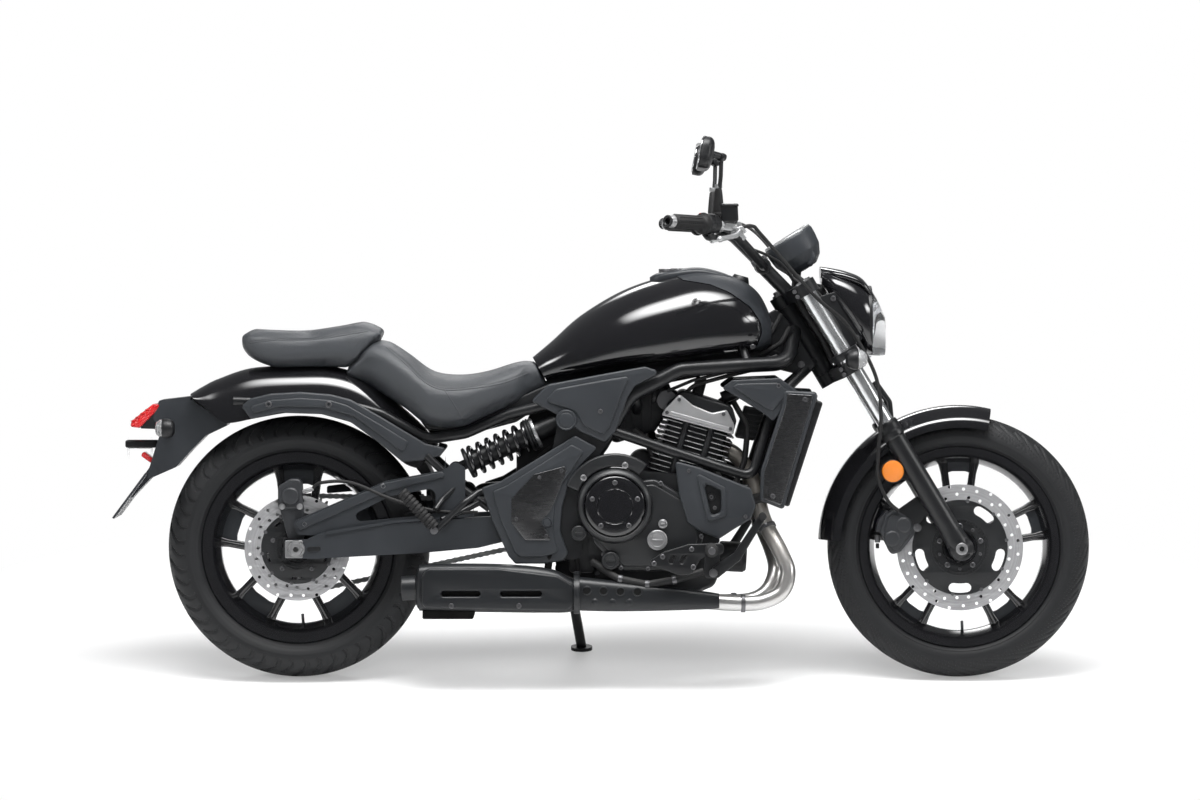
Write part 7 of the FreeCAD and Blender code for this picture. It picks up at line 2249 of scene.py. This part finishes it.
class MakeShock(bpy.types.Operator):
    """Shock with its wound spring, collars, damper and eyes."""

    bl_idname = "motorcycle.shock"
    bl_label = "Shock"

    def execute(self, context):
        along = (SHOCK_TOP - SHOCK_FOOT).normalized()
        length = (SHOCK_TOP - SHOCK_FOOT).length
        made = Piece("plastic", "steel", "chrome", "rubber")
        collar = length - 88
        body = [(0, 10), (12, 10), (12, 26), (36, 28), (38, 31), (38, 35), (32, 37), (23, 38),
                (23, collar - 14), (36, collar - 12), (40, collar - 9), (40, collar - 6), (37, collar - 4),
                (40, collar - 2), (40, collar + 1), (26, collar + 4), (23, collar + 20), (23, length - 24),
                (17, length - 14), (0, length - 12)]
        made.turned(body, 1, SHOCK_FOOT, along, 56)
        made.turned([(32, collar + 3), (36, collar + 4), (36, collar + 11), (32, collar + 12),
                     (32, collar + 3)], 0.8, SHOCK_FOOT, along, 56, 1)
        notches = []
        turn = towards(along)
        for step in range(10):
            notches.append(Matrix.Translation(SHOCK_FOOT) @ turn
                           @ Matrix.Rotation(2 * math.pi * step / 10, 4, "Z")
                           @ Matrix.Translation((35.6, 0, collar + 7.5)))
        lug = plate(rounded([(-1.4, -2.6, 0.6), (1.4, -2.6, 0.6), (1.4, 2.6, 0.6), (-1.4, 2.6, 0.6)]), -3, 3,
                    0.5, facing=TOP)
        made.add(repeated(lug, notches, "steel"), 1)
        for spot in (SHOCK_TOP, SHOCK_FOOT):
            made.turned([(8, -16), (17, -16), (17, 16), (8, 16), (8, -16)], 1, spot, ALONG_Y, 40)
            made.turned([(0, -21), (6, -21), (9, -19), (9, 19), (0, 19)], 1, spot, ALONG_Y, 6, 1)
        made.add(rod(SHOCK_TOP, SHOCK_TOP + ALONG_Y * 30, 7, 1, 20))
        made.done("shock_damper", "chassis", "black_plastic", ["shock"])
        winding = Piece("spring")
        seat, top = SHOCK_FOOT + along * 36, SHOCK_FOOT + along * (collar - 12)
        winding.add(coil(seat, top, 33, 5.4, settings().spring_turns))
        winding.done("shock_coil", "chassis", "spring", ["shock_spring"])
        return {"FINISHED"}


class MakeChain(bpy.types.Operator):
    """Roller chain, link by link round both sprockets, and the sprocket's bolts."""

    bl_idname = "motorcycle.chain"
    bl_label = "Chain"

    def execute(self, context):
        small = PITCH / (2 * math.sin(math.pi / 15))
        large = PITCH / (2 * math.sin(math.pi / 46))
        rear = Vector((REAR_AXLE.x, 98, REAR_AXLE.z))
        between = SPROCKET_HUB - rear
        span = between.length
        base = math.atan2(between.z, between.x)
        lean = math.asin((large - small) / span)
        upper = base + math.pi / 2 - lean
        lower = base - math.pi / 2 + lean

        def at(centre, radius, angle):
            return centre + Vector((math.cos(angle), 0, math.sin(angle))) * radius
        route = [at(SPROCKET_HUB, small, upper - (upper - lower) * step / 24) for step in range(25)]
        sweep = 2 * math.pi - (upper - lower)
        route += [at(rear, large, lower - sweep * step / 60) for step in range(61)]
        route.append(route[0])
        lengths = [(b - a).length for a, b in zip(route, route[1:])]
        count = 2 * round(sum(lengths) / PITCH / 2)
        step_length = sum(lengths) / count
        pins = []
        travelled, target = 0.0, 0.0
        for here, there, length in zip(route, route[1:], lengths):
            while target <= travelled + length and len(pins) < count:
                pins.append(here.lerp(there, (target - travelled) / length))
                target += step_length
            travelled += length
        places = []
        for here, there in zip(pins, pins[1:] + pins[:1]):
            ahead = (there - here).normalized()
            turn = Matrix((ahead, ALONG_Y, ahead.cross(ALONG_Y))).transposed().to_4x4()
            places.append(Matrix.Translation((here + there) / 2) @ turn)
        made = Piece("steel", "plastic")
        made.add(repeated(self.link(7.6, step_length), places[::2], "steel"))
        made.add(repeated(self.link(5.4, step_length), places[1::2], "steel"))
        made.done("roller_chain", "chassis", "steel", ["chain"], 50)
        bolts = Piece("steel")
        spots = [(on_circle(rear, 52, angle, 3.5), ALONG_Y) for angle in range(18, 378, 72)]
        bolts.add(repeated(bolt_form(6, 5, "hexagon"), spots))
        bolts.done("sprocket_bolts", "rear_wheel", "steel")
        return {"FINISHED"}

    def link(self, line, pitch):
        """Two side plates with waists, and the two pins' rollers."""
        half = pitch / 2
        outline = [(half + 5.6 * math.cos(angle), 6.4 * math.sin(angle))
                   for angle in (math.radians(value) for value in (-90, -45, 0, 45, 90))]
        outline += [(0, 4.6)] + [(-x, -y) for x, y in outline] + [(0, -4.6)]
        made = bmesh.new()
        for side in (-1, 1):
            rows = [[made.verts.new((x, side * (line + shift), z)) for x, z in outline]
                    for shift in (-0.9, 0.9)]
            skin_rings(made, rows)
            made.faces.new(reversed(rows[0]))
            made.faces.new(rows[1])
        bar = spun([(0, -line + 0.8), (4.6, -line + 0.8), (4.6, line - 0.8), (0, line - 0.8)], (-half, 0, 0),
                   ALONG_Y, 8)
        absorb(made, bar)
        return made


class MakeRearEnd(bpy.types.Operator):
    """Axle adjusters, arm strap, rear caliper, axle nuts and brake hose."""

    bl_idname = "motorcycle.rear_end"
    bl_label = "Rear end"

    def execute(self, context):
        made = Piece("cover", "brushed", "plastic", "caliper", "rubber")
        for side in (-1, 1):
            line = side * 135
            block = plate(rounded([(-26, 292, 3), (16, 292, 3), (16, 334, 3), (-26, 334, 3)]), 134, 140, 1.6)
            made.add(moved(block, Matrix.Scale(side, 4, ALONG_Y)), 1)
            nut = Vector((REAR_AXLE.x, line + side * 4, REAR_AXLE.z))
            made.turned([(7, 13), (17, 13), (18.6, 10), (18.6, 0), (7, 0), (7, 13)], 1, nut, ALONG_Y * side,
                        6, 1)
            made.turned([(0, 1), (21, 1), (21, 0), (0, 0)], 0.4, nut, ALONG_Y * side, 40, 1)
            slot = plate(rounded([(26, 306, 5), (58, 309, 5), (58, 320, 5), (26, 318, 5)]), 134, 137, 0.8)
            made.add(moved(slot, Matrix.Scale(side, 4, ALONG_Y)), 2)
            made.add(rod((-32, side * 122, 313), (-18, side * 122, 313), 5, 0.8, 20), 1)
            cap = plate(rounded([(-31, 288, 5), (-26, 288, 2), (-26, 338, 2), (-31, 338, 5)]), 107, 138, 1.4)
            made.add(moved(cap, Matrix.Scale(side, 4, ALONG_Y)), 2)
        self.caliper(made)
        made.panel([(70, 348, 4), (232, 376, 10), (420, 392, 10), (420, 396, 4), (232, 380, 10),
                    (70, 354, 4)], -138, -132, 1)
        made.add(right_side([(206, 462), (20, 372)], 127, "button", 7, 4), 1)
        made.panel([(-6, 374, 8), (212, 470, 12), (352, 498, 10), (352, 484, 8), (222, 452, 12),
                    (10, 358, 8)], -131, -126, 1.8)
        made.done("rear_end_fittings", "chassis", "satin_black", ["rear_caliper"])
        return {"FINISHED"}

    def caliper(self, made):
        at = REAR_AXLE
        body = [(at.x - 44, at.z + 94, 10), (at.x - 44, at.z + 148, 14), (at.x - 16, at.z + 165, 14),
                (at.x + 12, at.z + 165, 14), (at.x + 16, at.z + 94, 10)]
        made.panel(body, -115, -96, 4, 3)
        made.panel(body, -79, -60, 4, 3)
        made.panel([(at.x - 40, at.z + 132, 6), (at.x - 40, at.z + 148, 8), (at.x - 16, at.z + 163, 8),
                    (at.x + 10, at.z + 163, 8), (at.x + 12, at.z + 132, 6)], -98, -77, 1, 3)
        made.turned([(0, 6), (18, 6), (21, 3), (22, -3), (0, -3)], 1.4, (at.x - 14, -115, at.z + 124),
                    -ALONG_Y, 44, 3)
        made.panel([(at.x - 20, at.z + 22, 8), (at.x + 20, at.z + 22, 8), (at.x + 16, at.z + 108, 8),
                    (at.x - 44, at.z + 108, 8)], -109, -99, 2, 3)
        made.add(right_side([(at.x - 34, at.z + 100), (at.x + 8, at.z + 100)], 115, "hexagon", 6, 6), 1)
        union = Vector((at.x + 24, -106, at.z + 138))
        made.add(rod(union - Vector((10, 0, 4)), union + Vector((16, 0, 4)), 5, 0.8, 20), 1)
        hose = through([tuple(union + Vector((14, 0, 4))), (60, -118, 470), (130, -124, 470),
                        (230, -132, 430), (330, -134, 404), (430, -134, 400)], 8)
        made.add(tube([Vector(point) for point in hose], 4.2, 300, 14), 4)


class MakeFootrests(bpy.types.Operator):
    """Rubber pegs, hanger plates, pedal and lever, and folded passenger pegs."""

    bl_idname = "motorcycle.footrests"
    bl_label = "Footrests"

    def execute(self, context):
        made = Piece("frame", "rubber", "bolt", "cover")
        hanger = [(824, 284, 10), (870, 312, 20), (928, 330, 10), (1010, 332, 10), (1010, 308, 10),
                  (955, 296, 20), (936, 258, 16), (905, 256, 20), (860, 272, 20)]
        slots = [[(x, z) for x, z in rounded([(low, 284, 4), (low + 12, 284, 4), (low + 20, 304, 4),
                                              (low + 8, 304, 4)])] for low in (878, 904)]
        made.panel(hanger, -219, -209, 3, mirror=True, holes=slots)
        made.add(rod((900, -130, 300), (900, -210, 300), 12, 1.5, 28), 0, mirror=True)
        made.add(right_side([(846, 284), (866, 300), (934, 318), (938, 276)], 219, "socket", 6, 5), 2,
                 mirror=True)
        made.panel([(964, 250, 8), (1000, 250, 10), (1000, 326, 8), (964, 326, 8)], -220, -210, 2.5,
                   mirror=True)
        rings = [(0, 0), (11, 0), (14.6, 2), (14.6, 6)]
        rings += ribbed(7, 7.2, 11, 13.4, 15, (0, 1.2, 5, 6.2))
        rings += [(15, 88), (15, 90), (9, 92), (0, 92)]
        made.turned(rings, 0.3, (980, -214, 318), -ALONG_Y, 40, 1, mirror=True)
        made.turned([(0, 92.6), (8, 92.6), (9, 91.6), (9, 88), (0, 88)], 0.5, (980, -214, 318), -ALONG_Y, 32,
                    2, mirror=True)
        pedal = plate(rounded([(976, 250, 8), (996, 250, 10), (1048, 292, 20), (1106, 388, 8),
                               (1094, 400, 8), (1034, 310, 20), (984, 276, 8)]), -228, -218, 2.5)
        made.add(pedal, 0, mirror=True)
        made.add(rod((985, -206, 262), (985, -231, 262), 10, 1.5, 28), 2, mirror=True)
        for step in range(5):
            made.add(rod((1100, -226 - 8 * step, 396), (1100, -232 - 8 * step, 396), 9, 1, 24), 1,
                     mirror=True)
        made.add(rod((1100, -214, 396), (1100, -263, 396), 7.6, 1, 24), 0, mirror=True)
        start = Vector((330, -178, 366))
        along = Vector((-80, -4, 86)).normalized()
        rings = [(0, 0), (10, 0), (13.8, 2)]
        rings += ribbed(8, 10, 10, 12.2, 14.8, (0, 2, 6.4, 8.4))
        rings += [(14.6, 112), (12, 116), (0, 117)]
        made.turned(rings, 0.4, start, along, 36, 1, mirror=True)
        made.add(rod((328, -166, 360), (328, -190, 360), 9, 1, 24), 2, mirror=True)
        made.done("footrest_set", "chassis", "satin_black", ["footrests"])
        spring = Piece("spring", "steel")
        pivot = joint_place("side_stand_fold")
        spring.add(coil(pivot + Vector((-14, 22, 34)), pivot + Vector((-6, 26, -28)), 6.4, 1.5, 18))
        spring.done("stand_spring", "chassis", "spring")
        return {"FINISHED"}


class MotorcyclePanel(bpy.types.Panel):
    """Lists the operators that make the pieces."""

    bl_idname = "VIEW3D_PT_motorcycle"
    bl_label = "Motorcycle"
    bl_space_type = "VIEW_3D"
    bl_region_type = "UI"
    bl_category = "Motorcycle"

    def draw(self, context):
        for name in ("paint_black", "cover_grey", "seat_grey", "floor_white"):
            self.layout.prop(context.scene.motorcycle_colours, name)
        for name in MotorcycleSizes.__annotations__:
            self.layout.prop(context.scene.motorcycle_sizes, name)
        for operator in OPERATORS:
            self.layout.operator(operator.bl_idname)


OPERATORS = (MakeFinishes, MakeStage, MakeTyres, MakeWheels, MakeBrakeDiscs, MakeCylinders, MakeEngineCovers,
             MakeExhaust, MakeEngineBay, MakeTank, MakeSeats, MakeSideCovers, MakeRadiatorCovers,
             MakeRearBody, MakeFork, MakeBars, MakeMirrors, MakeHeadlamp, MakeCables, MakeShock, MakeChain,
             MakeRearEnd, MakeFootrests)
CLASSES = (MotorcycleColours, MotorcycleSizes, *OPERATORS, MotorcyclePanel)


def register():
    for made in CLASSES:
        bpy.utils.register_class(made)
    bpy.types.Scene.motorcycle_colours = PointerProperty(type=MotorcycleColours)
    bpy.types.Scene.motorcycle_sizes = PointerProperty(type=MotorcycleSizes)


def unregister():
    del bpy.types.Scene.motorcycle_sizes
    del bpy.types.Scene.motorcycle_colours
    for made in reversed(CLASSES):
        bpy.utils.unregister_class(made)


def main():
    register()
    for operator in OPERATORS:
        group, name = operator.bl_idname.split(".")
        getattr(getattr(bpy.ops, group), name)()


if __name__ == "__main__":
    main()
